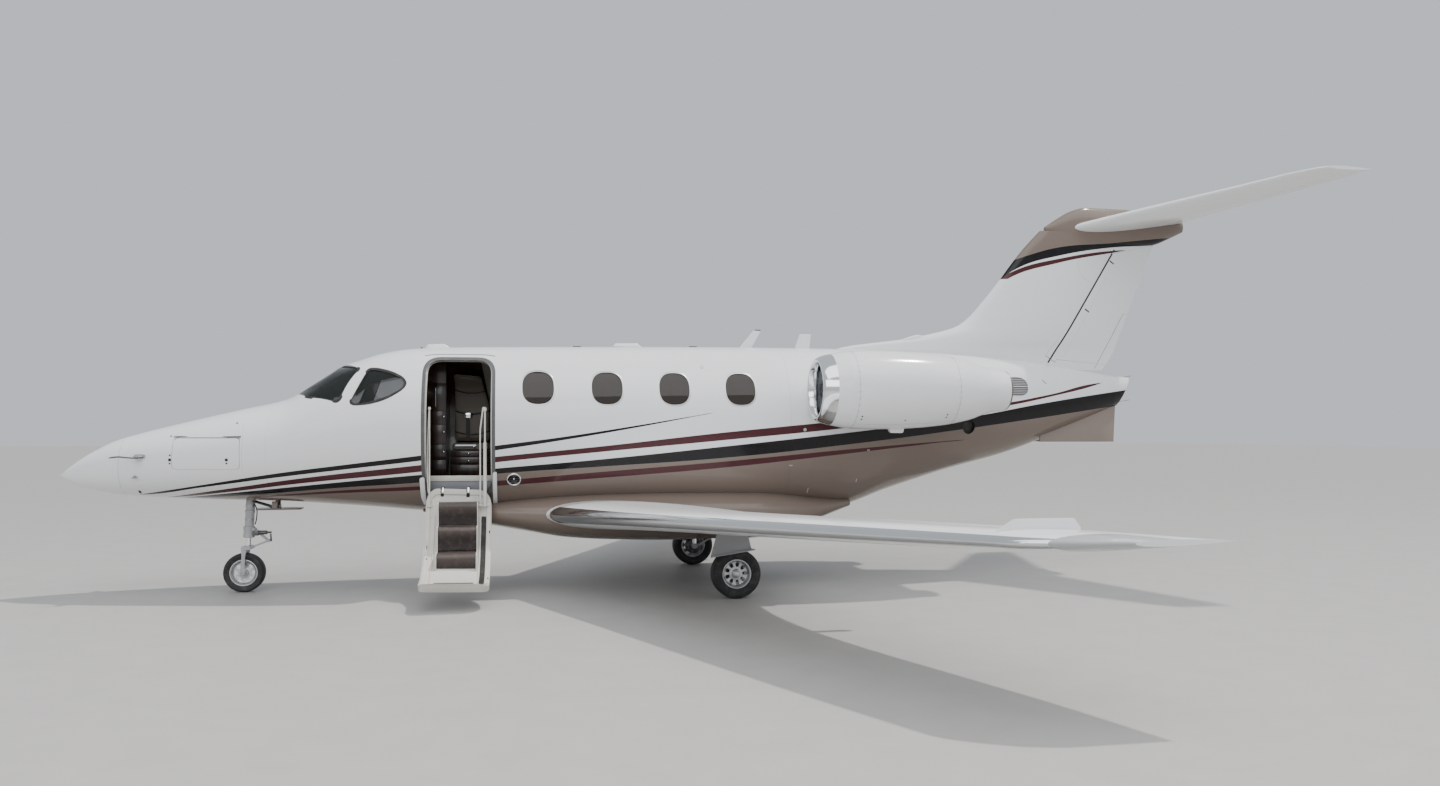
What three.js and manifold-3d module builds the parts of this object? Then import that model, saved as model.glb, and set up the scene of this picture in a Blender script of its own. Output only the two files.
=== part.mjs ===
// A light twin business jet, parked on its gear with the airstair door open.
// Millimetres. The nose points to -X, the port side is -Y, and +Z is up.
// The origin is on the ground, on the centreline, at the middle of the length.

import * as THREE from 'three';
import { mergeVertices } from 'three/addons/utils/BufferGeometryUtils.js';
import Module from 'manifold-3d';

const wasm = await Module();
wasm.setup();

const PORT = -1;
const STARBOARD = 1;
const SIDES = [['left', PORT], ['right', STARBOARD]];

// Gaps between pieces: faces that rest on each other, and pieces that move past each other.
const SEAT = 0.3;
const RUNNING = 8;

// Fuselage joints along X, and the wall of the pressure cabin.
const NOSE_TIP = -7010;
const RADOME_END = -6330;
const CABIN_FRONT = -4800;
const CABIN_REAR = 820;
const WALL = 62;
const BULKHEAD = 60;
const HULL_SEGMENTS = 20;
const HULL_POWER = 2.15;

// Fuselage sections: x, top, bottom, half width, height of the widest line.
const HULL = [
  [NOSE_TIP, 1312, 1288, 10, 1300],
  [-6930, 1382, 1232, 80, 1305],
  [-6850, 1445, 1196, 130, 1318],
  [-6700, 1546, 1148, 212, 1340],
  [-6450, 1676, 1096, 318, 1375],
  [-6200, 1755, 1068, 403, 1405],
  [-5690, 1889, 1042, 545, 1460],
  [-5168, 2016, 1016, 655, 1520],
  [-4690, 2134, 998, 740, 1590],
  [-4408, 2318, 978, 785, 1650],
  [-4125, 2498, 955, 822, 1700],
  [-3934, 2570, 940, 845, 1730],
  [-3687, 2652, 918, 872, 1755],
  [-3410, 2702, 890, 893, 1775],
  [-3080, 2724, 862, 908, 1790],
  [-2500, 2740, 826, 915, 1800],
  [600, 2780, 808, 912, 1805],
  [1117, 2781, 812, 900, 1815],
  [1557, 2780, 850, 872, 1835],
  [2233, 2770, 1068, 800, 1890],
  [3000, 2740, 1297, 665, 1980],
  [3786, 2690, 1496, 500, 2070],
  [4448, 2622, 1725, 345, 2150],
  [5000, 2540, 1942, 215, 2230],
  [5349, 2486, 2086, 140, 2290],
];
// The tail end is cut at a slant: its foot is here and its head lies further aft.
const TAIL_END = { foot: 5349, head: 5560, top: 2470, bottom: 2090, half: 105, widest: 2300 };

// Doorway and door on the port side, as they close the hull.
const DOOR = { fore: -3172, aft: -2488, low: 1128, high: 2545, corner: 100, open: 132.6 };
const FLOOR_TOP = 1226;
const DOOR_HINGE_Z = 1106;
const DOOR_HINGE_OUT = 14;

// Cabin windows: centres along X, and the size of one oval opening.
const WINDOW_X = [-1992, -1245, -500, 250];
const WINDOW = { half: 176, halfHigh: 186, height: 2246, power: 2.5, points: 12 };
const GLASS_DEPTH = 10;
const LINER = 8;

// Roof antennas: foot fore and aft, head fore and aft, height over the skin, half width at foot and head.
const CABIN_ANTENNAS = [
  [-3255, -2965, -3215, -3040, 46, 30, 12],
  [-1130, -760, -1080, -830, 46, 42, 18],
  [410, 560, 590, 680, 217, 11, 6],
];
const TAIL_ANTENNAS = [[1100, 1285, 1165, 1305, 177, 11, 6]];
const ANTENNA_ROOT = 15;

// Pitot mast on each side of the nose: a short blade, and a bent tube that looks forward from its end.
const PITOT = { fore: -6148, aft: -6055, rootZ: 1528, endZ: 1490, reach: 92, thick: 9, radius: 8,
  bend: [-6270, 1508], tip: [-6362, 1496] };

// Tail fittings: the oval grille, the round vent below it, and the lamp on the cut end.
const GRILLE = { x: 3775, z: 2320, half: 175, halfHigh: 120, depth: 16, slats: 5, slat: 11 };
const VENT = { x: 3080, z: 1824, radius: 84, depth: 36 };
const TAIL_LAMP = { x: [5490, 5578], z: 2405, radius: 26, end: 15 };

// Main planes: y, leading edge x, trailing edge x, leading z, trailing z, thickness.
const WING = [
  [500, -2060, 530, 852, 812, 335],
  [950, -1853, 552, 871, 826, 305],
  [2300, -1232, 620, 929, 888, 228],
  [6300, 608, 1852, 1099, 1098, 137],
  [6450, 690, 1898, 1105, 1106, 128],
  [6720, 1105, 1981, 1117, 1122, 72],
  [6780, 1330, 2000, 1121, 1127, 40],
];
const TAILPLANE = [
  [0, 4698, 6290, 4364, 4494, 172],
  [700, 5200, 6497, 4456, 4540, 136],
  [1700, 5918, 6793, 4580, 4598, 88],
  [2300, 6348, 6970, 4650, 4642, 52],
  [2400, 6470, 7010, 4656, 4650, 36],
];
// Fin: z, leading edge x, trailing edge x, thickness.
const FIN = [
  [2560, 1300, 5200, 60],
  [2790, 1650, 5355, 120],
  [2939, 2626, 5416, 190],
  [3103, 3226, 5486, 205],
  [3424, 3561, 5615, 198],
  [4097, 4104, 5890, 172],
  [4330, 4330, 5984, 160],
];
// Fairing over the tail joint: x, top, bottom, half width.
const BULLET = [
  [4400, 4385, 4330, 28],
  [4560, 4490, 4240, 66],
  [4760, 4600, 4190, 96],
  [4960, 4651, 4172, 116],
  [5500, 4648, 4172, 132],
  [5900, 4616, 4196, 120],
  [6180, 4566, 4300, 82],
  [6351, 4512, 4381, 30],
];
// Belly fairing: x, top, bottom, half width.
const BELLY = [
  [-3250, 905, 862, 220],
  [-2800, 985, 768, 560],
  [-2419, 1040, 694, 700],
  [-2053, 1080, 626, 800],
  [-1681, 1110, 562, 870],
  [-1200, 1130, 528, 920],
  [-425, 1140, 507, 940],
  [450, 1130, 510, 930],
  [800, 1100, 575, 880],
  [1200, 1040, 705, 730],
  [1650, 1000, 856, 480],
];

// Control surfaces, each as a hinge line from A to B with the half thickness there.
const AILERON = { a: [4420, 935], b: [6240, 1520] };
const FLAPS = [
  { name: 'inner', a: [985, 222], b: [2270, 266] },
  { name: 'outer', a: [2330, 280], b: [4370, 900] },
];
const ELEVATOR = { a: [190, 5905], b: [2290, 6826] };
const RUDDER = { low: [4468, 2700], high: [5312, 4060], lowRadius: 80, highRadius: 62 };
const NOSE_SEGMENTS = 12;
const PIN_RADIUS = 5;
const PIN_LENGTH = 14;
const PIN_ROOT = 20;

// Engines: centre height and distance out, and profiles of x, radius.
const ENGINE = { out: 1300, height: 2230 };
const COWL_SEGMENTS = 20;
const COWL_OUTER = [
  [1290, 418], [1450, 431], [1700, 436], [2050, 427], [2450, 391], [2750, 335], [3030, 243], [3190, 222],
];
const COWL_INNER = [[3190, 206], [3000, 222], [2600, 300], [1700, 318], [1420, 276], [1290, 272]];
const LIP = [
  [1290, 272], [1080, 276], [1005, 294], [983, 316], [1004, 344], [1080, 375], [1290, 418],
];
const FAN = { x: 1390, radius: 262, hub: 92, blades: 12, twist: 0.8, thick: 4 };
const CORE = [[1452, 0], [1452, 190], [1900, 205], [2350, 190], [2700, 130], [3060, 20], [3060, 0]];
const CORE_SEGMENTS = 12;

// Wheels: centre, tyre radius and half width, rim radius, number of holes in the web.
const NOSE_WHEEL = { x: -5172, y: 0, radius: 215, half: 70, rim: 143, holes: 8 };
const MAIN_WHEEL = { x: 69, y: 1422, radius: 262, half: 98, rim: 152, holes: 9 };
const AXLE_RADIUS = 19;
const TYRE_SEGMENTS = 24;
const RIM_SEGMENTS = 16;

// Nose leg: its axis runs from the bay roof down to the axle, with a slight rake.
const NOSE_LEG = { top: [-5098, 0, 1290], foot: [-5128, 0, 640], cylinder: 48, piston: 28 };
const NOSE_BAY = { fore: -5330, aft: -4900, half: 140, roof: 1330 };
const MAIN_LEG = { x: 60, y: 1236, cylinder: 46, piston: 32 };
const BRAKE = { radius: 110, inner: 1281, clear: 10 };
const MAIN_BAY_ROOF = 872;
const WELL_ROOF = 795;

const PAINT = {
  white: { color: 0xeceef0, roughness: 0.22, metalness: 0.0 },
  taupe: { color: 0x8a7e75, roughness: 0.28, metalness: 0.1 },
  polished: { color: 0xd7dadc, roughness: 0.16, metalness: 1.0 },
  gear: { color: 0x9da0a2, roughness: 0.4, metalness: 0.2 },
  steel: { color: 0xb9bcbe, roughness: 0.3, metalness: 0.9 },
  rubber: { color: 0x1b1b1c, roughness: 0.85, metalness: 0.0 },
  glass: { color: 0x39322e, roughness: 0.06, metalness: 0.0 },
  cream: { color: 0xcfcabf, roughness: 0.45, metalness: 0.0 },
  carpet: { color: 0x33261f, roughness: 0.95, metalness: 0.0 },
  leather: { color: 0x57534f, roughness: 0.5, metalness: 0.0 },
  veneer: { color: 0x2b1a12, roughness: 0.25, metalness: 0.0 },
  dark: { color: 0x26272a, roughness: 0.6, metalness: 0.2 },
};

// Geometry helpers

function signedVolume(positions, faces) {
  const corner = (i) => new THREE.Vector3().fromArray(positions, 3 * i);
  let sum = 0;
  for (let f = 0; f < faces.length; f += 3) {
    const [a, b, c] = [corner(faces[f]), corner(faces[f + 1]), corner(faces[f + 2])];
    sum += a.dot(b.cross(c));
  }
  return sum / 6;
}

function solidFrom(positions, faces) {
  const outward = signedVolume(positions, faces) > 0;
  const turned = [];
  for (let f = 0; f < faces.length; f += 3) {
    const [a, b, c] = [faces[f], faces[f + 1], faces[f + 2]];
    if (a === b || b === c || a === c) continue;
    turned.push(a, outward ? b : c, outward ? c : b);
  }
  return new wasm.Manifold(new wasm.Mesh({
    numProp: 3,
    vertProperties: new Float32Array(positions),
    triVerts: new Uint32Array(turned),
  }));
}

function solidOf(geometry, matrix = new THREE.Matrix4()) {
  const plain = geometry.clone().applyMatrix4(matrix);
  plain.deleteAttribute('normal');
  plain.deleteAttribute('uv');
  const merged = mergeVertices(plain, 1e-3);
  return solidFrom([...merged.attributes.position.array], [...merged.index.array]);
}

function geometryOf(solid) {
  const mesh = solid.getMesh();
  const geometry = new THREE.BufferGeometry();
  geometry.setAttribute('position', new THREE.BufferAttribute(new Float32Array(mesh.vertProperties), 3));
  geometry.setIndex(new THREE.BufferAttribute(new Uint32Array(mesh.triVerts), 1));
  geometry.computeVertexNormals();
  return geometry;
}

function moved(solid, matrix) {
  return solidOf(geometryOf(solid), matrix);
}

function toSide(solid, side) {
  return side === PORT ? solid : moved(solid, new THREE.Matrix4().makeScale(1, -1, 1));
}

// Triangles that fill a flat ring of points, which may have inward corners.
function capFaces(ring) {
  const normal = new THREE.Vector3();
  ring.forEach((p, i) => normal.add(p.clone().cross(ring[(i + 1) % ring.length])));
  const flat = new THREE.Quaternion().setFromUnitVectors(normal.normalize(), new THREE.Vector3(0, 0, 1));
  const outline = ring.map((p) => p.clone().applyQuaternion(flat)).map((p) => new THREE.Vector2(p.x, p.y));
  return THREE.ShapeUtils.triangulateShape(outline, []);
}

// A closed skin over rings that all have the same number of points.
function loft(rings) {
  const count = rings[0].length;
  const positions = rings.flat().flatMap((p) => [p.x, p.y, p.z]);
  const faces = [];
  for (let r = 0; r + 1 < rings.length; r += 1) {
    for (let i = 0; i < count; i += 1) {
      const a = r * count + i;
      const b = r * count + ((i + 1) % count);
      faces.push(a, b, b + count, a, b + count, a + count);
    }
  }
  const last = (rings.length - 1) * count;
  for (const [i, j, k] of capFaces(rings[0])) faces.push(k, j, i);
  for (const [i, j, k] of capFaces(rings.at(-1))) faces.push(last + i, last + j, last + k);
  return solidFrom(positions, faces);
}

// A prism: a ring of points pushed from one offset to another along a direction.
function prism(points, direction, from, to) {
  const shifted = (t) => points.map((p) => p.clone().addScaledVector(direction, t));
  return loft([shifted(from), shifted(to)]);
}

const ALONG_Y = new THREE.Vector3(0, 1, 0);
const ALONG_X = new THREE.Vector3(1, 0, 0);
const ALONG_Z = new THREE.Vector3(0, 0, 1);
const inXZ = (pairs) => pairs.map(([x, z]) => new THREE.Vector3(x, 0, z));
const inYZ = (pairs) => pairs.map(([y, z]) => new THREE.Vector3(0, y, z));
const inXY = (pairs) => pairs.map(([x, y]) => new THREE.Vector3(x, y, 0));

function box(x0, x1, y0, y1, z0, z1) {
  const middle = new THREE.Matrix4().makeTranslation((x0 + x1) / 2, (y0 + y1) / 2, (z0 + z1) / 2);
  return solidOf(new THREE.BoxGeometry(Math.abs(x1 - x0), Math.abs(y1 - y0), Math.abs(z1 - z0)), middle);
}

// A round bar or cone from one point to another.
function bar(a, b, startRadius, endRadius = startRadius, segments = 8, turn = 0) {
  const start = new THREE.Vector3(...a);
  const end = new THREE.Vector3(...b);
  const axis = end.clone().sub(start);
  const upright = new THREE.Quaternion().setFromUnitVectors(ALONG_Y, axis.clone().normalize());
  const middle = start.add(end).multiplyScalar(0.5);
  const matrix = new THREE.Matrix4().compose(middle, upright, new THREE.Vector3(1, 1, 1));
  const shape = new THREE.CylinderGeometry(endRadius, startRadius, axis.length(), segments, 1, false, turn);
  return solidOf(shape, matrix);
}

// The hole for a bar to turn in: its facets clear the bar's corners by a seat, at any angle.
function bore(a, b, radius, segments = 8, gap = SEAT) {
  const outer = (radius + gap) / Math.cos(Math.PI / segments);
  return bar(a, b, outer, outer, segments, Math.PI / segments);
}

// A body turned round the X axis: pairs of x, radius that start and end on the axis or close on themselves.
function turnedX(pairs, segments, closed = false) {
  const points = pairs.map(([x, r]) => new THREE.Vector2(r, x));
  if (closed) points.push(points[0].clone());
  return solidOf(new THREE.LatheGeometry(points, segments), new THREE.Matrix4().makeRotationZ(-Math.PI / 2));
}

// The same round the Y axis, for wheels: pairs of y, radius.
function turnedY(pairs, segments, closed = false) {
  const points = pairs.map(([y, r]) => new THREE.Vector2(r, y));
  if (closed) points.push(points[0].clone());
  return solidOf(new THREE.LatheGeometry(points, segments));
}

function joined(solids) {
  return solids.reduce((all, solid) => all.add(solid));
}

function at(x, y, z) {
  return new THREE.Matrix4().makeTranslation(x, y, z);
}

function roundedRect(x0, x1, z0, z1, radius, steps = 3) {
  const [left, right, foot, head] = [x0 + radius, x1 - radius, z0 + radius, z1 - radius];
  const corners = [[right, head, 0], [left, head, 1], [left, foot, 2], [right, foot, 3]];
  const pairs = [];
  for (const [cx, cz, quarter] of corners) {
    for (let i = 0; i <= steps; i += 1) {
      const angle = (quarter + i / steps) * Math.PI / 2;
      pairs.push([cx + radius * Math.cos(angle), cz + radius * Math.sin(angle)]);
    }
  }
  return inXZ(pairs);
}

const bowed = (value, power) => Math.sign(value) * Math.abs(value) ** (2 / power);

function oval(cx, cz, half, halfHigh, power, count) {
  const pairs = [];
  for (let i = 0; i < count; i += 1) {
    const angle = (2 * Math.PI * i) / count;
    pairs.push([cx + half * bowed(Math.cos(angle), power), cz + halfHigh * bowed(Math.sin(angle), power)]);
  }
  return inXZ(pairs);
}

// Fuselage sections

function hullRow(x) {
  const next = Math.max(1, HULL.findIndex((row) => row[0] >= x));
  const [before, after] = [HULL[next - 1], HULL[next]];
  const share = (x - before[0]) / (after[0] - before[0]);
  return before.map((value, i) => value + share * (after[i] - value));
}

function sectionRing([x, top, bottom, half, widest], inset, head = x) {
  const ring = [];
  for (let i = 0; i < HULL_SEGMENTS; i += 1) {
    const angle = (2 * Math.PI * i) / HULL_SEGMENTS;
    const [across, up] = [bowed(Math.cos(angle), HULL_POWER), bowed(Math.sin(angle), HULL_POWER)];
    const reach = up > 0 ? top - inset - widest : widest - bottom - inset;
    const z = widest + reach * up;
    const lean = (head - x) * ((z - bottom) / (top - bottom));
    ring.push(new THREE.Vector3(x + lean, (half - inset) * across, z));
  }
  return ring;
}

function hull(from, to, inset = 0) {
  const between = HULL.filter(([x]) => x > from + 1 && x < to - 1);
  return loft([hullRow(from), ...between, hullRow(to)].map((row) => sectionRing(row, inset)));
}

function hullSide(x, z) {
  const [, top, bottom, half, widest] = hullRow(x);
  const share = z > widest ? (z - widest) / (top - widest) : (widest - z) / (widest - bottom);
  return half * (1 - share ** HULL_POWER) ** (1 / HULL_POWER);
}

// The whole outer body, a little swollen and in the same stretches, to cut what rests against it.
const STATIONS = [NOSE_TIP, RADOME_END, CABIN_FRONT, CABIN_REAR, TAIL_END.foot];
const HULL_CUTTER = joined(STATIONS.slice(1).map((x, i) => hull(STATIONS[i], x, -SEAT)));

// The room inside the cabin wall, less a margin all round.
function cabinRoom(inset) {
  const [fore, aft] = [CABIN_FRONT + BULKHEAD, CABIN_REAR - BULKHEAD];
  const room = hull(fore, aft, WALL + inset);
  return inset > 0 ? room.intersect(box(fore + SEAT, aft - SEAT, -1200, 1200, 0, 3000)) : room;
}

// Lifting surfaces

const CHORD_STEPS = [1, 0.66, 0.36, 0.13, 0.03];
const EDGE_SHARE = 0.02;

function thicknessAt(u) {
  const shape = 0.2969 * Math.sqrt(u) - 0.126 * u - 0.3516 * u ** 2 + 0.2843 * u ** 3 - 0.1036 * u ** 4;
  return shape / 0.2 + EDGE_SHARE * u;
}

// Pairs of chord share and thickness share round a section, from the trailing edge over the top.
const SECTION = [
  ...CHORD_STEPS.map((u) => [u, thicknessAt(u)]),
  [0, 0],
  ...CHORD_STEPS.toReversed().map((u) => [u, -thicknessAt(u)]),
];

function wingRing([y, lead, trail, leadZ, trailZ, thick]) {
  return SECTION.map(([u, t]) => new THREE.Vector3(
    lead + u * (trail - lead),
    -y,
    leadZ + u * (trailZ - leadZ) + t * thick,
  ));
}

function finRing([z, lead, trail, thick]) {
  return SECTION.map(([u, t]) => new THREE.Vector3(lead + u * (trail - lead), t * thick, z));
}

function rowAt(table, key) {
  const next = table.findIndex((row) => row[0] >= key);
  const [before, after] = [table[next - 1], table[next]];
  const share = (key - before[0]) / (after[0] - before[0]);
  return before.map((value, i) => value + share * (after[i] - value));
}

// Centre and half thickness of a wing or tailplane at a place along the span and chord.
function planeAt(table, y, x) {
  const [, lead, trail, leadZ, trailZ, thick] = rowAt(table, y);
  const u = (x - lead) / (trail - lead);
  return { z: leadZ + u * (trailZ - leadZ), half: thicknessAt(u) * thick };
}

// The rounded leading edge of a control surface, no thinner than its two radii.
function roundNose(p, q, startRadius, endRadius) {
  const scale = 1 / Math.cos(Math.PI / NOSE_SEGMENTS);
  return bar(p, q, startRadius * scale, endRadius * scale, NOSE_SEGMENTS);
}

// The two pins of a moving surface, and the holes that they turn in.
function hingePins(firstPin, secondPin, firstHole, secondHole) {
  return {
    pins: joined([firstPin, secondPin].map((ends) => bar(...ends, PIN_RADIUS))),
    holes: joined([firstHole, secondHole].map((ends) => bore(...ends, PIN_RADIUS))),
  };
}

// Splits a moving surface from a port plane along a hinge line given as [y, x] at both ends.
function hinged(plane, table, line) {
  const ends = [line.a, line.b].map(([y, x]) => ({ y, x, ...planeAt(table, y, x) }));
  const along = new THREE.Vector3(ends[1].x - ends[0].x, -(ends[1].y - ends[0].y), ends[1].z - ends[0].z);
  const unit = along.clone().normalize();
  const pointAt = (end, shift) => [end.x + unit.x * shift, -end.y + unit.y * shift, end.z + unit.z * shift];
  const reach = 900;
  const region = (grow) => {
    const [p, q] = [pointAt(ends[0], -grow), pointAt(ends[1], grow)];
    const outline = [[p[0] - grow, p[1]], [p[0] + reach, p[1]], [q[0] + reach, q[1]], [q[0] - grow, q[1]]];
    const nose = roundNose(p, q, ends[0].half + grow, ends[1].half + grow);
    return prism(inXY(outline), ALONG_Z, 500, 5000).add(nose);
  };
  const pinEnds = (end, way, extra) => [
    pointAt(end, way * -PIN_ROOT), pointAt(end, way * (PIN_LENGTH + RUNNING + extra)),
  ];
  const { pins, holes } = hingePins(pinEnds(ends[0], -1, 0), pinEnds(ends[1], 1, 0),
    pinEnds(ends[0], -1, SEAT), pinEnds(ends[1], 1, SEAT));
  return {
    moving: plane.intersect(region(0)).add(pins),
    fixed: plane.subtract(region(RUNNING)).subtract(holes),
  };
}

const pieces = new THREE.Group();

function add(name, solid, paint) {
  const mesh = new THREE.Mesh(geometryOf(solid), new THREE.MeshStandardMaterial(paint));
  mesh.name = name;
  pieces.add(mesh);
  return mesh;
}

function addAt(name, solid, paint, x, y, z) {
  const mesh = add(name, solid, paint);
  mesh.position.set(x, y, z);
  return mesh;
}

// Fuselage

function windowCutters(grow) {
  return WINDOW_X.map((x) => prism(
    oval(x, WINDOW.height, WINDOW.half + grow, WINDOW.halfHigh + grow, WINDOW.power, WINDOW.points),
    ALONG_Y, -1100, -500,
  ));
}

// Windscreen pane as corners in space, and side window as pairs of x, z. Both are on the port side.
const SCREEN = [[-4640, -55, 2150], [-4140, -55, 2500], [-3880, -500, 2453], [-4045, -742, 2120],
  [-4085, -745, 2070], [-4380, -560, 2095]];
const SCREEN_OUT = new THREE.Vector3(-0.5, -0.42, 0.76).normalize();
const SIDE_WINDOW = [[-3942, 2095], [-3925, 2062], [-3883, 2052], [-3746, 2066], [-3566, 2124], [-3415, 2218],
  [-3374, 2284], [-3422, 2352], [-3537, 2408], [-3700, 2446], [-3770, 2446], [-3800, 2422]];

function grown(points, grow) {
  const centre = points.reduce((sum, p) => sum.add(p), new THREE.Vector3()).divideScalar(points.length);
  return points.map((p) => p.clone().addScaledVector(p.clone().sub(centre).normalize(), grow));
}

function cockpitCutters(grow) {
  const screen = grown(SCREEN.map((p) => new THREE.Vector3(...p)), grow);
  return [
    prism(screen, SCREEN_OUT, -190, 260),
    prism(grown(inXZ(SIDE_WINDOW), grow), ALONG_Y, -1000, -420),
  ];
}

const bothSides = (solids) => joined([...solids, ...solids.map((solid) => toSide(solid, STARBOARD))]);

function doorPrism(grow) {
  const outline = roundedRect(DOOR.fore - grow, DOOR.aft + grow, DOOR.low - grow, DOOR.high + grow,
    DOOR.corner + grow);
  return prism(outline, ALONG_Y, -1150, -200);
}

// Hinge line of the airstair door, and the two arms on the floor's edge that carry it.
const doorMiddle = (DOOR.fore + DOOR.aft) / 2;
const doorHinge = [-(hullSide(doorMiddle, DOOR_HINGE_Z) + DOOR_HINGE_OUT), DOOR_HINGE_Z];
const ARM_X = [-3005, -2735];

function hingeArm(x, grow) {
  const [y, z] = doorHinge;
  const [foot, head] = [z - 8 - grow, z + 62 + grow];
  const outline = [[y + 10 + grow, foot], [y - 12 - grow, foot], [y - 12 - grow, z + 12 + grow],
    [y + 20, head], [y + 200, head], [y + 200, z + 30 - grow], [y + 40 + grow, z + 30 - grow]];
  return prism(inYZ(outline), ALONG_X, x - 11 - grow, x + 11 + grow);
}

// Room for a hinge arm and its knuckles, cut from the sill's outer face.
function hingeNotch(x) {
  const [y, z] = doorHinge;
  return box(x - 72, x + 72, y - 40, y + 42, z - 20, DOOR.low);
}

function antenna([fore, aft, headFore, headAft, height, foot, head]) {
  const ring = (x0, x1, half, z) => [[0, 0], [0.28, 1], [0.7, 0.8], [1, 0], [0.7, -0.8], [0.28, -1]]
    .map(([share, across]) => new THREE.Vector3(x0 + share * (x1 - x0), across * half, z));
  const roof = Math.min(hullRow(fore)[1], hullRow(aft)[1]);
  return loft([ring(fore, aft, foot, roof - ANTENNA_ROOT), ring(headFore, headAft, head, roof + height)]);
}

// A pocket of one depth below the skin, whatever the outline that is pressed into it.
function pocket(outline, x, depth) {
  const reach = 400;
  return outline.subtract(hull(x - reach, x + reach, depth));
}

function addFuselage() {
  add('radome', hull(NOSE_TIP, RADOME_END - SEAT), PAINT.white);

  const shell = hull(CABIN_FRONT + SEAT, CABIN_REAR - SEAT)
    .subtract(cabinRoom(0))
    .subtract(bothSides(windowCutters(0)))
    .subtract(bothSides(cockpitCutters(0)))
    .subtract(doorPrism(RUNNING + 4))
    .subtract(joined(ARM_X.map((x) => hingeNotch(x))))
    .add(joined(CABIN_ANTENNAS.map(antenna)));
  add('cabin_shell', shell, PAINT.white);

  const behind = cabinRoom(LINER);
  const liner = cabinRoom(SEAT);
  const glassOuter = hull(CABIN_FRONT + BULKHEAD, CABIN_REAR - BULKHEAD, GLASS_DEPTH);
  for (const [word, side] of SIDES) {
    const band = liner.intersect(box(WINDOW_X[0] - 230, WINDOW_X.at(-1) + 230, -1000, -300, 2010, 2480));
    const panes = glassOuter.intersect(joined(windowCutters(-SEAT)));
    add(`window_belt_${word}`, toSide(band.add(panes).subtract(behind), side), PAINT.glass);
  }
  const frame = liner.intersect(box(CABIN_FRONT + BULKHEAD, -3300, -1000, 1000, 2030, 2600));
  const cockpitPanes = glassOuter.intersect(bothSides(cockpitCutters(-SEAT)));
  add('cockpit_glazing', frame.add(cockpitPanes).subtract(behind), PAINT.glass);
}

function addBaggageDoor(nose) {
  const [fore, aft, low, high] = [-5757, -5063, 1376, 1706];
  const opening = (grow) => prism(roundedRect(fore - grow, aft + grow, low - grow, high + grow, 30 + grow, 2),
    ALONG_Y, -900, -200);
  const hold = hull(fore + 12, aft - 12, 45).intersect(box(fore + 12, aft - 12, -700, -20, 1330, 1730));
  const skin = hull(fore - 20, aft + 20).subtract(hull(fore - 30, aft + 30, 14));
  const hingeZ = high + 3;
  const proud = 5;
  const ends = [fore - 14, aft + 14].map((x) => [x, -hullSide(x, hingeZ) - proud, hingeZ]);
  const slope = (ends[1][1] - ends[0][1]) / (ends[1][0] - ends[0][0]);
  const beyond = ([x, y, z], shift) => [x + shift, y + slope * shift, z];
  const pinRadius = 4;
  const pin = bar(beyond(ends[0], -12), beyond(ends[1], 12), pinRadius);
  const hole = bore(beyond(ends[0], -13), beyond(ends[1], 13), pinRadius);
  const channel = bar(ends[0], ends[1], pinRadius + RUNNING);
  const lug = (end, way) => bar(end, beyond(end, way * 24), 9);
  const leafRing = ([x, y, z], shift) => [[-2, 0], [0, 2], [3, 1], [22, -8], [24, -32], [6, -32]]
    .map(([across, up]) => new THREE.Vector3(x + shift, y + slope * shift + across, z + up));
  const leaf = loft([leafRing(ends[0], 60), leafRing(ends[1], -60)]);
  const door = skin.intersect(opening(0)).add(leaf).add(pin);
  add('nose_baggage_door', door, PAINT.white);
  return nose.subtract(opening(9)).subtract(hold).subtract(channel)
    .add(lug(ends[0], -1)).add(lug(ends[1], 1)).subtract(hole);
}

// The port pitot mast.
function pitotMast() {
  const { fore, aft, rootZ, endZ, reach, thick, radius, bend, tip } = PITOT;
  const skin = -hullSide(aft, rootZ);
  const out = skin - reach;
  const ring = (y, z, shrink) => {
    const [x0, x1] = [fore + shrink, aft - shrink];
    return [[x0, -1], [x1, -1], [x1, 1], [x0, 1]].map(([x, side]) => new THREE.Vector3(x, y, z + side * thick));
  };
  const elbow = [fore + 30, out + radius, endZ];
  return joined([
    loft([ring(skin + 60, rootZ, 0), ring(out, endZ, 8)]),
    bar(elbow, [bend[0], out + radius, bend[1]], radius, radius, 6),
    bar([bend[0], out + radius, bend[1]], [tip[0], out + radius, tip[1]], radius, radius * 0.6, 6),
  ]);
}

function addNose() {
  const bay = box(NOSE_BAY.fore, NOSE_BAY.aft, -NOSE_BAY.half, NOSE_BAY.half, 800, NOSE_BAY.roof);
  const nose = addBaggageDoor(hull(RADOME_END + SEAT, CABIN_FRONT - SEAT));
  add('nose_section', nose.subtract(bay).add(bothSides([pitotMast()])), PAINT.white);
}

function grillePrism(grow) {
  const outline = oval(GRILLE.x, GRILLE.z, GRILLE.half + grow, GRILLE.halfHigh + grow, 2, 12);
  return prism(outline, ALONG_Y, -900, -100);
}

// Slats across the port grille, seated in the bottom and the rim of its pocket.
function grilleSlats() {
  const { x, z, halfHigh, depth, slats, slat } = GRILLE;
  const pitch = (2 * halfHigh) / (slats + 1);
  const rows = Array.from({ length: slats }, (unused, index) => {
    const middle = z - halfHigh + pitch * (index + 1);
    return box(x - 300, x + 300, -900, -100, middle - slat, middle + slat);
  });
  const reach = 400;
  const rind = hull(x - reach, x + reach, 3).subtract(hull(x - reach, x + reach, depth + 8));
  return joined(rows).intersect(grillePrism(4)).intersect(rind);
}

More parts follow.
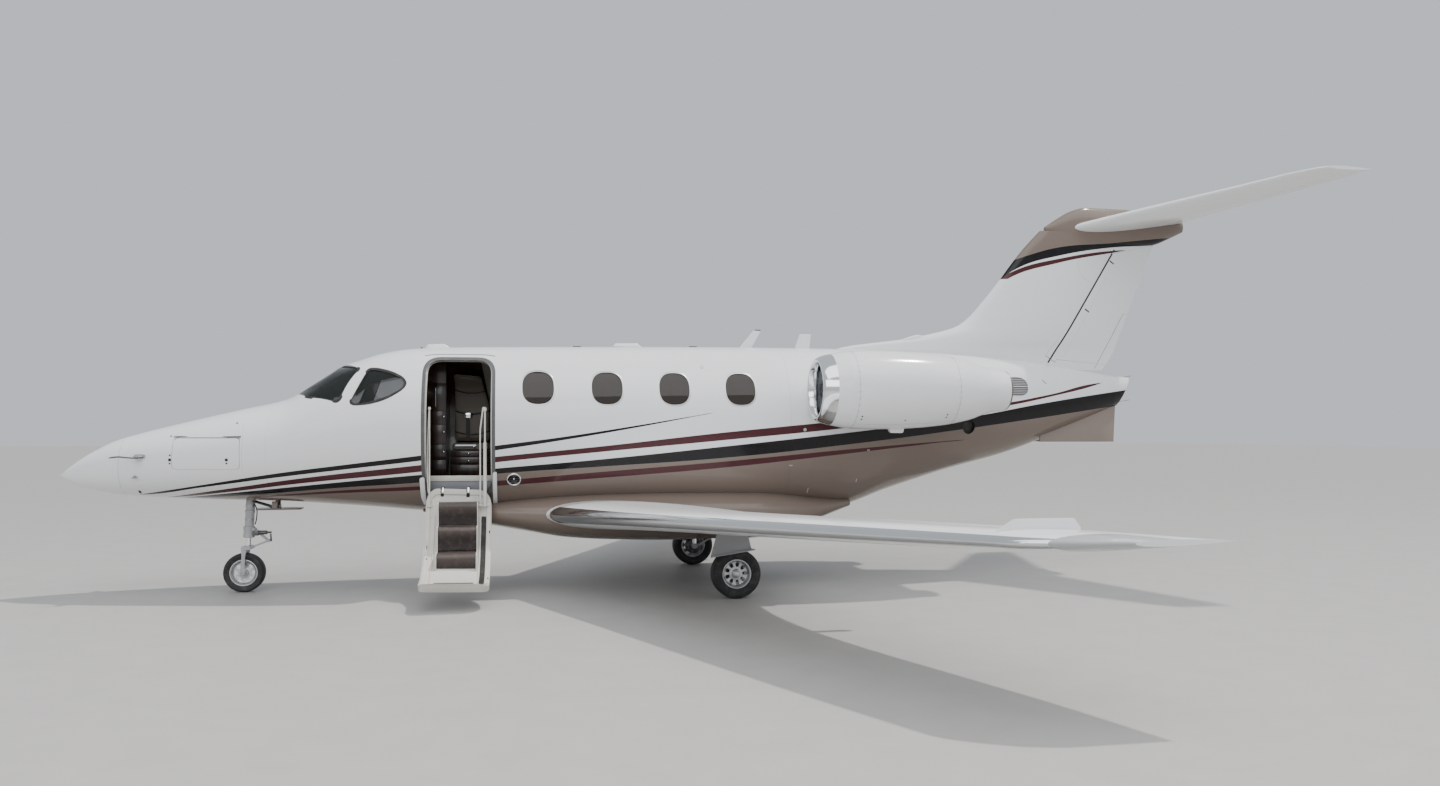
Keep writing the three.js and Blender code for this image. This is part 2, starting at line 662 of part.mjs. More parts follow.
// Tail cone: a shell that is open against the cabin's rear bulkhead, with two canted strakes below.
function addTail() {
  const tailRings = [
    hullRow(CABIN_REAR + SEAT), ...HULL.filter(([x]) => x > CABIN_REAR + 1),
  ].map((row) => sectionRing(row, 0));
  const end = [TAIL_END.foot + 20, TAIL_END.top, TAIL_END.bottom, TAIL_END.half, TAIL_END.widest];
  tailRings.push(sectionRing(end, 0, TAIL_END.head));
  const inner = hull(CABIN_REAR - 5, 4900, 50);
  const strakes = SIDES.map(([, side]) => {
    const cant = 0.42;
    const outline = [[4185, 1640], [5204, 1640], [5349, 2110], [4900, 2200], [4300, 1900]];
    const points = outline.map(([x, z]) => new THREE.Vector3(x, side * (70 + (2086 - z) * cant), z));
    return prism(points, new THREE.Vector3(0, 1, 0), -8, 8);
  });
  const vent = prism(oval(VENT.x, VENT.z, VENT.radius, VENT.radius, 2, 12), ALONG_Y, -900, -300);
  const pockets = bothSides([pocket(grillePrism(0), GRILLE.x, GRILLE.depth), pocket(vent, VENT.x, VENT.depth)]);
  const lamp = bar([TAIL_LAMP.x[0], 0, TAIL_LAMP.z], [TAIL_LAMP.x[1], 0, TAIL_LAMP.z],
    TAIL_LAMP.radius, TAIL_LAMP.end);
  const body = loft(tailRings).subtract(inner)
    .add(joined(strakes).subtract(hull(CABIN_REAR, 5349, 40)))
    .subtract(pockets)
    .add(bothSides([grilleSlats()]))
    .add(joined([lamp, ...TAIL_ANTENNAS.map(antenna)]));
  add('tail_section', body, PAINT.white);
}

const BODY_SEGMENTS = 16;

function bodyRing([x, top, bottom, half], power, inset = 0) {
  const ring = [];
  const middle = (top + bottom) / 2;
  for (let i = 0; i < BODY_SEGMENTS; i += 1) {
    const angle = (2 * Math.PI * i) / BODY_SEGMENTS;
    ring.push(new THREE.Vector3(
      x,
      (half - inset) * bowed(Math.cos(angle), power),
      middle + ((top - bottom) / 2 - inset) * bowed(Math.sin(angle), power),
    ));
  }
  return ring;
}

const BELLY_POWER = 2.5;
const BELLY_CUTTER = loft(BELLY.map((row) => bodyRing(row, BELLY_POWER, -SEAT)));

function addBelly() {
  const wells = SIDES.map(([, side]) => box(-235, 400, side * 250, side * 1000, 400, WELL_ROOF));
  const fairing = loft(BELLY.map((row) => bodyRing(row, BELLY_POWER)))
    .subtract(HULL_CUTTER)
    .subtract(joined(wells));
  add('belly_fairing', fairing, PAINT.taupe);
}

// Wing with its flaps and aileron

function flapFairing(y, fore, aft, depth) {
  const under = planeAt(WING, y, fore);
  const top = under.z;
  const outline = [[fore, top - under.half], [fore + 60, top - depth * 0.75], [(fore + aft) / 2, top - depth],
    [aft - 90, top - depth * 0.8], [aft, top - 20], [aft - 120, top], [fore + 60, top]];
  return prism(inXZ(outline), ALONG_Y, -y - 34, -y + 34);
}

function addWings() {
  let wing = loft(WING.map(wingRing));
  const surfaces = [];
  const aileron = hinged(wing, WING, AILERON);
  wing = aileron.fixed;
  surfaces.push(['aileron', aileron]);
  for (const line of FLAPS) {
    const flap = hinged(wing, WING, line);
    wing = flap.fixed;
    surfaces.push([`flap_${line.name}`, flap]);
  }
  const legBay = box(-150, 175, -1575, -900, 500, MAIN_BAY_ROOF);
  const fence = prism(inXZ([[700, 1150], [830, 1232], [1240, 1232], [1290, 1160], [1240, 1120], [760, 1100]]),
    ALONG_Y, -6262, -6256);
  wing = wing.add(fence).subtract(legBay);
  surfaces[1][1].moving = surfaces[1][1].moving.add(flapFairing(1900, 330, 755, 205));
  surfaces[2][1].moving = surfaces[2][1].moving.add(flapFairing(3300, 760, 1130, 165));
  for (const [word, side] of SIDES) {
    add(`wing_${word}`, toSide(wing, side).subtract(HULL_CUTTER).subtract(BELLY_CUTTER), PAINT.white);
    for (const [name, surface] of surfaces) {
      add(`${name}_${word}`, toSide(surface.moving, side), PAINT.white);
    }
  }
}

// Fin, rudder, tailplane and elevators

function addEmpennage() {
  const fin = loft(FIN.map(finRing));
  const [low, high] = [RUDDER.low, RUDDER.high];
  const run = new THREE.Vector2(high[0] - low[0], high[1] - low[1]).normalize();
  const onAxis = (end, shift) => [end[0] + run.x * shift, 0, end[1] + run.y * shift];
  const region = (grow) => {
    const [p, q] = [onAxis(low, grow * -1.5), onAxis(high, grow * 2.5)];
    const outline = inXZ([[p[0] - grow, p[2]], [p[0] + 1500, p[2] - 120], [q[0] + 1500, q[2] + 260],
      [q[0] - grow, q[2]]]);
    const nose = roundNose(p, q, RUDDER.lowRadius + grow, RUDDER.highRadius + grow);
    return prism(outline, ALONG_Y, -300, 300).add(nose);
  };
  const pinEnds = (end, way, extra) => [
    onAxis(end, way * -PIN_ROOT), onAxis(end, way * (PIN_LENGTH + PIN_ROOT + extra)),
  ];
  const { pins, holes } = hingePins(pinEnds(low, -1, 0), pinEnds(high, 1, 0),
    pinEnds(low, -1, SEAT), pinEnds(high, 1, SEAT));
  const bullet = loft(BULLET.map((row) => bodyRing(row, 2)));
  const bulletCutter = loft(BULLET.map((row) => bodyRing(row, 2, -SEAT)));
  const scoop = prism(inXZ([[2300, 2800], [2500, 2925], [2660, 2975], [2900, 2930], [2900, 2780]]),
    ALONG_Y, -52, 52);
  const clear = box(3800, 6500, -400, 400, 2400, hullRow(RUDDER.low[0])[1] + 12);
  const fixed = fin.subtract(region(RUNNING)).add(bullet).add(scoop)
    .subtract(HULL_CUTTER).subtract(holes);
  const rudder = fin.intersect(region(0)).subtract(bulletCutter).subtract(clear).add(pins);
  add('fin', fixed, PAINT.white);
  add('rudder', rudder, PAINT.white);

  const plane = loft(TAILPLANE.map(wingRing));
  const elevator = hinged(plane, TAILPLANE, ELEVATOR);
  for (const [word, side] of SIDES) {
    add(`tailplane_${word}`, toSide(elevator.fixed, side).subtract(bulletCutter), PAINT.white);
    add(`elevator_${word}`, toSide(elevator.moving, side), PAINT.white);
  }
}

// Engines

function fanSolid() {
  const blade = (index) => {
    const turn = (2 * Math.PI * index) / FAN.blades;
    const [c, s] = [Math.cos(turn), Math.sin(turn)];
    const { twist, thick } = FAN;
    const section = (radius, half) => [[-1, -1], [1, -1], [1, 1], [-1, 1]].map(([along, side]) => {
      const x = along * half * Math.cos(twist) - side * thick * Math.sin(twist);
      const t = along * half * Math.sin(twist) + side * thick * Math.cos(twist);
      return new THREE.Vector3(x, radius * c - t * s, radius * s + t * c);
    });
    return loft([section(FAN.hub - 12, 30), section(FAN.radius, 34)]);
  };
  const hub = turnedX([[-120, 0], [-90, 42], [-30, 84], [0, FAN.hub], [40, FAN.hub], [40, 0]], 12);
  const socket = bore([10, 0, 0], [60, 0, 0], 20);
  const blades = Array.from({ length: FAN.blades }, (unused, index) => blade(index));
  return joined([hub, ...blades]).subtract(socket);
}

function addEngines() {
  const drain = prism(inXZ([[1815, -428], [1850, -476], [1985, -476], [2004, -424]]), ALONG_Y, -30, 30);
  const cowl = turnedX([...COWL_OUTER, ...COWL_INNER], COWL_SEGMENTS, true).add(drain);
  const bypass = COWL_INNER.toReversed().map(([x, r]) => [x, r - SEAT]);
  const duct = turnedX([[1290, 0], ...bypass, [3190, 0]], COWL_SEGMENTS);
  const lip = turnedX(LIP.map(([x, r]) => [Math.min(x, 1290 - SEAT), r]), COWL_SEGMENTS, true);
  const struts = [45, 135, 225, 315].map((degrees) => {
    const [c, s] = [Math.cos(degrees * Math.PI / 180), Math.sin(degrees * Math.PI / 180)];
    return bar([1600, 150 * c, 150 * s], [1600, 420 * c, 420 * s], 16);
  });
  const shaft = bar([FAN.x + 10 + SEAT, 0, 0], [1500, 0, 0], 20);
  const core = joined([turnedX(CORE, CORE_SEGMENTS), ...struts]).intersect(duct).add(shaft);
  const skin = COWL_OUTER.map(([x, r]) => [x, r + SEAT]);
  const outside = turnedX([[960, 0], ...skin, [3190, 0]], COWL_SEGMENTS);
  const fan = fanSolid();
  const pylonRows = [[400, 1330, 3150, 2215, 2275, 250], [900, 1400, 3150, 2215, 2275, 215],
    [1300, 1450, 3150, 2215, 2275, 190]];
  for (const [word, side] of SIDES) {
    const y = side * ENGINE.out;
    const place = at(0, y, ENGINE.height);
    add(`pylon_${word}`, toSide(loft(pylonRows.map(wingRing)), side).subtract(HULL_CUTTER)
      .subtract(moved(outside, place)), PAINT.white);
    addAt(`nacelle_${word}`, cowl, PAINT.white, 0, y, ENGINE.height);
    addAt(`inlet_lip_${word}`, lip, PAINT.polished, 0, y, ENGINE.height);
    addAt(`engine_core_${word}`, core, PAINT.dark, 0, y, ENGINE.height);
    addAt(`fan_${word}`, fan, PAINT.steel, FAN.x, y, ENGINE.height);
  }
}

// Wheels: the tyre and the rim turn on the axle's stub, which is part of the leg.

// A tyre rests on one flat facet, so its corners stand a little outside its true radius.
function tyreSolid({ radius, half, rim }) {
  const tread = radius / Math.cos(Math.PI / TYRE_SEGMENTS);
  const bore = (rim + SEAT) / Math.cos(Math.PI / TYRE_SEGMENTS);
  const flank = [[0.7, bore], [0.97, rim + 30], [0.92, radius - 34], [0.5, tread]];
  const outline = [...flank.map(([share, r]) => [-share * half, r]),
    ...flank.toReversed().map(([share, r]) => [share * half, r])];
  const onFacet = new THREE.Matrix4().makeRotationY(Math.PI / TYRE_SEGMENTS);
  return moved(turnedY(outline, TYRE_SEGMENTS, true), onFacet);
}

function rimSolid({ half, rim, holes }) {
  const seat = half * 0.7;
  const hub = half * 0.62;
  const socket = (AXLE_RADIUS + SEAT) / Math.cos(Math.PI / RIM_SEGMENTS);
  const outline = [[-seat, rim], [seat, rim], [seat, rim - 14], [14, rim - 26], [14, 46], [hub, 38],
    [hub, socket], [-hub, socket], [-hub, 38], [-14, 46], [-14, rim - 26],
    [-seat, rim - 14]];
  const pitch = (rim + 24) / 2;
  const cutters = Array.from({ length: holes }, (unused, index) => {
    const angle = (2 * Math.PI * index) / holes;
    const [x, z] = [pitch * Math.cos(angle), pitch * Math.sin(angle)];
    return bar([x, -90, z], [x, 90, z], 17, 17, 5);
  });
  return turnedY(outline, RIM_SEGMENTS, true).subtract(joined(cutters));
}

function addWheel(name, wheel, y) {
  addAt(`${name}_tyre`, tyreSolid(wheel), PAINT.rubber, wheel.x, y, wheel.radius);
  addAt(`${name}_rim`, rimSolid(wheel), PAINT.steel, wheel.x, y, wheel.radius);
}

function alongNoseLeg(z) {
  const [top, foot] = [NOSE_LEG.top, NOSE_LEG.foot];
  const share = (z - top[2]) / (foot[2] - top[2]);
  return [top[0] + share * (foot[0] - top[0]), 0, z];
}

function addNoseGear() {
  const joint = alongNoseLeg(640);
  const leg = joined([
    bar(alongNoseLeg(NOSE_BAY.roof - SEAT), joint, NOSE_LEG.cylinder, NOSE_LEG.cylinder, 12),
    bar([-5094, 0, 1120], [-4925, 0, 1318], 16),
    bar([-5096, -140, 1180], [-5096, 140, 1180], 18),
  ]).intersect(box(-5400, -4800, -NOSE_BAY.half + SEAT, NOSE_BAY.half - SEAT, 0, NOSE_BAY.roof - SEAT));
  add('nose_leg', leg, PAINT.gear);

  // The fork hangs from a collar that turns round the lower end of the leg.
  const collarTop = alongNoseLeg(720);
  const under = alongNoseLeg(640 - SEAT);
  const { x, radius, half } = NOSE_WHEEL;
  const collar = bar(collarTop, alongNoseLeg(600), 60, 60, 12)
    .subtract(bore(alongNoseLeg(760), alongNoseLeg(640 - SEAT), NOSE_LEG.cylinder, 12));
  const cheek = half + 14;
  const blade = (y) => prism(inXZ([[-5150, 505], [-5205, 490], [x - 34, 250], [x - 30, 190], [x + 30, 190],
    [x + 34, 250], [-5105, 490]]), ALONG_Y, y - 9, y + 9);
  const links = joined([
    bar([-5065, 0, 690], [-4925, 0, 560], 15),
    bar([-4925, 0, 560], [-5075, 0, 500], 13),
    bar([-5070, 0, 690], [-5058, 0, 690], 17),
    bar([-5135, 0, 500], [-5075, 0, 500], 15),
    bar([-5080, -35, 655], [-4885, -35, 655], 20),
  ]);
  const fork = joined([
    collar,
    bar(under, alongNoseLeg(470), NOSE_LEG.piston, NOSE_LEG.piston, 10),
    box(-5185, -5095, -cheek - 9, cheek + 9, 470, 508),
    blade(-cheek), blade(cheek),
    bar([x, -cheek, radius], [x, cheek, radius], AXLE_RADIUS),
    links,
  ]);
  add('nose_fork', fork, PAINT.gear);
  addWheel('nose', NOSE_WHEEL, 0);

  // Door behind the leg: a plate that hangs level under the belly on two arms.
  const plate = box(-5040, -4565, -118, 118, 905, 925);
  const arms = box(-4870, -4815, -95, 95, 915, 1100).subtract(hull(-5200, -4690, -SEAT))
    .subtract(box(-4900, -4800, -75, 75, 940, 1200));
  add('nose_gear_door', plate.add(arms), PAINT.taupe);
}

function addMainGear() {
  const { x, y, cylinder, piston } = MAIN_LEG;
  const { radius, half } = MAIN_WHEEL;
  const wheelX = MAIN_WHEEL.x;
  const leg = joined([
    bar([x, -y, MAIN_BAY_ROOF - SEAT], [x, -y, 450], cylinder, cylinder, 12),
    bar([x, -y, 452], [wheelX, -y, radius - 30], piston, piston, 10),
    bar([wheelX, -y + 30, radius], [wheelX, -(MAIN_WHEEL.y + 70), radius], AXLE_RADIUS),
    bar([wheelX, -y - 30, radius], [wheelX, -(MAIN_WHEEL.y - half * 0.62 - 6), radius], 44),
    bar([wheelX, -BRAKE.inner, radius], [wheelX, -(MAIN_WHEEL.y - half * 0.62 - BRAKE.clear), radius],
      BRAKE.radius, BRAKE.radius, 12),
    bar([wheelX + 20, -y, 470], [wheelX + 205, -y, 360], 13),
    bar([wheelX + 205, -y, 360], [wheelX + 20, -y, 275], 13),
    bar([x, -y + 20, 560], [x, -(y - 300), 750], 20),
    bar([x, -(y - 300), 735], [x, -(y - 300), WELL_ROOF - SEAT], 24),
  ]);
  const outline = [[-128, 792], [-222, 465], [-224, 450], [250, 520], [212, 541], [152, 785]];
  const doorY = MAIN_WHEEL.y + half + 22;
  const plate = prism(inXZ(outline), ALONG_Y, -doorY - 12, -doorY);
  const edge = inXZ([[-222, 462], [-224, 450], [250, 520], [246, 534]]);
  const flange = prism(edge, ALONG_Y, -doorY - 40, -doorY);
  const arms = [620, 720].map((z) => bar([x, -y, z], [x, -doorY, z], 12));
  const whole = joined([leg, plate, flange, ...arms]);
  for (const [word, side] of SIDES) {
    add(`main_leg_${word}`, toSide(whole, side), PAINT.gear);
    addWheel(`main_${word}`, MAIN_WHEEL, side * MAIN_WHEEL.y);
  }
}

// Airstair door: the panel is cut from the hull's wall where it closes, then swung down to the ground side.

function swung(solid, degrees, [y, z]) {
  const turn = new THREE.Matrix4().makeTranslation(0, y, z)
    .multiply(new THREE.Matrix4().makeRotationX(degrees * Math.PI / 180))
    .multiply(new THREE.Matrix4().makeTranslation(0, -y, -z));
  return moved(solid, turn);
}

const RAIL_FOOT = [-800, 975];
const RAIL_TOP = 2030;
const RAILS = { fore: -3134, tube: -2555, rod: -2605 };

// The stair as the door hangs open: treads and risers as pairs of y, z.
const STAIR = [[-700, 1016], [-960, 1016], [-972, 1000], [-935, 773], [-1070, 773], [-1084, 756],
  [-1080, 513], [-1260, 513], [-1276, 496], [-1300, 300], [-1000, 300]];
const STAIR_X = [-3034, -2624];

function addAirstair() {
  const [hingeY, hingeZ] = doorHinge;
  const open = (solid) => swung(solid, DOOR.open, doorHinge);
  const outer = hull(DOOR.fore - 60, DOOR.aft + 60);
  const wall = outer.subtract(hull(DOOR.fore - 70, DOOR.aft + 70, WALL));
  const knuckleOutline = [[-9, -6], [9, -6], [26, 50], [-16, 50]].map(([y, z]) => [hingeY + y, hingeZ + z]);
  const knuckle = (x) => prism(inYZ(knuckleOutline), ALONG_X, x - 9, x + 9);
  const rod = bar([ARM_X[0] - 60, hingeY, hingeZ], [ARM_X[1] + 60, hingeY, hingeZ], PIN_RADIUS);
  const panel = wall.intersect(doorPrism(0))
    .subtract(joined(ARM_X.map((x) => box(x - 18, x + 18, hingeY - 40, -480, hingeZ - 20, hingeZ + 84))))
    .add(joined([-48, 48].flatMap((shift) => ARM_X.map((x) => knuckle(x + shift)))))
    .add(rod);
  const [footY, footZ] = RAIL_FOOT;
  const lugOutline = [[-13, 0], [10, 9], [50, -10], [30, -60]].map(([y, z]) => [footY + y, footZ + z]);
  const lug = (x) => bar([x - 5, footY, footZ], [x + 5, footY, footZ], 13, 13, 10)
    .add(prism(inYZ(lugOutline), ALONG_X, x - 5, x + 5));
  const footEnds = [[-3160, footY, footZ], [-2512, footY, footZ]];
  const foot = bar(...footEnds, PIN_RADIUS);
  const lugs = joined([-3154, -3114, -2585, -2522].map(lug)).subtract(bore(...footEnds, PIN_RADIUS));
  const core = open(hull(DOOR.fore - 70, DOOR.aft + 70, WALL - 3));
  add('airstair_door', open(panel).add(lugs.intersect(core)), PAINT.cream);

  const stair = prism(inYZ(STAIR), ALONG_X, ...STAIR_X);
  const inside = open(hull(DOOR.fore - 70, DOOR.aft + 70, WALL + SEAT));
  add('airstair_steps', stair.intersect(inside), PAINT.carpet);

  const rail = (parts) => joined([foot, ...parts]);
  const aft = rail([
    bar([RAILS.tube, footY, footZ], [RAILS.tube, footY, 1662], 18),
    bar([RAILS.tube, footY, 1640], [RAILS.tube, footY, RAIL_TOP], 10),
    bar([RAILS.rod, footY, footZ], [RAILS.rod, footY, 1780], 8),
    bar([RAILS.rod, footY, 1776], [RAILS.rod + 28, footY, RAIL_TOP], 8),
    box(RAILS.rod + 18, RAILS.tube + 12, footY - 12, footY + 12, RAIL_TOP - 12, RAIL_TOP + 12),
  ]).subtract(box(-3200, -2618, -900, -700, 900, 1100));
  const fore = rail([bar([RAILS.fore, footY, footZ], [RAILS.fore, footY, RAIL_TOP], 8)])
    .subtract(box(-3106, -2400, -900, -700, 900, 1100));
  add('handrail_aft', aft, PAINT.cream);
  add('handrail_fore', fore, PAINT.cream);
}

// Cabin inside

function addFloor() {
  const slab = cabinRoom(SEAT).intersect(box(-4900, 900, -1000, 1000, 700, FLOOR_TOP));
  const doorClear = box(DOOR.fore - RUNNING, DOOR.aft + RUNNING, -1000, -560, 1115, 1400);
  const arms = joined(ARM_X.map((x) => hingeArm(x, 0)))
    .subtract(bore([DOOR.fore, ...doorHinge], [DOOR.aft, ...doorHinge], PIN_RADIUS));
  add('cabin_floor', slab.subtract(doorClear).add(arms), PAINT.carpet);
}

// A seat that looks along +X or -X, as boxes that stand on the floor.
function seat(x, y, way, width, seatZ) {
  const half = width / 2;
  const span = (from, to) => [x + way * from, x + way * to].toSorted((a, b) => a - b);
  const block = (from, to, y0, y1, z0, z1) => box(...span(from, to), y0, y1, z0, z1);
  const leaning = (outline, share) => prism(inXZ(outline.map(([along, up]) => [x + way * along, seatZ + up])),
    ALONG_Y, y - half * share, y + half * share);
  const [armFoot, armTop] = [seatZ + 60, seatZ + 262];
  const arms = [-1, 1].map((end) => block(-215, 170, y + end * half, y + end * (half - 62), armFoot, armTop));
  return joined([
    block(-190, 170, y - half * 0.7, y + half * 0.7, FLOOR_TOP + SEAT, seatZ),
    block(-230, 260, y - half, y + half, seatZ - 10, seatZ + 120),
    leaning([[-230, 0], [-120, 0], [-230, 730], [-330, 730]], 0.92),
    leaning([[-318, 700], [-222, 700], [-246, 870], [-338, 870]], 0.55),
    ...arms,
  ]);
}

function addInterior() {
  const behindLiner = cabinRoom(LINER + SEAT);
  const floorBar = (x0, x1, y0, y1) => box(x0, x1, y0, y1, FLOOR_TOP + SEAT, FLOOR_TOP + 12);
  const seats = joined([
    ...[[-1700, 1], [-330, -1]].flatMap(([x, way]) => [-430, 430].map((y) => seat(x, y, way, 500, 1430))),
    floorBar(-1700, -330, -450, -410), floorBar(-1700, -330, 410, 450), floorBar(-1020, -980, -430, 430),
  ]);
  add('cabin_seats', seats.intersect(behindLiner), PAINT.leather);

  const console = box(-4060, -3420, -105, 105, FLOOR_TOP + SEAT, 1640);
  const crew = joined([console, seat(-3690, -330, -1, 452, 1400), seat(-3690, 330, -1, 452, 1400)]);
  add('cockpit_seats', crew.intersect(behindLiner), PAINT.leather);

  const board = prism(inXZ([[-4440, 1660], [-4200, 1660], [-4150, 2010], [-4200, 2062], [-4470, 2052]]),
    ALONG_Y, -620, 620);
  const pedestal = box(-4380, -4180, -110, 110, FLOOR_TOP + SEAT, 1700);
  const yokes = [-330, 330].flatMap((y) => [
    bar([-4210, y, 1760], [-4045, y, 1790], 15),
    box(-4066, -4034, y - 110, y + 110, 1772, 1804),
    ...[-1, 1].map((end) => box(-4066, -4034, y + end * 88, y + end * 120, 1772, 1880)),
  ]);
  add('instrument_panel', joined([board, pedestal, ...yokes]).intersect(behindLiner), PAINT.dark);

  const wall = box(-3325, -3245, -900, 900, FLOOR_TOP + SEAT, 2720)
    .subtract(box(-3400, -3200, -260, 210, FLOOR_TOP - 10, 2480));
  const cabinet = box(-3250, -3030, 215, 900, FLOOR_TOP + SEAT, 2560);
  add('forward_cabinet', wall.add(cabinet).intersect(behindLiner), PAINT.veneer);

  const sideSeat = joined([
    box(-2990, -2520, 250, 860, FLOOR_TOP + SEAT, 1545),
    box(-2985, -2525, 235, 700, 1540, 1640),
    prism(inYZ([[610, 1600], [860, 1600], [860, 2440], [690, 2440]]), ALONG_X, -2975, -2535),
  ]);
  add('side_seat', sideSeat.intersect(behindLiner), PAINT.leather);
}

addFuselage();
addNose();
addTail();
addBelly();
addWings();
addEmpennage();
addEngines();
addNoseGear();
addMainGear();
addAirstair();
addFloor();
addInterior();

export default pieces;
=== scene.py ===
"""A light business jet, parked on its gear with the airstair door open.

Metres, in the part's own frame: the nose points to -X, the port side is -Y and +Z is up.
"""

import math

import bmesh
import bpy
from mathutils import Matrix, Vector


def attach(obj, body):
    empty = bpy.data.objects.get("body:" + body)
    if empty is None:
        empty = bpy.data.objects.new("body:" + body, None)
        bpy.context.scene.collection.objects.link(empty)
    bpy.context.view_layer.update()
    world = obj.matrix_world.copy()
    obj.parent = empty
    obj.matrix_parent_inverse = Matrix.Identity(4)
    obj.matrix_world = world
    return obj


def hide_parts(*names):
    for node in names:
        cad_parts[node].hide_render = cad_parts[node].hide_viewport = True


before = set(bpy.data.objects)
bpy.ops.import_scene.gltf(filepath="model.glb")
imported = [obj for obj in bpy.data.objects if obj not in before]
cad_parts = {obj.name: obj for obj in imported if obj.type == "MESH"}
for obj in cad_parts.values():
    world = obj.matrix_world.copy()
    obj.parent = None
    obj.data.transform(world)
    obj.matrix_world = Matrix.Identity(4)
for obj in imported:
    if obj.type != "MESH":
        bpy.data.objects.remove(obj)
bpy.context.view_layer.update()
SCENE = bpy.context.scene

PORT = -1
STARBOARD = 1
SIDES = (("left", PORT), ("right", STARBOARD))
ALONG = (1, 0, 0)
ACROSS = (0, 1, 0)
UP = (0, 0, 1)
TO_PORT = (0, -1, 0)


# The view of the photograph, a pale floor and soft light

SENSOR = 36
PHOTO_WIDTH = 1440
FOCAL = 1036 / PHOTO_WIDTH * SENSOR
HORIZON_SHIFT = 37.8 / PHOTO_WIDTH
CAMERA = {"place": (-2.17, -12.23, 1.778), "turn": -10.85, "reach": 500}
SKY = {"Color": (0.80, 0.84, 0.90, 1), "Strength": 0.80}
SUN = {"power": 2.6, "width": 2, "colour": (1.0, 0.97, 0.93), "from": (0.45, 0.10, 1)}
# Soft lights: name, place, target, width, height, power
SOFT_LIGHTS = [
    ("overhead", (2, -9, 16), (0, 0, 1), 26, 12, 1800),
    ("from_camera", (-8, -20, 9), (0, 0, 2), 18, 8, 1100),
]
FLOOR = [(-90, -60, 0), (90, -60, 0), (90, 120, 0), (-90, 120, 0)]


def make_view():
    camera = bpy.data.objects.new("camera", bpy.data.cameras.new("camera"))
    camera.data.sensor_width = SENSOR
    camera.data.lens = FOCAL
    camera.data.shift_y = HORIZON_SHIFT
    camera.data.clip_end = CAMERA["reach"]
    camera.location = CAMERA["place"]
    camera.rotation_euler = (math.radians(90), 0, math.radians(CAMERA["turn"]))
    SCENE.collection.objects.link(camera)
    SCENE.camera = camera


def soft_light(name, place, target, width, height, power):
    lamp = bpy.data.lights.new(name, "AREA")
    lamp.shape = "RECTANGLE"
    lamp.size = width
    lamp.size_y = height
    lamp.energy = power
    obj = bpy.data.objects.new(name, lamp)
    obj.location = place
    obj.rotation_euler = (Vector(target) - Vector(place)).to_track_quat("-Z", "Y").to_euler()
    SCENE.collection.objects.link(obj)


def make_studio():
    world = bpy.data.worlds.new("studio")
    SCENE.world = world
    world.use_nodes = True
    for socket, value in SKY.items():
        world.node_tree.nodes["Background"].inputs[socket].default_value = value
    for row in SOFT_LIGHTS:
        soft_light(*row)
    sun = bpy.data.lights.new("sun", "SUN")
    sun.energy = SUN["power"]
    sun.angle = math.radians(SUN["width"])
    sun.color = SUN["colour"]
    high = bpy.data.objects.new("sun", sun)
    high.rotation_euler = Vector(SUN["from"]).to_track_quat("Z", "Y").to_euler()
    SCENE.collection.objects.link(high)
    floor = mesh_object("floor", FLOOR, [(0, 1, 2, 3)])
    floor.data.materials.append(floor_finish())


# Shapes as shells: a list of points and a list of faces

def mesh_object(name, points, faces):
    mesh = bpy.data.meshes.new(name)
    mesh.from_pydata([tuple(p) for p in points], [], faces)
    mesh.update()
    obj = bpy.data.objects.new(name, mesh)
    SCENE.collection.objects.link(obj)
    return obj


def merged(shells):
    points, faces = [], []
    for shell_points, shell_faces in shells:
        start = len(points)
        points.extend(shell_points)
        faces.extend([tuple(i + start for i in face) for face in shell_faces])
    return points, faces


def lofted(rings, looped=False):
    """A skin over closed rings of equal length; looped joins the last ring to the first."""
    count = len(rings[0])
    points = [p for ring in rings for p in ring]
    faces = []
    rows = len(rings) if looped else len(rings) - 1
    for r in range(rows):
        here = r * count
        there = ((r + 1) % len(rings)) * count
        for i in range(count):
            j = (i + 1) % count
            faces.append((here + i, here + j, there + j, there + i))
    if not looped:
        faces.append(tuple(range(count - 1, -1, -1)))
        last = (len(rings) - 1) * count
        faces.append(tuple(range(last, last + count)))
    return points, faces


def prism(outline, direction, start, end):
    way = Vector(direction)
    return lofted([[Vector(p) + way * t for p in outline] for t in (start, end)])


def box(x0, x1, y0, y1, z0, z1):
    return prism([(x0, y0, z0), (x1, y0, z0), (x1, y1, z0), (x0, y1, z0)], UP, 0, z1 - z0)


def around(count, shift=0.0):
    """Even angles round a circle."""
    return [2 * math.pi * (i + shift) / count for i in range(count)]


def disc(half, radius):
    """The profile of a plain disc or pin, for turned()."""
    return [(-half, 0.0), (-half, radius), (half, radius), (half, 0.0)]


def turned(profile, origin, axis, segments=48, closed=False):
    """A body turned round an axis: profile rows are (distance along, radius)."""
    way = Vector(axis).normalized()
    across = way.orthogonal().normalized()
    other = way.cross(across)
    rings = []
    for along, radius in profile:
        centre = Vector(origin) + way * along
        ring = []
        for angle in around(segments):
            ring.append(centre + (across * math.cos(angle) + other * math.sin(angle)) * max(radius, 1e-5))
        rings.append(ring)
    return lofted(rings, looped=closed)


def swept(path, radius, sides=12):
    """A round tube along a path."""
    path = [Vector(p) for p in path]
    rings = []
    normal = None
    for before, here, after in zip([path[0], *path], path, [*path[1:], path[-1]]):
        way = (after - before).normalized()
        if normal is None:
            normal = way.orthogonal().normalized()
        normal = (normal - way * normal.dot(way)).normalized()
        other = way.cross(normal)
        rings.append([here + (normal * math.cos(angle) + other * math.sin(angle)) * radius
                      for angle in around(sides)])
    return lofted(rings)


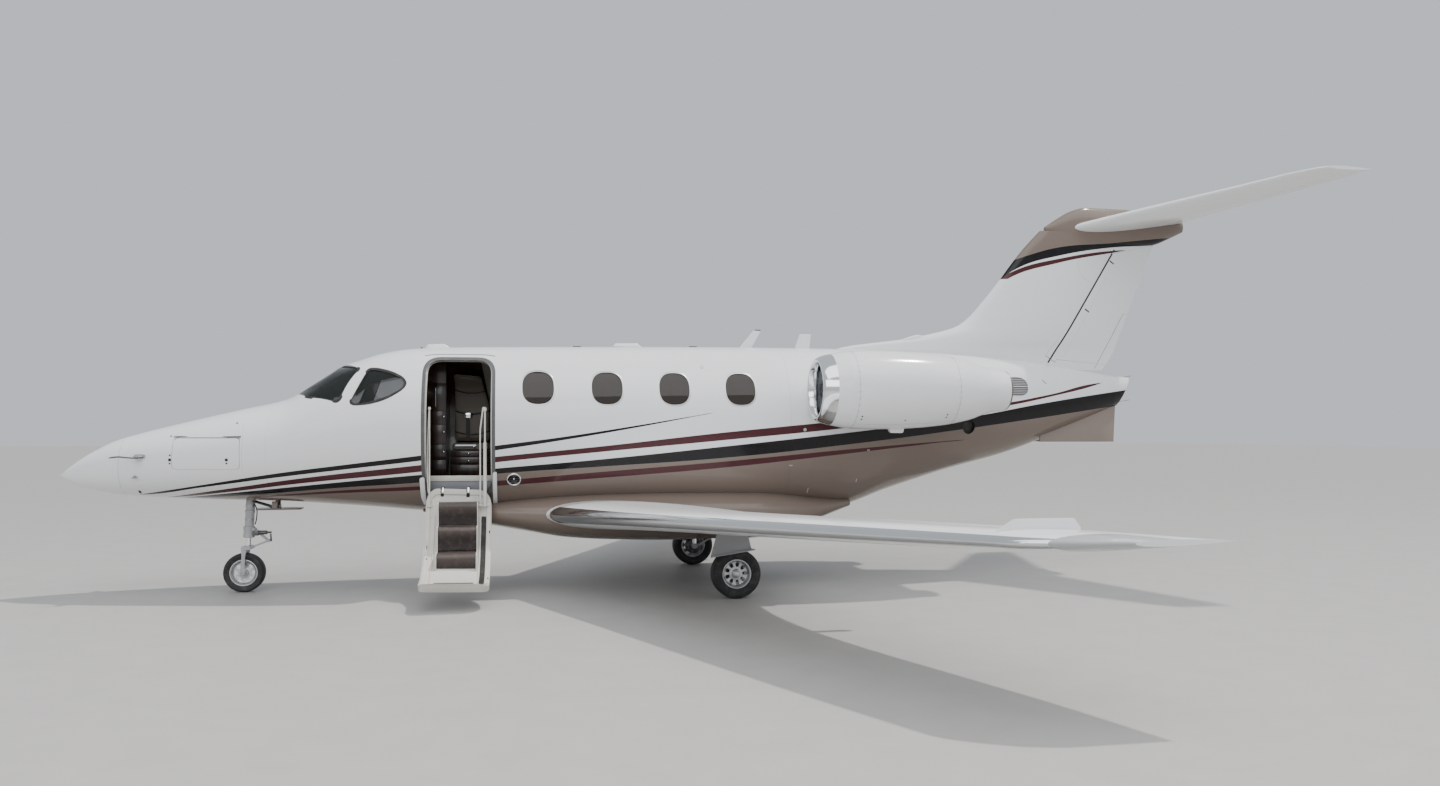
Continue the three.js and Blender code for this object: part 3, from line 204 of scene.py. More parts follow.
def rounded(points, radius, steps=6):
    """A closed outline with its corners rounded, in a plane or in space."""
    points = [Vector(p) for p in points]
    outline = []
    for i, corner in enumerate(points):
        before = points[i - 1]
        after = points[(i + 1) % len(points)]
        inwards = min(radius, (before - corner).length / 2, (after - corner).length / 2)
        a = corner + (before - corner).normalized() * inwards
        b = corner + (after - corner).normalized() * inwards
        for k in range(steps + 1):
            t = k / steps
            outline.append(a.lerp(corner, t).lerp(corner.lerp(b, t), t))
    return [p for i, p in enumerate(outline) if (p - outline[i - 1]).length > 1e-4]


def curved(points, steps=6):
    """An open smooth path through its points."""
    points = [Vector(p) for p in points]
    ends = [points[0] * 2 - points[1], *points, points[-1] * 2 - points[-2]]
    path = []
    for a, b, c, d in zip(ends, ends[1:], ends[2:], ends[3:]):
        for k in range(steps):
            t = k / steps
            path.append(0.5 * ((2 * b) + (c - a) * t + (2 * a - 5 * b + 4 * c - d) * t ** 2
                               + (3 * b - a - 3 * c + d) * t ** 3))
    return [*path, points[-1]]


def set_across(outline, y):
    """An outline in x and z, set at a place across the aircraft."""
    return [(p.x, y, p.z) for p in outline]


def mirrored(shell):
    points, faces = shell
    return [Vector((p[0], -p[1], p[2])) for p in points], [tuple(reversed(face)) for face in faces]


def to_side(shell, side):
    return shell if side == PORT else mirrored(shell)


def sided(shells, side):
    return [to_side(shell, side) for shell in shells]


def moved(shell, matrix):
    """A shell turned or shifted by a matrix."""
    points, faces = shell
    return [matrix @ Vector(p) for p in points], faces


def baked(obj):
    """Applies an object's modifiers and leaves a plain mesh."""
    graph = bpy.context.evaluated_depsgraph_get()
    mesh = bpy.data.meshes.new_from_object(obj.evaluated_get(graph))
    obj.modifiers.clear()
    old = obj.data
    obj.data = mesh
    bpy.data.meshes.remove(old)
    return obj


def outwards(obj):
    """Welds double points and turns every face outwards."""
    shape = bmesh.new()
    shape.from_mesh(obj.data)
    bmesh.ops.remove_doubles(shape, verts=shape.verts, dist=2e-5)
    bmesh.ops.recalc_face_normals(shape, faces=shape.faces)
    shape.to_mesh(obj.data)
    shape.free()
    return obj


def solid(name, shells):
    return outwards(mesh_object(name, *merged(shells)))


def combined_with(obj, tool, operation):
    """Joins, cuts or keeps what an object shares with a tool, which is used up."""
    step = obj.modifiers.new("step", "BOOLEAN")
    step.operation = operation
    step.solver = "EXACT"
    step.object = tool
    baked(obj)
    bpy.data.objects.remove(tool)
    return obj


def combined(obj, shells, operation):
    return combined_with(obj, solid("tool", shells), operation)


def cut(obj, shells):
    return combined(obj, shells, "DIFFERENCE")


def kept(obj, shells):
    return combined(obj, shells, "INTERSECT")


def bevelled(obj, width, segments=2, angle=35):
    edge = obj.modifiers.new("edge", "BEVEL")
    edge.width = width
    edge.segments = segments
    edge.limit_method = "ANGLE"
    edge.angle_limit = math.radians(angle)
    edge.use_clamp_overlap = True
    return baked(obj)


def finished(obj, finish, body="root", slot=None, replaces=(), sharp=32, bevel=0, segments=2):
    """Gives a shape its bevel, its material and its body, and hides the CAD nodes it stands for; the slot is
    not used.
    """
    if bevel:
        bevelled(obj, bevel, segments)
    obj.data.materials.clear()
    obj.data.materials.append(finish)
    obj.data.shade_smooth()
    obj.data.set_sharp_from_angle(angle=math.radians(sharp))
    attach(obj, body)
    if replaces:
        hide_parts(*replaces)
    return obj


def piece(name, shells, finish, *where, **how):
    return finished(solid(name, shells), finish, *where, **how)


def second_finish(obj, finish, test):
    """Gives a second material to the faces whose centre passes the test."""
    obj.data.materials.append(finish)
    for face in obj.data.polygons:
        if test(face.center):
            face.material_index = 1
    return obj


# Smooth tables: every column runs on a curve that never overshoots its rows

class Table:
    def __init__(self, rows):
        self.rows = rows
        self.keys = [row[0] for row in rows]
        self.slopes = [self.column_slopes(k) for k in range(1, len(rows[0]))]

    def column_slopes(self, k):
        rows = self.rows
        steps = [(b[k] - a[k]) / (b[0] - a[0]) for a, b in zip(rows, rows[1:])]
        slopes = [steps[0]]
        for a, b in zip(steps, steps[1:]):
            slopes.append(0 if a * b <= 0 else 2 * a * b / (a + b))
        return [*slopes, steps[-1]]

    def at(self, key):
        key = min(max(key, self.keys[0]), self.keys[-1])
        i = 0
        while i + 2 < len(self.keys) and self.keys[i + 1] < key:
            i += 1
        a, b = self.rows[i], self.rows[i + 1]
        span = b[0] - a[0]
        t = (key - a[0]) / span
        values = []
        for k, slopes in enumerate(self.slopes, start=1):
            values.append((2 * t ** 3 - 3 * t ** 2 + 1) * a[k] + (t ** 3 - 2 * t ** 2 + t) * span * slopes[i]
                          + (3 * t ** 2 - 2 * t ** 3) * b[k] + (t ** 3 - t ** 2) * span * slopes[i + 1])
        return values


def spaced(start, end, step):
    count = max(1, round((end - start) / step))
    return [start + (end - start) * i / count for i in range(count + 1)]


# Fuselage: x, top, bottom, half width, height of the widest line

NOSE_TIP = -7.010
RADOME_END = -6.330
CABIN_FRONT = -4.800
CABIN_REAR = 0.820
WALL = 0.062
HULL_POWER = 2.15
HULL_SEGMENTS = 96
SEARCH = (1.3, -0.45)
HULL = Table([
    (NOSE_TIP, 1.312, 1.288, 0.010, 1.300),
    (-6.930, 1.382, 1.232, 0.080, 1.305),
    (-6.850, 1.445, 1.196, 0.130, 1.318),
    (-6.700, 1.546, 1.148, 0.212, 1.340),
    (-6.450, 1.676, 1.096, 0.318, 1.375),
    (-6.200, 1.755, 1.068, 0.403, 1.405),
    (-5.690, 1.889, 1.042, 0.545, 1.460),
    (-5.168, 2.016, 1.016, 0.655, 1.520),
    (-4.690, 2.134, 0.998, 0.740, 1.590),
    (-4.408, 2.318, 0.978, 0.785, 1.650),
    (-4.125, 2.498, 0.955, 0.822, 1.700),
    (-3.934, 2.570, 0.940, 0.845, 1.730),
    (-3.687, 2.652, 0.918, 0.872, 1.755),
    (-3.410, 2.702, 0.890, 0.893, 1.775),
    (-3.080, 2.724, 0.862, 0.908, 1.790),
    (-2.500, 2.740, 0.826, 0.915, 1.800),
    (0.600, 2.780, 0.808, 0.912, 1.805),
    (1.117, 2.781, 0.812, 0.900, 1.815),
    (1.557, 2.780, 0.850, 0.872, 1.835),
    (2.233, 2.770, 1.068, 0.800, 1.890),
    (3.000, 2.740, 1.297, 0.665, 1.980),
    (3.786, 2.690, 1.496, 0.500, 2.070),
    (4.448, 2.622, 1.725, 0.345, 2.150),
    (5.000, 2.540, 1.942, 0.215, 2.230),
    (5.349, 2.486, 2.086, 0.140, 2.290),
])
TAIL_END = {"foot": 5.369, "head": 5.560, "top": 2.470, "bottom": 2.090, "half": 0.105, "widest": 2.300}


def bowed(value, power):
    """A cosine or sine bent so that a circle becomes fuller."""
    return math.copysign(abs(value) ** (2 / power), value)


def section(x, top, bottom, half, widest, inset=0.0, head=None):
    ring = []
    head = x if head is None else head
    for angle in around(HULL_SEGMENTS):
        across = bowed(math.cos(angle), HULL_POWER)
        up = bowed(math.sin(angle), HULL_POWER)
        reach = top - inset - widest if up > 0 else widest - bottom - inset
        z = widest + reach * up
        lean = (head - x) * ((z - bottom) / (top - bottom))
        ring.append(Vector((x + lean, (half - inset) * across, z)))
    return ring


def hull(start, end, inset=0.0, step=0.06):
    return lofted([section(x, *HULL.at(x), inset) for x in spaced(start, end, step)])


def in_hull(point, inset=0.0):
    """Whether a place is inside the skin, or inside a layer so far under it."""
    top, bottom, half, widest = HULL.at(point.x)
    reach = top - inset - widest if point.z > widest else widest - bottom - inset
    return (abs(point.y) / (half - inset)) ** HULL_POWER + (abs(point.z - widest) / reach) ** HULL_POWER < 1


def onto_hull(point, direction, inset=0.0):
    """The place where a line through a point meets the skin, searched from outside."""
    way = Vector(direction)
    outer, inner = SEARCH
    for _ in range(40):
        middle = (outer + inner) / 2
        if in_hull(point + way * middle, inset):
            inner = middle
        else:
            outer = middle
    return point + way * inner


def on_skin(x, z, inset=0.0):
    """The place on the port flank at x and z, so far under the skin."""
    return onto_hull(Vector((x, 0, z)), TO_PORT, inset)


# Wing and tailplane: y, leading edge x, trailing edge x, leading z, trailing z, thickness

WING = Table([
    (0.500, -2.060, 0.530, 0.852, 0.812, 0.335),
    (0.950, -1.853, 0.552, 0.871, 0.826, 0.305),
    (2.300, -1.232, 0.620, 0.929, 0.888, 0.228),
    (6.300, 0.608, 1.852, 1.099, 1.098, 0.137),
    (6.450, 0.690, 1.898, 1.105, 1.106, 0.128),
    (6.720, 1.105, 1.981, 1.117, 1.122, 0.072),
    (6.780, 1.330, 2.000, 1.121, 1.127, 0.040),
])
TAILPLANE = Table([
    (0.000, 4.698, 6.290, 4.364, 4.494, 0.172),
    (0.700, 5.200, 6.497, 4.456, 4.540, 0.136),
    (1.700, 5.918, 6.793, 4.580, 4.598, 0.088),
    (2.300, 6.348, 6.970, 4.650, 4.642, 0.052),
    (2.400, 6.470, 7.010, 4.656, 4.650, 0.036),
])
# z, leading edge x, trailing edge x, thickness
FIN = Table([
    (2.560, 1.300, 5.200, 0.060),
    (2.790, 1.650, 5.355, 0.120),
    (2.939, 2.626, 5.416, 0.190),
    (3.103, 3.226, 5.486, 0.205),
    (3.424, 3.561, 5.615, 0.198),
    (4.097, 4.104, 5.890, 0.172),
    (4.330, 4.330, 5.984, 0.160),
])
# Bodies: x, top, bottom, half width
BULLET = Table([
    (4.400, 4.385, 4.330, 0.028),
    (4.560, 4.490, 4.240, 0.066),
    (4.760, 4.600, 4.190, 0.096),
    (4.960, 4.651, 4.172, 0.116),
    (5.500, 4.648, 4.172, 0.132),
    (5.900, 4.616, 4.196, 0.120),
    (6.180, 4.566, 4.300, 0.082),
    (6.351, 4.512, 4.381, 0.030),
])
BELLY = Table([
    (-3.250, 0.905, 0.862, 0.220),
    (-2.800, 0.985, 0.768, 0.560),
    (-2.419, 1.040, 0.694, 0.700),
    (-2.053, 1.080, 0.626, 0.800),
    (-1.681, 1.110, 0.562, 0.870),
    (-1.200, 1.130, 0.528, 0.920),
    (-0.425, 1.140, 0.507, 0.940),
    (0.450, 1.130, 0.510, 0.930),
    (0.800, 1.100, 0.575, 0.880),
    (1.200, 1.040, 0.705, 0.730),
    (1.650, 1.000, 0.856, 0.480),
])
BODY_SEGMENTS = 64
CHORD_COUNT = 22
EDGE_SHARE = 0.02
GAP = 0.006

# Hinge lines: y and x of both ends
WING_LINES = {
    "aileron": {"a": (4.420, 0.935), "b": (6.240, 1.520)},
    "flap_inner": {"a": (0.985, 0.222), "b": (2.270, 0.266)},
    "flap_outer": {"a": (2.330, 0.280), "b": (4.370, 0.900)},
}
ELEVATOR = {"a": (0.190, 5.905), "b": (2.290, 6.826)}
ELEVATOR_GAP = 1.6 * GAP
RUDDER = {"low": (4.468, 2.700), "high": (5.312, 4.060), "low_radius": 0.080, "high_radius": 0.062}


def thickness_at(u):
    shape = 0.2969 * math.sqrt(u) - 0.126 * u - 0.3516 * u ** 2 + 0.2843 * u ** 3 - 0.1036 * u ** 4
    return shape / 0.2 + EDGE_SHARE * u


def chord_steps():
    steps = [(1 - math.cos(math.pi * i / CHORD_COUNT)) / 2 for i in range(CHORD_COUNT + 1)]
    upper = [(u, thickness_at(u)) for u in reversed(steps)]
    lower = [(u, -thickness_at(u)) for u in steps[1:]]
    return upper + lower


SECTION = chord_steps()


def wing_ring(y, row):
    """The section of a wing or tailplane at a place out from the centreline."""
    lead, trail, lead_z, trail_z, thick = row
    return [Vector((lead + u * (trail - lead), -y,
                    lead_z + u * (trail_z - lead_z) + t * thick)) for u, t in SECTION]


def fin_ring(z, row):
    lead, trail, thick = row
    return [Vector((lead + u * (trail - lead), t * thick, z)) for u, t in SECTION]


def body_ring(x, row, power, inset=0.0):
    top, bottom, half = row
    middle = (top + bottom) / 2
    ring = []
    for angle in around(BODY_SEGMENTS):
        ring.append(Vector((x, (half - inset) * bowed(math.cos(angle), power),
                            middle + ((top - bottom) / 2 - inset) * bowed(math.sin(angle), power))))
    return ring


def wing_steps():
    return [*spaced(0.5, 6.3, 0.2), 6.36, 6.42, 6.48, 6.54, 6.6, 6.65, 6.69, 6.72, 6.745, 6.765, 6.78]


def wing_shell():
    return lofted([wing_ring(y, WING.at(y)) for y in wing_steps()])


def tailplane_shell():
    steps = [*spaced(0, 2.3, 0.2), 2.33, 2.36, 2.385, 2.4]
    return lofted([wing_ring(y, TAILPLANE.at(y)) for y in steps])


def plane_at(table, y, x):
    """Centre height and half thickness of a wing or tailplane at a place."""
    lead, trail, lead_z, trail_z, thick = table.at(y)
    u = (x - lead) / (trail - lead)
    return lead_z + u * (trail_z - lead_z), thickness_at(u) * thick


def hinge_region(table, line, grow):
    """The room behind a hinge line, with a rounded front; line ends are (y, x)."""
    ends = []
    for y, x in (line["a"], line["b"]):
        z, half = plane_at(table, y, x)
        ends.append((Vector((x, -y, z)), half))
    unit = (ends[1][0] - ends[0][0]).normalized()
    p = ends[0][0] - unit * grow
    q = ends[1][0] + unit * grow
    outline = [(p.x - grow, p.y, 0), (p.x + 0.9, p.y, 0), (q.x + 0.9, q.y, 0), (q.x - grow, q.y, 0)]
    length = (q - p).length
    nose = turned([(0, ends[0][1] + grow), (length, ends[1][1] + grow)], p, q - p, 48)
    return prism(outline, UP, 0.5, 5), nose


def hinge_room(name, table, line, grow, side):
    """The room behind a hinge line on one side, as one object."""
    block, nose = hinge_region(table, line, grow)
    return combined(solid(name, [to_side(block, side)]), [to_side(nose, side)], "UNION")


def cut_by_objects(obj, tools):
    for tool in tools:
        combined_with(obj, tool, "DIFFERENCE")


# Finishes

class Finish:
    """A material whose nodes are added one by one."""

    def __init__(self, name, colour, rough, metal=0.0, **values):
        self.material = bpy.data.materials.new(name)
        self.material.use_nodes = True
        self.tree = self.material.node_tree
        self.shader = self.tree.nodes["Principled BSDF"]
        self.set("Base Color", (*colour, 1))
        self.set("Roughness", rough)
        self.set("Metallic", metal)
        for key, value in values.items():
            self.set(key.replace("_", " ").title(), value)
        self.place = self.tree.nodes.new("ShaderNodeTexCoord").outputs["Object"]

    def set(self, socket, value):
        self.shader.inputs[socket].default_value = value

    def add(self, kind, settings=None, **inputs):
        return node(self.tree, kind, settings, **inputs)

    def group(self, name, **inputs):
        step = self.tree.nodes.new("ShaderNodeGroup")
        step.node_tree = bpy.data.node_groups[name]
        fill(self.tree, step, inputs)
        return step

    def feed(self, socket, output):
        self.tree.links.new(output, self.shader.inputs[socket])

    def sprayed(self, **values):
        """Uneven tone and gloss with a little dust; gives the height for the bump."""
        surface = self.group("sprayed_surface", Place=self.place, **values)
        self.feed("Base Color", surface.outputs["Colour"])
        self.feed("Roughness", surface.outputs["Roughness"])
        return surface.outputs["Height"]

    def bump(self, height, distance, strength):
        step = self.add("ShaderNodeBump", Height=height, Distance=distance, Strength=strength)
        self.feed("Normal", step.outputs["Normal"])


def fill(tree, step, inputs):
    for key, value in inputs.items():
        socket = step.inputs[int(key[1:])] if key[0] == "_" else step.inputs[key.replace("_", " ")]
        if isinstance(value, bpy.types.NodeSocket):
            tree.links.new(value, socket)
        else:
            socket.default_value = value


def node(tree, kind, settings=None, **inputs):
    step = tree.nodes.new(kind)
    for key, value in (settings or {}).items():
        setattr(step, key, value)
    fill(tree, step, inputs)
    return step


def maths(tree, operation, *values, clamp=False):
    step = tree.nodes.new("ShaderNodeMath")
    step.operation = operation
    step.use_clamp = clamp
    fill(tree, step, {f"_{i}": value for i, value in enumerate(values)})
    return step.outputs[0]


def smooth_step(tree, value, start, end):
    step = node(tree, "ShaderNodeMapRange", {"interpolation_type": "SMOOTHSTEP"}, Value=value)
    step.inputs["From Min"].default_value = start
    step.inputs["From Max"].default_value = end
    return step.outputs["Result"]


def mixed(tree, share, a, b):
    step = tree.nodes.new("ShaderNodeMix")
    step.data_type = "RGBA"
    tree.links.new(share, step.inputs["Factor"])
    for socket, value in ((step.inputs[6], a), (step.inputs[7], b)):
        if isinstance(value, bpy.types.NodeSocket):
            tree.links.new(value, socket)
        else:
            socket.default_value = (*value, 1)
    return step.outputs[2]


def new_group(name, inputs, outputs):
    group = bpy.data.node_groups.new(name, "ShaderNodeTree")
    for label, kind, value in inputs:
        socket = group.interface.new_socket(label, in_out="INPUT", socket_type=kind)
        if value is not None:
            socket.default_value = value
    for label, kind in outputs:
        group.interface.new_socket(label, in_out="OUTPUT", socket_type=kind)
    start = group.nodes.new("NodeGroupInput")
    end = group.nodes.new("NodeGroupOutput")
    return group, start, end


FLOAT, COLOUR, VECTOR = "NodeSocketFloat", "NodeSocketColor", "NodeSocketVector"
DUST = (0.42, 0.38, 0.33)


def make_wear_group():
    """Uneven gloss and tone, faint dust and the fine unevenness of sprayed paint."""
    group, start, end = new_group(
        "sprayed_surface",
        [("Place", VECTOR, None), ("Colour", COLOUR, (0.8, 0.8, 0.8, 1)), ("Roughness", FLOAT, 0.2),
         ("Variation", FLOAT, 0.04), ("Dust", FLOAT, 0.1), ("Grain", FLOAT, 400.0)],
        [("Colour", COLOUR), ("Roughness", FLOAT), ("Height", FLOAT)])
    place = start.outputs["Place"]
    broad = node(group, "ShaderNodeTexNoise", Vector=place, Scale=1.6, Detail=4.0,
                 Roughness=0.6).outputs["Fac"]
    patchy = node(group, "ShaderNodeTexNoise", Vector=place, Scale=14.0, Detail=5.0,
                  Roughness=0.7).outputs["Fac"]
    fine = node(group, "ShaderNodeTexNoise", Vector=place, Scale=start.outputs["Grain"],
                Detail=2.0).outputs["Fac"]
    tone = maths(group, "MULTIPLY", maths(group, "SUBTRACT", broad, 0.5), start.outputs["Variation"])
    value = node(group, "ShaderNodeHueSaturation", Color=start.outputs["Colour"],
                 Value=maths(group, "ADD", tone, 1.0)).outputs["Color"]
    dust = maths(group, "MULTIPLY", smooth_step(group, patchy, 0.45, 0.75), start.outputs["Dust"])
    group.links.new(mixed(group, dust, value, DUST), end.inputs["Colour"])
    gloss = maths(group, "ADD", start.outputs["Roughness"], maths(group, "MULTIPLY", patchy, 0.06))
    group.links.new(maths(group, "ADD", gloss, maths(group, "MULTIPLY", dust, 0.5)), end.inputs["Roughness"])
    group.links.new(fine, end.inputs["Height"])


def curve_between(tree, value, rows, low, high):
    """A painted line's height at each place along: rows of (along, height)."""
    start, end = rows[0][0], rows[-1][0]
    share = maths(tree, "DIVIDE", maths(tree, "SUBTRACT", value, start), end - start)
    step = node(tree, "ShaderNodeFloatCurve", Value=share)
    line = step.mapping.curves[0]
    for i, (along, height) in enumerate(rows):
        spot = ((along - start) / (end - start), (height - low) / (high - low))
        if i in (0, len(rows) - 1):
            line.points[0 if i == 0 else len(line.points) - 1].location = spot
        else:
            line.points.new(*spot)
    step.mapping.update()
    return maths(tree, "ADD", maths(tree, "MULTIPLY", step.outputs["Value"], high - low), low)


WHITE = (0.80, 0.81, 0.82)
TAUPE = (0.190, 0.150, 0.126)
BLACK = (0.006, 0.005, 0.006)
MAROON = (0.062, 0.014, 0.018)

# Painted lines: colour, upper edge and lower edge as rows of (x, height)
HULL_LINES = [
    (BLACK,
     [(-6.25, 1.09), (-6.10, 1.110), (-5.50, 1.203), (-4.66, 1.335), (-3.94, 1.427), (-3.18, 1.521),
      (-2.46, 1.616), (-1.76, 1.707), (-0.89, 1.842), (-0.30, 1.941), (-0.05, 1.981), (0.2, 1.99)],
     [(-6.25, 1.10), (-6.10, 1.098), (-5.50, 1.178), (-4.66, 1.291), (-3.94, 1.377), (-3.18, 1.466),
      (-2.46, 1.566), (-1.76, 1.672), (-0.89, 1.822), (-0.30, 1.934), (-0.05, 1.983), (0.2, 2.05)]),
    (MAROON,
     [(-6.10, 1.04), (-5.93, 1.062), (-5.20, 1.168), (-4.47, 1.274), (-3.19, 1.418), (-2.46, 1.497),
      (-1.33, 1.607), (0.0, 1.754), (1.56, 1.905), (3.5, 2.102), (4.27, 2.228), (5.10, 2.392), (5.25, 2.40)],
     [(-6.10, 1.05), (-5.93, 1.056), (-5.20, 1.130), (-4.47, 1.220), (-3.19, 1.346), (-2.46, 1.437),
      (-1.33, 1.547), (0.0, 1.669), (1.56, 1.820), (3.5, 2.062), (4.27, 2.200), (5.10, 2.390), (5.25, 2.46)]),
    (BLACK,
     [(-6.0, 1.035), (-4.90, 1.146), (-4.06, 1.232), (-3.19, 1.312), (-2.45, 1.372), (-1.33, 1.465),
      (0.0, 1.598), (1.56, 1.764), (3.13, 1.949), (4.11, 2.109), (5.41, 2.294), (5.7, 2.33)],
     [(-6.0, 1.030), (-4.90, 1.100), (-4.06, 1.170), (-3.19, 1.228), (-2.45, 1.312), (-1.33, 1.384),
      (0.0, 1.470), (1.56, 1.627), (3.13, 1.812), (4.11, 1.936), (5.41, 2.105), (5.7, 2.14)]),
]
TAUPE_TOP = HULL_LINES[2][2]
LOW_MAROON = (
    MAROON,
    [(-4.9, 1.075), (-4.6, 1.100), (-4.06, 1.140), (-3.19, 1.186), (-2.45, 1.235), (-1.32, 1.326),
     (0.0, 1.429), (1.56, 1.569), (2.7, 1.652), (3.05, 1.672), (3.3, 1.68)],
    [(-4.9, 1.062), (-4.6, 1.082), (-4.06, 1.110), (-3.19, 1.142), (-2.45, 1.180), (-1.32, 1.259),
     (0.0, 1.361), (1.56, 1.523), (2.7, 1.640), (3.05, 1.671), (3.3, 1.75)])
FIN_LINES = [
    (BLACK,
     [(3.7, 3.84), (4.16, 4.010), (4.565, 4.118), (5.263, 4.193), (6.05, 4.285), (6.4, 4.33)],
     [(3.7, 3.60), (4.04, 3.856), (4.565, 4.010), (5.263, 4.135), (5.88, 4.194), (6.4, 4.25)]),
    (MAROON,
     [(3.7, 3.62), (3.95, 3.801), (4.565, 3.972), (5.476, 4.115), (5.7, 4.12), (6.4, 4.12)],
     [(3.7, 3.50), (3.87, 3.698), (4.565, 3.921), (5.476, 4.107), (5.7, 4.16), (6.4, 4.20)]),
]
HULL_RANGE = (0.9, 2.6)
FIN_RANGE = (3.4, 4.7)
EDGE_SOFT = 0.0015
SEAM_COLOUR = (0.03, 0.03, 0.032)


def line_mask(tree, along, height, upper, lower, low, high):
    above = maths(tree, "SUBTRACT", height, curve_between(tree, along, lower, low, high))
    below = maths(tree, "SUBTRACT", curve_between(tree, along, upper, low, high), height)
    return maths(tree, "MULTIPLY", smooth_step(tree, above, -EDGE_SOFT, EDGE_SOFT),
                 smooth_step(tree, below, -EDGE_SOFT, EDGE_SOFT))


# Seams and slots: x and z of both ends, half width, strength
SEAMS = {
    "fuselage": [(-5.037, 1.36, -5.037, 1.83, 0.0016, 0.45), (-6.329, 1.00, -6.329, 1.75, 0.0014, 0.35),
                 (0.82, 1.10, 0.82, 2.30, 0.0012, 0.22), (4.18, 2.405, 4.23, 2.365, 0.006, 0.8),
                 (3.62, 2.19, 3.93, 2.19, 0.0012, 0.25), (-1.745, 2.02, 0.03, 2.02, 0.0010, 0.12)],
    "fin": [(4.440, 2.655, 5.340, 4.105, 0.013, 1.0), (4.640, 2.715, 5.235, 3.757, 0.0016, 0.35),
            (5.097, 2.585, 5.494, 3.289, 0.0040, 0.75), (5.494, 3.289, 5.70, 3.315, 0.0025, 0.6),
            (5.285, 3.966, 5.335, 3.934, 0.010, 1.0), (4.930, 3.338, 4.980, 3.304, 0.010, 1.0)],
}
# The height over which the fin's lines begin, and the round panel: x, z and radius, and where it ends
FIN_BAND = (3.694, 3.700)
FIN_PANEL = (5.034, 3.905, 0.216)
FIN_PANEL_EDGE = (0.62, 2.755)


def make_seam_group():
    """How much a place is on a thin line between two points, seen from the side."""
    group, start, end = new_group("thin_line",
                                  [("Place", VECTOR, None), ("From", VECTOR, None), ("To", VECTOR, None),
                                   ("Width", FLOAT, 0.001)], [("Mask", FLOAT)])

    def vector(operation, *values):
        return node(group, "ShaderNodeVectorMath", {"operation": operation},
                    **{f"_{i}": value for i, value in enumerate(values)})
    flat = vector("MULTIPLY", start.outputs["Place"], (1, 0, 1)).outputs["Vector"]
    reach = vector("SUBTRACT", flat, start.outputs["From"]).outputs["Vector"]
    line = vector("SUBTRACT", start.outputs["To"], start.outputs["From"]).outputs["Vector"]
    share = maths(group, "DIVIDE", vector("DOT_PRODUCT", reach, line).outputs["Value"],
                  vector("DOT_PRODUCT", line, line).outputs["Value"], clamp=True)
    near = node(group, "ShaderNodeVectorMath", {"operation": "SCALE"}, _0=line, Scale=share).outputs["Vector"]
    away = vector("DISTANCE", reach, near).outputs["Value"]
    inside = maths(group, "DIVIDE", away, start.outputs["Width"])
    group.links.new(maths(group, "SUBTRACT", 1.0, smooth_step(group, inside, 0.7, 1.1)), end.inputs["Mask"])


def seamed(group, place, colour, rows):
    for x0, z0, x1, z1, width, strength in rows:
        step = group.nodes.new("ShaderNodeGroup")
        step.node_tree = bpy.data.node_groups["thin_line"]
        fill(group, step, {"Place": place, "From": (x0, 0, z0), "To": (x1, 0, z1), "Width": width})
        colour = mixed(group, maths(group, "MULTIPLY", step.outputs["Mask"], strength), colour, SEAM_COLOUR)
    return colour


def make_livery_group():
    """The fuselage's colours by place: white above, lines between, taupe below."""
    group, start, end = new_group("fuselage_colours", [("Place", VECTOR, None)], [("Colour", COLOUR)])
    split = node(group, "ShaderNodeSeparateXYZ", Vector=start.outputs["Place"])
    x, z = split.outputs["X"], split.outputs["Z"]
    below = maths(group, "SUBTRACT", curve_between(group, x, TAUPE_TOP, *HULL_RANGE), z)
    colour = mixed(group, smooth_step(group, below, -EDGE_SOFT, EDGE_SOFT), WHITE, TAUPE)
    for paint, upper, lower in [*HULL_LINES, LOW_MAROON]:
        colour = mixed(group, line_mask(group, x, z, upper, lower, *HULL_RANGE), colour, paint)
    colour = seamed(group, start.outputs["Place"], colour, SEAMS["fuselage"])
    group.links.new(colour, end.inputs["Colour"])


def make_fin_group():
    group, start, end = new_group("fin_colours", [("Place", VECTOR, None)], [("Colour", COLOUR)])
    split = node(group, "ShaderNodeSeparateXYZ", Vector=start.outputs["Place"])
    x, z = split.outputs["X"], split.outputs["Z"]
    above = maths(group, "SUBTRACT", z, curve_between(group, x, FIN_LINES[0][1], *FIN_RANGE))
    colour = mixed(group, smooth_step(group, above, -EDGE_SOFT, EDGE_SOFT), WHITE, TAUPE)
    for paint, upper, lower in FIN_LINES:
        colour = mixed(group, line_mask(group, x, z, upper, lower, *FIN_RANGE), colour, paint)
    colour = mixed(group, smooth_step(group, z, *FIN_BAND), WHITE, colour)
    colour = seamed(group, start.outputs["Place"], colour, SEAMS["fin"])
    cx, cz, radius = FIN_PANEL
    far = maths(group, "SQRT",
                maths(group, "ADD", maths(group, "POWER", maths(group, "SUBTRACT", x, cx), 2.0),
                      maths(group, "POWER", maths(group, "SUBTRACT", z, cz), 2.0)))
    ring = maths(group, "SUBTRACT", 1.0,
                 smooth_step(group, maths(group, "ABSOLUTE", maths(group, "SUBTRACT", far, radius)),
                             0.0008, 0.0020))
    slope, edge = FIN_PANEL_EDGE
    ahead = maths(group, "LESS_THAN", maths(group, "SUBTRACT", x, maths(group, "MULTIPLY", z, slope)), edge)
    share = maths(group, "MULTIPLY", maths(group, "MULTIPLY", ring, ahead), 0.5)
    colour = mixed(group, share, colour, (0.06, 0.06, 0.06))
    group.links.new(colour, end.inputs["Colour"])


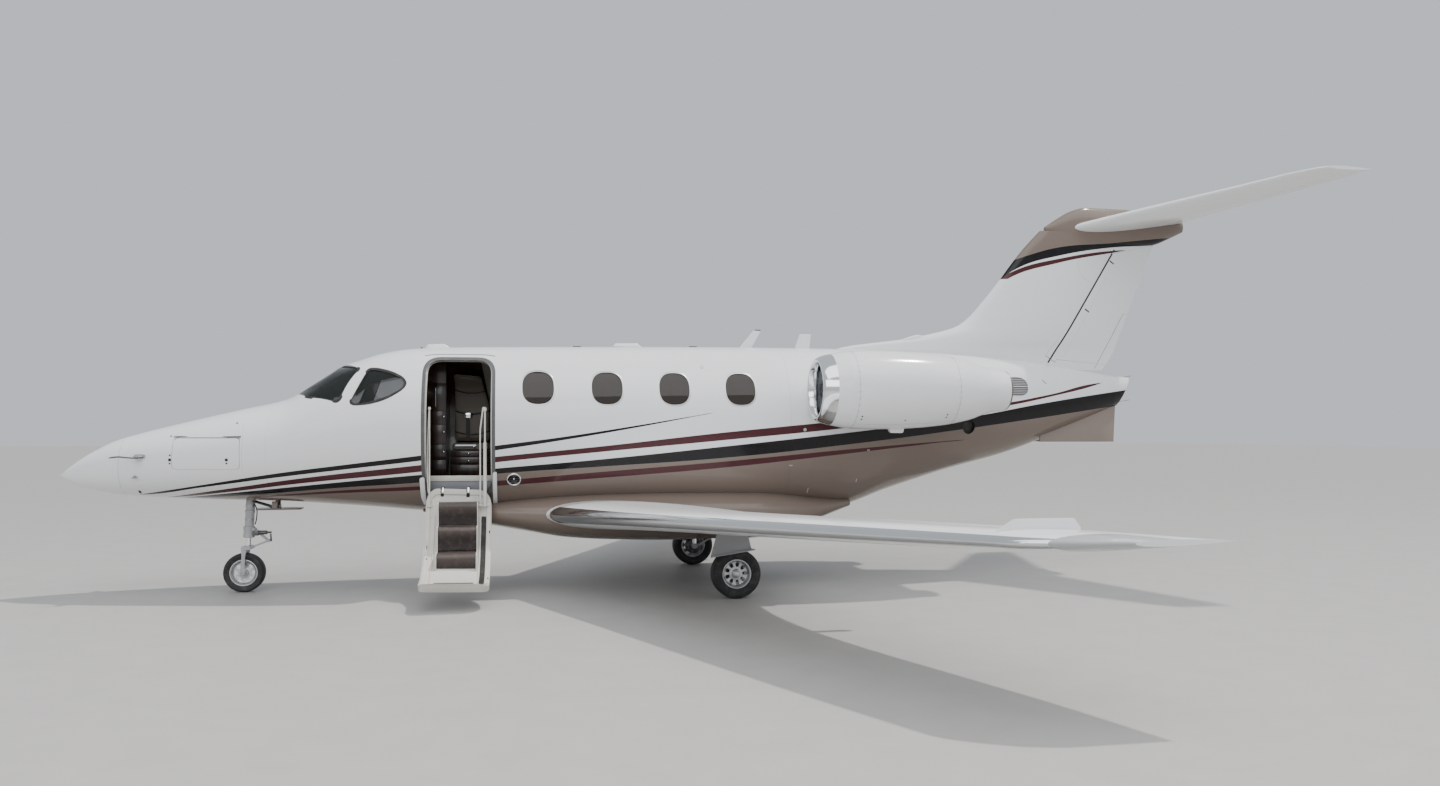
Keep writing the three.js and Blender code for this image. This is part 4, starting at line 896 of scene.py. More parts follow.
def painted(name, colours=None, colour=WHITE, rough=0.13, variation=0.03, dust=0.05, turn=None):
    """Gloss aircraft paint; colours names the group that gives its colour by place."""
    paint = Finish(name, colour, rough, Coat_Weight=0.15)
    paint.set("Coat Roughness", 0.04)
    paint.set("IOR", 1.32)
    place = paint.place
    if turn:
        place = paint.add("ShaderNodeMapping", Vector=place, Rotation=turn[0],
                          Location=turn[1]).outputs["Vector"]
    base = paint.group(colours, Place=place).outputs["Colour"] if colours else (*colour, 1)
    paint.bump(paint.sprayed(Colour=base, Roughness=rough, Variation=variation, Dust=dust), 0.0001, 0.25)
    return paint.material


def floor_finish():
    floor = Finish("pale_floor", (0.62, 0.61, 0.59), 0.55)
    grain = floor.add("ShaderNodeTexNoise", Vector=floor.place, Scale=3.0, Detail=6.0).outputs["Fac"]
    floor.feed("Base Color", mixed(floor.tree, grain, (0.40, 0.39, 0.375), (0.47, 0.46, 0.44)))
    return floor.material


def tinted_glass(name, colour, clear):
    """Glass that lets so much through face on and less at a slant."""
    glass = Finish(name, colour, 0.03)
    glass.set("IOR", 1.5)
    fresnel = glass.add("ShaderNodeFresnel", IOR=1.5).outputs["Fac"]
    glass.feed("Alpha", maths(glass.tree, "ADD", maths(glass.tree, "MULTIPLY", fresnel, clear), 1 - clear))
    return glass.material


def make_streak_group():
    """Fine streaks that change the gloss of metal."""
    group, start, end = new_group("metal_streaks", [("Place", VECTOR, None), ("Roughness", FLOAT, 0.3)],
                                  [("Roughness", FLOAT), ("Height", FLOAT)])
    streaks = node(group, "ShaderNodeTexNoise", Vector=start.outputs["Place"], Scale=60.0,
                   Detail=4.0).outputs["Fac"]
    uneven = maths(group, "MULTIPLY", maths(group, "SUBTRACT", streaks, 0.42), 0.12)
    group.links.new(maths(group, "ADD", start.outputs["Roughness"], uneven), end.inputs["Roughness"])
    group.links.new(streaks, end.inputs["Height"])


def bare_metal(name, colour, rough, axis_scale=(1, 1, 1)):
    metal = Finish(name, colour, rough, 1.0)
    stretched = metal.add("ShaderNodeMapping", Vector=metal.place, Scale=axis_scale).outputs["Vector"]
    streaks = metal.group("metal_streaks", Place=stretched, Roughness=rough)
    metal.feed("Roughness", streaks.outputs["Roughness"])
    metal.bump(streaks.outputs["Height"], 0.0002, 0.2)
    return metal.material


# Fuselage pieces

DOOR = {"fore": -3.172, "aft": -2.488, "low": 1.128, "high": 2.545, "corner": 0.100, "open": 132.6}
HINGE = Vector((-2.83, -0.67232, 1.106))
THROUGH_PORT = (-1.15, -0.2)
WINDOW_X = (-1.992, -1.245, -0.500, 0.250)
WINDOW = {"half": 0.176, "high": 0.186, "height": 2.246, "power": 2.5}
SCREEN = [(-4.640, -0.055, 2.150), (-4.140, -0.055, 2.500), (-3.880, -0.500, 2.453), (-4.045, -0.742, 2.120),
          (-4.085, -0.745, 2.070), (-4.380, -0.560, 2.095)]
SCREEN_OUT = Vector((-0.5, -0.42, 0.76)).normalized()
SIDE_WINDOW = [(-3.942, 2.095), (-3.925, 2.062), (-3.883, 2.052), (-3.746, 2.066), (-3.566, 2.124),
               (-3.415, 2.218), (-3.374, 2.284), (-3.422, 2.352), (-3.537, 2.408), (-3.700, 2.446),
               (-3.770, 2.446), (-3.800, 2.422)]
BAGGAGE = {"fore": -5.757, "aft": -5.063, "low": 1.376, "high": 1.706, "corner": 0.045}
NOSE_BAY = (-5.33, -4.90, -0.14, 0.14, 0.8, 1.33)
STRAKE = [(4.185, 1.640), (5.204, 1.640), (5.349, 2.110), (4.900, 2.200), (4.300, 1.900)]
STRAKE_OUT, STRAKE_TOP, STRAKE_CANT = 0.070, 2.086, 0.42
# The x range of the tail's recesses, whose walls carry painted shade
RECESSES = (2.9, 4.0)
# Wheel wells: x of both ends, inner and outer edge, lowest and highest point
WELL = (-0.235, 0.4, 0.25, 1.0, 0.4, 0.795)
PANE_GAP = 0.004
PANE_DEPTH = 0.006
JOINT = 0.0005


def oval(cx, cz, half, high, power, count=48):
    outline = []
    for angle in around(count):
        outline.append(Vector((cx + half * bowed(math.cos(angle), power), 0,
                               cz + high * bowed(math.sin(angle), power))))
    return outline


def upright(x0, x1, z0, z1, radius=0.01, steps=4):
    """A rounded rectangle in x and z."""
    return rounded([(x0, 0, z0), (x1, 0, z0), (x1, 0, z1), (x0, 0, z1)], radius, steps)


def rounded_door(grow):
    return upright(DOOR["fore"] - grow, DOOR["aft"] + grow, DOOR["low"] - grow, DOOR["high"] + grow,
                   (DOOR["corner"] + grow) * 1.5, 8)


def grown(outline, amount):
    """An outline with every point moved away from its middle."""
    centre = sum((Vector(p) for p in outline), Vector()) / len(outline)
    return [Vector(p) + (Vector(p) - centre).normalized() * amount for p in outline]


def side_outlines(grow=0.0):
    """Cabin windows as outlines in x, z."""
    return [oval(x, WINDOW["height"], WINDOW["half"] + grow, WINDOW["high"] + grow, WINDOW["power"])
            for x in WINDOW_X]


def cockpit_side(grow=0.0):
    return grown(rounded([(x, 0, z) for x, z in SIDE_WINDOW], 0.2, 4), grow)


def screen_outline(grow=0.0):
    return grown(rounded(SCREEN, 0.06, 6), grow)


def both(shells):
    """The shells of the port side with their mirror images."""
    return [*shells, *(mirrored(shell) for shell in shells)]


def window_tools():
    tools = [prism(outline, ACROSS, -1.1, -0.45) for outline in [*side_outlines(), cockpit_side()]]
    tools.append(prism(screen_outline(), SCREEN_OUT, -0.20, 0.26))
    return both(tools)


def skin_patch(outline, direction, inset, rings=7, thick=0.006):
    """A pane that follows the fuselage skin inside an outline."""
    centre = sum(outline, Vector()) / len(outline)
    sheets = []
    for depth in (inset, inset + thick):
        rows = []
        for r in range(1, rings + 1):
            rows.append([onto_hull(centre.lerp(p, r / rings), direction, depth) for p in outline])
        sheets.append([[onto_hull(centre, direction, depth)], *rows])
    points, faces = [], []
    count = len(outline)
    for side, rows in enumerate(sheets):
        start = len(points)
        points.extend(p for row in rows for p in row)
        for i in range(count):
            j = (i + 1) % count
            face = (start, start + 1 + i, start + 1 + j)
            faces.append(face if side == 0 else face[::-1])
            for r in range(len(rows) - 2):
                a, b = start + 1 + r * count, start + 1 + (r + 1) * count
                quad = (a + i, b + i, b + j, a + j)
                faces.append(quad if side == 0 else quad[::-1])
    size = 1 + rings * count
    for i in range(count):
        j = (i + 1) % count
        a = 1 + (rings - 1) * count
        faces.append((a + i, a + size + i, a + size + j, a + j))
    return points, faces


def make_fuselage(finishes):
    livery = finishes["livery"]
    tip = [section(x, *HULL.at(x))
           for x in [NOSE_TIP, -7.006, -6.998, -6.985, *spaced(-6.97, RADOME_END - 0.001, 0.03)]]
    piece("radome_skin", [lofted(tip)], livery, slot="white_paint", replaces=["radome"])

    nose = solid("nose_skin", [hull(RADOME_END + 0.001, CABIN_FRONT - JOINT, 0, 0.04)])
    fore, aft, low, high = (BAGGAGE[key] for key in ("fore", "aft", "low", "high"))
    opening = upright(fore, aft, low, high, BAGGAGE["corner"], 5)
    hold = solid("hold", [hull(fore + 0.012, aft - 0.012, 0.045)])
    kept(hold, [box(fore + 0.012, aft - 0.012, -0.7, -0.02, 1.33, 1.73)])
    cut(nose, [box(*NOSE_BAY)])
    cut(nose, [prism(grown(opening, 0.004), ACROSS, -0.9, -0.3)])
    cut(nose, [swept([on_skin(x, high + 0.003, 0.008) for x in (fore - 0.012, aft + 0.012)], 0.0155, 20)])
    cut_by_objects(nose, [hold])
    finished(nose, livery, slot="white_paint", replaces=["nose_section"])
    door = solid("baggage_door_skin", [hull(fore - 0.05, aft + 0.05, 0, 0.04)])
    cut(door, [hull(fore - 0.06, aft + 0.06, 0.014, 0.04)])
    lowered = upright(fore, aft, low, high - 0.006, BAGGAGE["corner"], 5)
    kept(door, [prism(lowered, ACROSS, -0.9, -0.2)])
    finished(door, livery, "nose_baggage_door", slot="white_paint", replaces=["nose_baggage_door"])

    cabin = solid("cabin_skin", [hull(CABIN_FRONT + JOINT, CABIN_REAR - JOINT, 0, 0.05)])
    cut(cabin, [hull(CABIN_FRONT + 0.06, CABIN_REAR - 0.06, WALL, 0.1)])
    cut(cabin, window_tools())
    cut(cabin, [prism(rounded_door(0.006), ACROSS, *THROUGH_PORT)])
    for x in ARM_X:
        cut(cabin, [box(x - 0.072, x + 0.072, HINGE.y - 0.040, HINGE.y + 0.042, HINGE.z - 0.020,
                        DOOR["low"] + 0.01)])
    here, way = skin_spot(*PORT_HOLE)
    cut(cabin, [turned([(-0.035, 0.0), (-0.035, 0.067), (0.04, 0.067), (0.04, 0.0)], here, way, 64)])
    finished(cabin, livery, slot="white_paint", replaces=["cabin_shell"])
    second_finish(cabin, finishes["lining"], lambda spot: in_hull(spot, 0.05))

    rows = [section(x, *HULL.at(x)) for x in spaced(CABIN_REAR + JOINT, 5.349, 0.08)]
    end = TAIL_END
    rows.append(section(end["foot"], end["top"], end["bottom"], end["half"], end["widest"], 0, end["head"]))
    tail = solid("tail_skin", [lofted(rows)])
    strakes = []
    for side in (PORT, STARBOARD):
        points = [Vector((x, side * (STRAKE_OUT + (STRAKE_TOP - z) * STRAKE_CANT), z)) for x, z in STRAKE]
        strakes.append(prism(points, ACROSS, -0.008, 0.008))
    cut_by_objects(tail, tail_pockets())
    combined(tail, strakes, "UNION")
    finished(tail, livery, slot="white_paint", replaces=["tail_section"])
    # The walls of the grille and vent recesses get the black finish as painted shade.
    second_finish(tail, finishes["black_trim_and_painted_shade"],
                  lambda spot: RECESSES[0] < spot.x < RECESSES[1] and in_hull(spot, 0.0035))

    belly = solid("belly_skin", [lofted([body_ring(x, BELLY.at(x), 2.5) for x in spaced(-3.25, 1.65, 0.07)])])
    x0, x1, inner, outer, z0, z1 = WELL
    cut(belly, [box(x0, x1, side * inner, side * outer, z0, z1) for side in (PORT, STARBOARD)])
    cut(belly, [hull(-3.6, 2.0, 0.004, 0.1)])
    finished(belly, livery, slot="taupe_paint", replaces=["belly_fairing"])

    panes = [skin_patch(outline, TO_PORT, PANE_DEPTH) for outline in side_outlines(-PANE_GAP)]
    for word, side in SIDES:
        piece(f"cabin_windows_{word}", sided(panes, side), finishes["cabin_glass"], slot="glass",
              replaces=[f"window_belt_{word}"])
    cockpit = [skin_patch(cockpit_side(-PANE_GAP), TO_PORT, PANE_DEPTH),
               skin_patch(screen_outline(-PANE_GAP), SCREEN_OUT, PANE_DEPTH)]
    piece("cockpit_windows", both(cockpit), finishes["cockpit_glass"], slot="glass",
          replaces=["cockpit_glazing"])


# Wings

def make_wings(finishes):
    for word, side in SIDES:
        wing = solid(f"wing_skin_{word}", [to_side(wing_shell(), side)])
        cut_by_objects(wing, [hinge_room("slot", WING, line, GAP, side) for line in WING_LINES.values()])
        cut(wing, [to_side(box(-0.150, 0.175, -1.575, -0.900, 0.5, 0.872), side)])
        finished(wing, finishes["wing"], slot="wing_paint", replaces=[f"wing_{word}"])
        for name, line in WING_LINES.items():
            moving = kept(hinge_room(f"{name}_skin_{word}", WING, line, 0, side),
                          [to_side(wing_shell(), side)])
            finished(moving, finishes["wing"], f"{name}_{word}", "wing_paint", [f"{name}_{word}"])


# Tail

def rudder_region(grow):
    low = Vector((RUDDER["low"][0], 0, RUDDER["low"][1]))
    high = Vector((RUDDER["high"][0], 0, RUDDER["high"][1]))
    unit = (high - low).normalized()
    p, q = low - unit * grow * 1.5, high + unit * grow * 2.5
    outline = [(p.x - grow, 0, p.z), (p.x + 1.5, 0, p.z - 0.12), (q.x + 1.5, 0, q.z + 0.26),
               (q.x - grow, 0, q.z)]
    profile = [(0, RUDDER["low_radius"] + grow), ((q - p).length, RUDDER["high_radius"] + grow)]
    nose = turned(profile, p, q - p, 48)
    return combined(solid("room", [prism(outline, ACROSS, -0.3, 0.3)]), [nose], "UNION")


def bullet_shell(inset=0.0):
    return lofted([body_ring(x, BULLET.at(x), 2, inset) for x in spaced(4.4, 6.351, 0.05)])


def make_tail(finishes):
    fin_shell = lofted([fin_ring(z, FIN.at(z))
                        for z in [*spaced(2.56, 3.1, 0.03), *spaced(3.15, 4.33, 0.08)]])
    fin = solid("fin_skin", [fin_shell])
    cut_by_objects(fin, [rudder_region(GAP)])
    combined(fin, [bullet_shell()], "UNION")
    cut(fin, [hull(1.0, 5.6, 0.01, 0.08)])
    finished(fin, finishes["fin"], slot="white_paint", replaces=["fin"])
    rudder = kept(rudder_region(0), [fin_shell])
    cut(rudder, [bullet_shell(-0.004), box(3.8, 6.5, -0.4, 0.4, 2.4, HULL.at(4.468)[0] + 0.008)])
    rudder.name = "rudder_skin"
    finished(rudder, finishes["fin"], "rudder", slot="white_paint", replaces=["rudder"])
    for word, side in SIDES:
        plane = solid(f"tailplane_skin_{word}", [to_side(tailplane_shell(), side)])
        cut_by_objects(plane, [hinge_room("slot", TAILPLANE, ELEVATOR, ELEVATOR_GAP, side)])
        cut(plane, [bullet_shell(0.01)])
        finished(plane, finishes["tailplane"], slot="wing_paint", replaces=[f"tailplane_{word}"])
        moving = kept(hinge_room(f"elevator_skin_{word}", TAILPLANE, ELEVATOR, 0, side),
                      [to_side(tailplane_shell(), side)])
        finished(moving, finishes["tailplane"], f"elevator_{word}", slot="wing_paint",
                 replaces=[f"elevator_{word}"])


# Engines: profiles are rows of x and radius

ENGINE = {"out": 1.300, "height": 2.230}
COWL = Table([
    (1.290, 0.418), (1.450, 0.431), (1.700, 0.436), (2.050, 0.427), (2.450, 0.391), (2.750, 0.335),
    (3.030, 0.243), (3.190, 0.222),
])
DUCT = [(3.190, 0.214), (3.000, 0.224), (2.600, 0.300), (1.700, 0.318), (1.420, 0.276), (1.2905, 0.272)]
PYLON = Table([  # the columns of a wing
    (0.4, 1.33, 3.15, 2.215, 2.275, 0.25), (0.9, 1.40, 3.15, 2.215, 2.275, 0.215),
    (1.3, 1.45, 3.15, 2.215, 2.275, 0.19),
])
LIP = [(1.290, 0.272), (1.080, 0.276), (1.005, 0.294), (0.983, 0.316), (1.004, 0.344), (1.080, 0.375),
       (1.290, 0.418)]


def make_engines(finishes):
    outer = [(x, COWL.at(x)[0]) for x in spaced(1.2905, 3.19, 0.06)]
    lip = [(p.x, p.y) for p in curved([(x, r, 0) for x, r in LIP], 6)]
    for word, side in SIDES:
        centre = (0, side * ENGINE["out"], ENGINE["height"])
        piece(f"cowl_{word}", [turned([*outer, *DUCT], centre, ALONG, 128, closed=True)], finishes["cowl"],
              slot="white_paint", replaces=[f"nacelle_{word}"])
        ring = piece(f"intake_lip_{word}", [turned(lip, centre, ALONG, 128, closed=True)],
                     finishes["polished"], slot="polished_lip", replaces=[f"inlet_lip_{word}"])
        second_finish(ring, finishes["cowl"], lambda spot: spot.x > 1.150 and
                      math.hypot(spot.y - centre[1], spot.z - centre[2]) > 0.36)
        arm = lofted([wing_ring(y, PYLON.at(y)) for y in spaced(0.4, 1.3, 0.1)])
        strut = solid(f"pylon_skin_{word}", [to_side(arm, side)])
        cut(strut, [hull(1.0, 3.4, 0.02, 0.08)])
        inside = [(1.0, 0.40), *[(x, r - 0.01) for x, r in outer], (3.3, 0.21)]
        cut(strut, [turned(inside, centre, ALONG, 96)])
        finished(strut, finishes["livery"], slot="white_paint", replaces=[f"pylon_{word}"])


# Fans and cores

FAN = {"x": 1.390, "radius": 0.266, "hub": 0.092, "blades": 20}
# x and radius
CORE = [(1.452, 0.0), (1.452, 0.190), (1.600, 0.200), (1.900, 0.205), (2.350, 0.190), (2.700, 0.130),
        (2.900, 0.070), (3.060, 0.012), (3.062, 0.0)]


def fan_blade(centre, turn):
    """One twisted blade, wide at its tip."""
    c, s = math.cos(turn), math.sin(turn)
    rings = []
    for share in spaced(0, 1, 0.125):
        radius = FAN["hub"] - 0.014 + share * (FAN["radius"] - FAN["hub"] + 0.014)
        twist = 0.45 + 0.62 * share
        half = 0.034 + 0.010 * math.sin(share * math.pi)
        sweep = 0.016 * share ** 2
        ring = []
        for angle in around(12):
            along = half * math.cos(angle)
            thick = 0.0035 * math.sin(angle) * (1.3 - share) + 0.006 * (1 - (along / half) ** 2) * (1 - share)
            x = along * math.cos(twist) - thick * math.sin(twist) + sweep
            t = along * math.sin(twist) + thick * math.cos(twist)
            ring.append(Vector((centre[0] + x, centre[1] + radius * c - t * s,
                                centre[2] + radius * s + t * c)))
        rings.append(ring)
    return lofted(rings)


# Profiles from the axle outwards: place along and radius
SPINNER = [
    (-0.150, 0.0), (-0.148, 0.012), (-0.135, 0.030), (-0.100, 0.056), (-0.050, 0.080), (0.0, 0.092),
    (0.040, 0.092), (0.040, 0.0),
]
EXHAUST_RING = [
    (3.185, 0.222), (3.205, 0.220), (3.210, 0.216), (3.205, 0.211), (3.10, 0.214), (3.10, 0.218),
]
# A vane's section: along and across
VANE_PLATE = ((-0.03, 0.008), (0.0, -0.003), (0.03, -0.006), (0.03, -0.003), (0.0, 0.001))


def make_engine_insides(finishes):
    for word, side in SIDES:
        y, z = side * ENGINE["out"], ENGINE["height"]
        centre = (0, y, z)
        place = (FAN["x"], y, z)
        blades = [fan_blade(place, turn) for turn in around(FAN["blades"])]
        piece(f"fan_blades_{word}", blades, finishes["fan"], f"fan_{word}", "fan_metal", [f"fan_{word}"],
              sharp=50)
        piece(f"fan_spinner_{word}", [turned(SPINNER, place, ALONG, 48)], finishes["spinner"], f"fan_{word}",
              "fan_metal")
        core = turned(CORE, centre, ALONG, 64)
        piece(f"engine_block_{word}", [core], finishes["hot_metal"], slot="engine_metal",
              replaces=[f"engine_core_{word}"])
        vanes = []
        for angle in around(28):
            way = Vector((0, math.cos(angle), math.sin(angle)))
            across = Vector((0, -math.sin(angle), math.cos(angle)))
            rings = []
            for radius in (0.16, 0.285):
                spot = Vector((1.475, y, z)) + way * radius
                rings.append([spot + Vector((dx, 0, 0)) + across * dt for dx, dt in VANE_PLATE])
            vanes.append(lofted(rings))
        for degrees in (45, 135, 225, 315):
            way = Vector((0, math.cos(math.radians(degrees)), math.sin(math.radians(degrees))))
            start = Vector((1.6, y, z)) + way * 0.17
            vanes.append(swept([start, start + way * 0.145], 0.014, 16))
        piece(f"fan_duct_vanes_{word}", vanes, finishes["duct_metal"], slot="engine_metal")
        piece(f"exhaust_ring_{word}", [turned(EXHAUST_RING, centre, ALONG, 96, closed=True)],
              finishes["hot_metal"], slot="engine_metal")


# Wheels

NOSE_WHEEL = {"x": -5.172, "radius": 0.215, "half": 0.070, "rim": 0.143}
RIM_SHARE = 0.62
MAIN_WHEEL = {"x": 0.069, "y": 1.422, "radius": 0.262, "half": 0.098, "rim": 0.152}


def tyre_profile(wheel, grooves):
    r, half, rim = wheel["radius"], wheel["half"], wheel["rim"]
    wall = [(0.64, rim + 0.001), (0.74, rim + 0.001), (0.80, rim + 0.010), (0.90, rim + 0.030),
            (0.985, rim + 0.055), (1.0, (r + rim) / 2 + 0.004), (0.985, r - 0.036), (0.93, r - 0.020),
            (0.84, r - 0.0095), (0.74, r - 0.005)]
    flank = [(share * half, radius) for share, radius in wall]
    tread = []
    for middle in grooves:
        edge, depth = 0.0035, 0.006
        for shift, drop in ((edge, 0), (edge * 0.6, depth), (-edge * 0.6, depth), (-edge, 0)):
            y = middle * half + shift
            tread.append((y, r - 0.004 * (y / half) ** 2 - drop))
    top = flank + tread
    return top + [(-y, radius) for y, radius in flank[::-1]]


def stamp_tree():
    """Copies of a small shape, one on each point, turned to face the way that the point's attribute says."""
    tree = bpy.data.node_groups.new("fasteners_on_points", "GeometryNodeTree")
    for label, kind in (("Geometry", "NodeSocketGeometry"), ("Shape", "NodeSocketObject"),
                        ("Size", "NodeSocketFloat"), ("Finish", "NodeSocketMaterial")):
        tree.interface.new_socket(label, in_out="INPUT", socket_type=kind)
    tree.interface.new_socket("Geometry", in_out="OUTPUT", socket_type="NodeSocketGeometry")
    start = tree.nodes.new("NodeGroupInput")
    end = tree.nodes.new("NodeGroupOutput")
    facing = node(tree, "GeometryNodeInputNamedAttribute", {"data_type": "FLOAT_VECTOR"}, Name="facing")
    turn = node(tree, "FunctionNodeAlignRotationToVector", {"axis": "Z"}, Vector=facing.outputs["Attribute"])
    shape = node(tree, "GeometryNodeObjectInfo", Object=start.outputs["Shape"])
    copies = node(tree, "GeometryNodeInstanceOnPoints", Points=start.outputs["Geometry"],
                  Instance=shape.outputs["Geometry"], Rotation=turn.outputs["Rotation"],
                  Scale=start.outputs["Size"])
    real = node(tree, "GeometryNodeRealizeInstances", Geometry=copies.outputs["Instances"])
    dressed = node(tree, "GeometryNodeSetMaterial", Geometry=real.outputs["Geometry"],
                   Material=start.outputs["Finish"])
    tree.links.new(dressed.outputs["Geometry"], end.inputs["Geometry"])
    return tree


def fasteners(name, spots, shape, size, finish, body="root", slot=None):
    """Screws, bolts or rivets: spots are (place, way out) pairs and shape is a shell of about one unit."""
    tree = bpy.data.node_groups.get("fasteners_on_points") or stamp_tree()
    stamp = solid("stamp", [shape])
    obj = mesh_object(name, [place for place, _ in spots], [])
    facing = obj.data.attributes.new("facing", "FLOAT_VECTOR", "POINT")
    for item, (_, way) in zip(facing.data, spots):
        item.vector = way
    step = obj.modifiers.new("copies", "NODES")
    step.node_group = tree
    sockets = {item.name: item.identifier for item in tree.interface.items_tree if item.in_out == "INPUT"}
    step[sockets["Shape"]] = stamp
    step[sockets["Size"]] = size
    step[sockets["Finish"]] = finish
    baked(obj)
    bpy.data.objects.remove(stamp)
    return finished(obj, finish, body, slot)


SCREW = turned([(-0.2, 0.0), (-0.2, 1.0), (0.10, 1.0), (0.18, 0.85), (0.18, 0.35), (0.06, 0.30), (0.06, 0.0)],
               (0, 0, 0), UP, 10)
BOLT = turned([(-0.2, 0.0), (-0.2, 1.3), (0.2, 1.3), (0.22, 1.0), (1.0, 1.0), (1.1, 0.85), (1.1, 0.0)],
              (0, 0, 0), UP, 6)


def wheel_rim(name, wheel, y, holes, hole_size, finish, body, replaces):
    r, half = wheel["rim"], wheel["half"]
    z = wheel["radius"]
    profile = [(-0.70, r), (-0.74, r + 0.004), (-0.78, r + 0.002), (-0.78, r - 0.006), (-0.66, r - 0.012),
               (-0.45, r - 0.020), (-0.20, r - 0.030), (-0.16, 0.060), (-0.20, 0.046), (-0.60, 0.040),
               (-0.62, 0.034), (-0.62, 0.0205), (0.62, 0.0205), (0.62, 0.034), (0.60, 0.040), (0.20, 0.046),
               (0.16, 0.060), (0.20, r - 0.030), (0.45, r - 0.020), (0.66, r - 0.012), (0.78, r - 0.006),
               (0.78, r + 0.002), (0.74, r + 0.004), (0.70, r)]
    profile = [(share * half, radius) for share, radius in profile]
    rim = solid(name, [turned(profile, (wheel["x"], y, z), ACROSS, 96, closed=True)])
    tools = []
    pitch, deep = (r + 0.030) / 2 + 0.003, (r - 0.030 - 0.060) / 2 - 0.006
    for middle in around(holes):
        outline = []
        for angle in around(20):
            radius = pitch + deep * bowed(math.sin(angle), 3)
            turn = middle + hole_size * bowed(math.cos(angle), 3) * math.pi / holes
            outline.append((wheel["x"] + radius * math.cos(turn), y - 0.1, z + radius * math.sin(turn)))
        tools.append(prism(outline, ACROSS, 0, 0.2))
    cut(rim, tools)
    bevelled(rim, 0.0015, 2)
    return finished(rim, finish, body, "wheel_metal", replaces)


# Place along and radius
HUB_CAP = [
    (0.0, 0.0), (0.0, 0.033), (0.012, 0.033), (0.020, 0.026), (0.024, 0.012), (0.024, 0.0),
]


def make_wheels(finishes):
    wheels = [("nose", NOSE_WHEEL, 0.0, "nose_wheel", 8, 0.62, (0.55, 0.0)),
              ("main_left", MAIN_WHEEL, -MAIN_WHEEL["y"], "main_wheel_left", 9, 0.60, (0.62, 0.31, 0.0)),
              ("main_right", MAIN_WHEEL, MAIN_WHEEL["y"], "main_wheel_right", 9, 0.60, (0.62, 0.31, 0.0))]
    for name, wheel, y, body, holes, hole_size, grooves in wheels:
        grooves = [*grooves, *(-g for g in reversed(grooves) if g)]
        centre = (wheel["x"], y, wheel["radius"])
        piece(f"{name}_tyre_tread", [turned(tyre_profile(wheel, grooves), centre, ACROSS, 144, closed=True)],
              finishes["rubber"], body, "tyre", [f"{name}_tyre"], sharp=40)
        wheel_rim(f"{name}_wheel", wheel, y, holes, hole_size, finishes["wheel"], body, [f"{name}_rim"])
        spots = []
        for side in (-1, 1):
            for count, radius, share in ((holes, 0.072, 0.17), (holes * 2, wheel["rim"] - 0.014, RIM_SHARE)):
                spots.extend(((wheel["x"] + radius * math.cos(turn), y + side * wheel["half"] * share,
                               wheel["radius"] + radius * math.sin(turn)), (0, side, 0))
                             for turn in around(count, 0.5))
        fasteners(f"{name}_wheel_bolts", spots, BOLT, 0.0045, finishes["steel"], body, "wheel_metal")
        if name != "nose":
            side = -1 if y < 0 else 1
            piece(f"{name}_hub_cap",
                  [turned(HUB_CAP, (wheel["x"], y + side * wheel["half"] * RIM_SHARE, wheel["radius"]),
                          (0, side, 0), 32)], finishes["wheel"], body, "wheel_metal")


# Landing gear

def along_nose_leg(z):
    share = (z - 1.290) / (0.640 - 1.290)
    return Vector((-5.098 - share * 0.030, 0, z))


def ringed(path_from, path_to, rows, segments=40):
    """A turned part between two points: rows are (share of the way, radius)."""
    a, b = Vector(path_from), Vector(path_to)
    length = (b - a).length
    return turned([(share * length, radius) for share, radius in rows], a, b - a, segments)


def link_arm(a, b, wide_a, wide_b, thick):
    """A forged link, wider at its upper end, lying across the aircraft."""
    a, b = Vector(a), Vector(b)
    way = (b - a).normalized()
    out = way.cross(Vector(ACROSS)).normalized() * thick / 2
    rings = []
    for spot, wide in ((a, wide_a), (a.lerp(b, 0.5), (wide_a + wide_b) / 2 * 0.8), (b, wide_b)):
        half = Vector((0, wide / 2, 0))
        rings.append([spot - half - out, spot + half - out, spot + half + out, spot - half + out])
    return lofted(rings)


# Turned parts of the legs: share of the length and radius
NOSE_LEG = [
    (0, 0.0), (0, 0.048), (0.30, 0.048), (0.31, 0.054), (0.34, 0.054), (0.35, 0.047), (0.62, 0.047),
    (0.63, 0.053), (0.66, 0.053), (0.67, 0.0475), (1.0, 0.0475), (1.0, 0.0),
]
FORK_COLLAR = [
    (0, 0.0485), (0, 0.058), (0.08, 0.0625), (0.22, 0.0625), (0.30, 0.057), (0.72, 0.057), (0.80, 0.061),
    (0.95, 0.061), (1.0, 0.055), (1.0, 0.0), (0.66, 0.0), (0.66, 0.0485),
]
CLAMP = [(0, 0.047), (0, 0.051), (1, 0.051), (1, 0.047)]
NOSE_HOSE = [(-5.062, -0.03, 0.97), (-5.035, -0.045, 0.90), (-5.04, -0.05, 0.80), (-5.056, -0.047, 0.745)]
HOSE = 0.006
CHEEK_OUT = 0.084
# The fork's cheeks: height, middle x, width
FORK_CHEEK = [
    (0.505, -5.152, 0.050), (0.480, -5.160, 0.060), (0.400, -5.166, 0.040), (0.300, -5.172, 0.042),
    (0.235, -5.172, 0.060), (0.215, -5.172, 0.066), (0.195, -5.172, 0.054), (0.186, -5.172, 0.030),
]
NOSE_DOOR = [
    (-5.040, -0.118, 0.905), (-4.565, -0.100, 0.905), (-4.565, 0.100, 0.905), (-5.040, 0.118, 0.905),
]
# Place along and radius
AXLE_CAP = [
    (0.0, 0.0), (0.0, 0.026), (0.008, 0.026), (0.012, 0.022), (0.012, 0.012), (0.004, 0.010), (0.004, 0.0),
]
FORK_BRIDGE = [
    (-5.190, 0, 0.470), (-5.092, 0, 0.470), (-5.092, 0, 0.508), (-5.190, 0, 0.508),
]


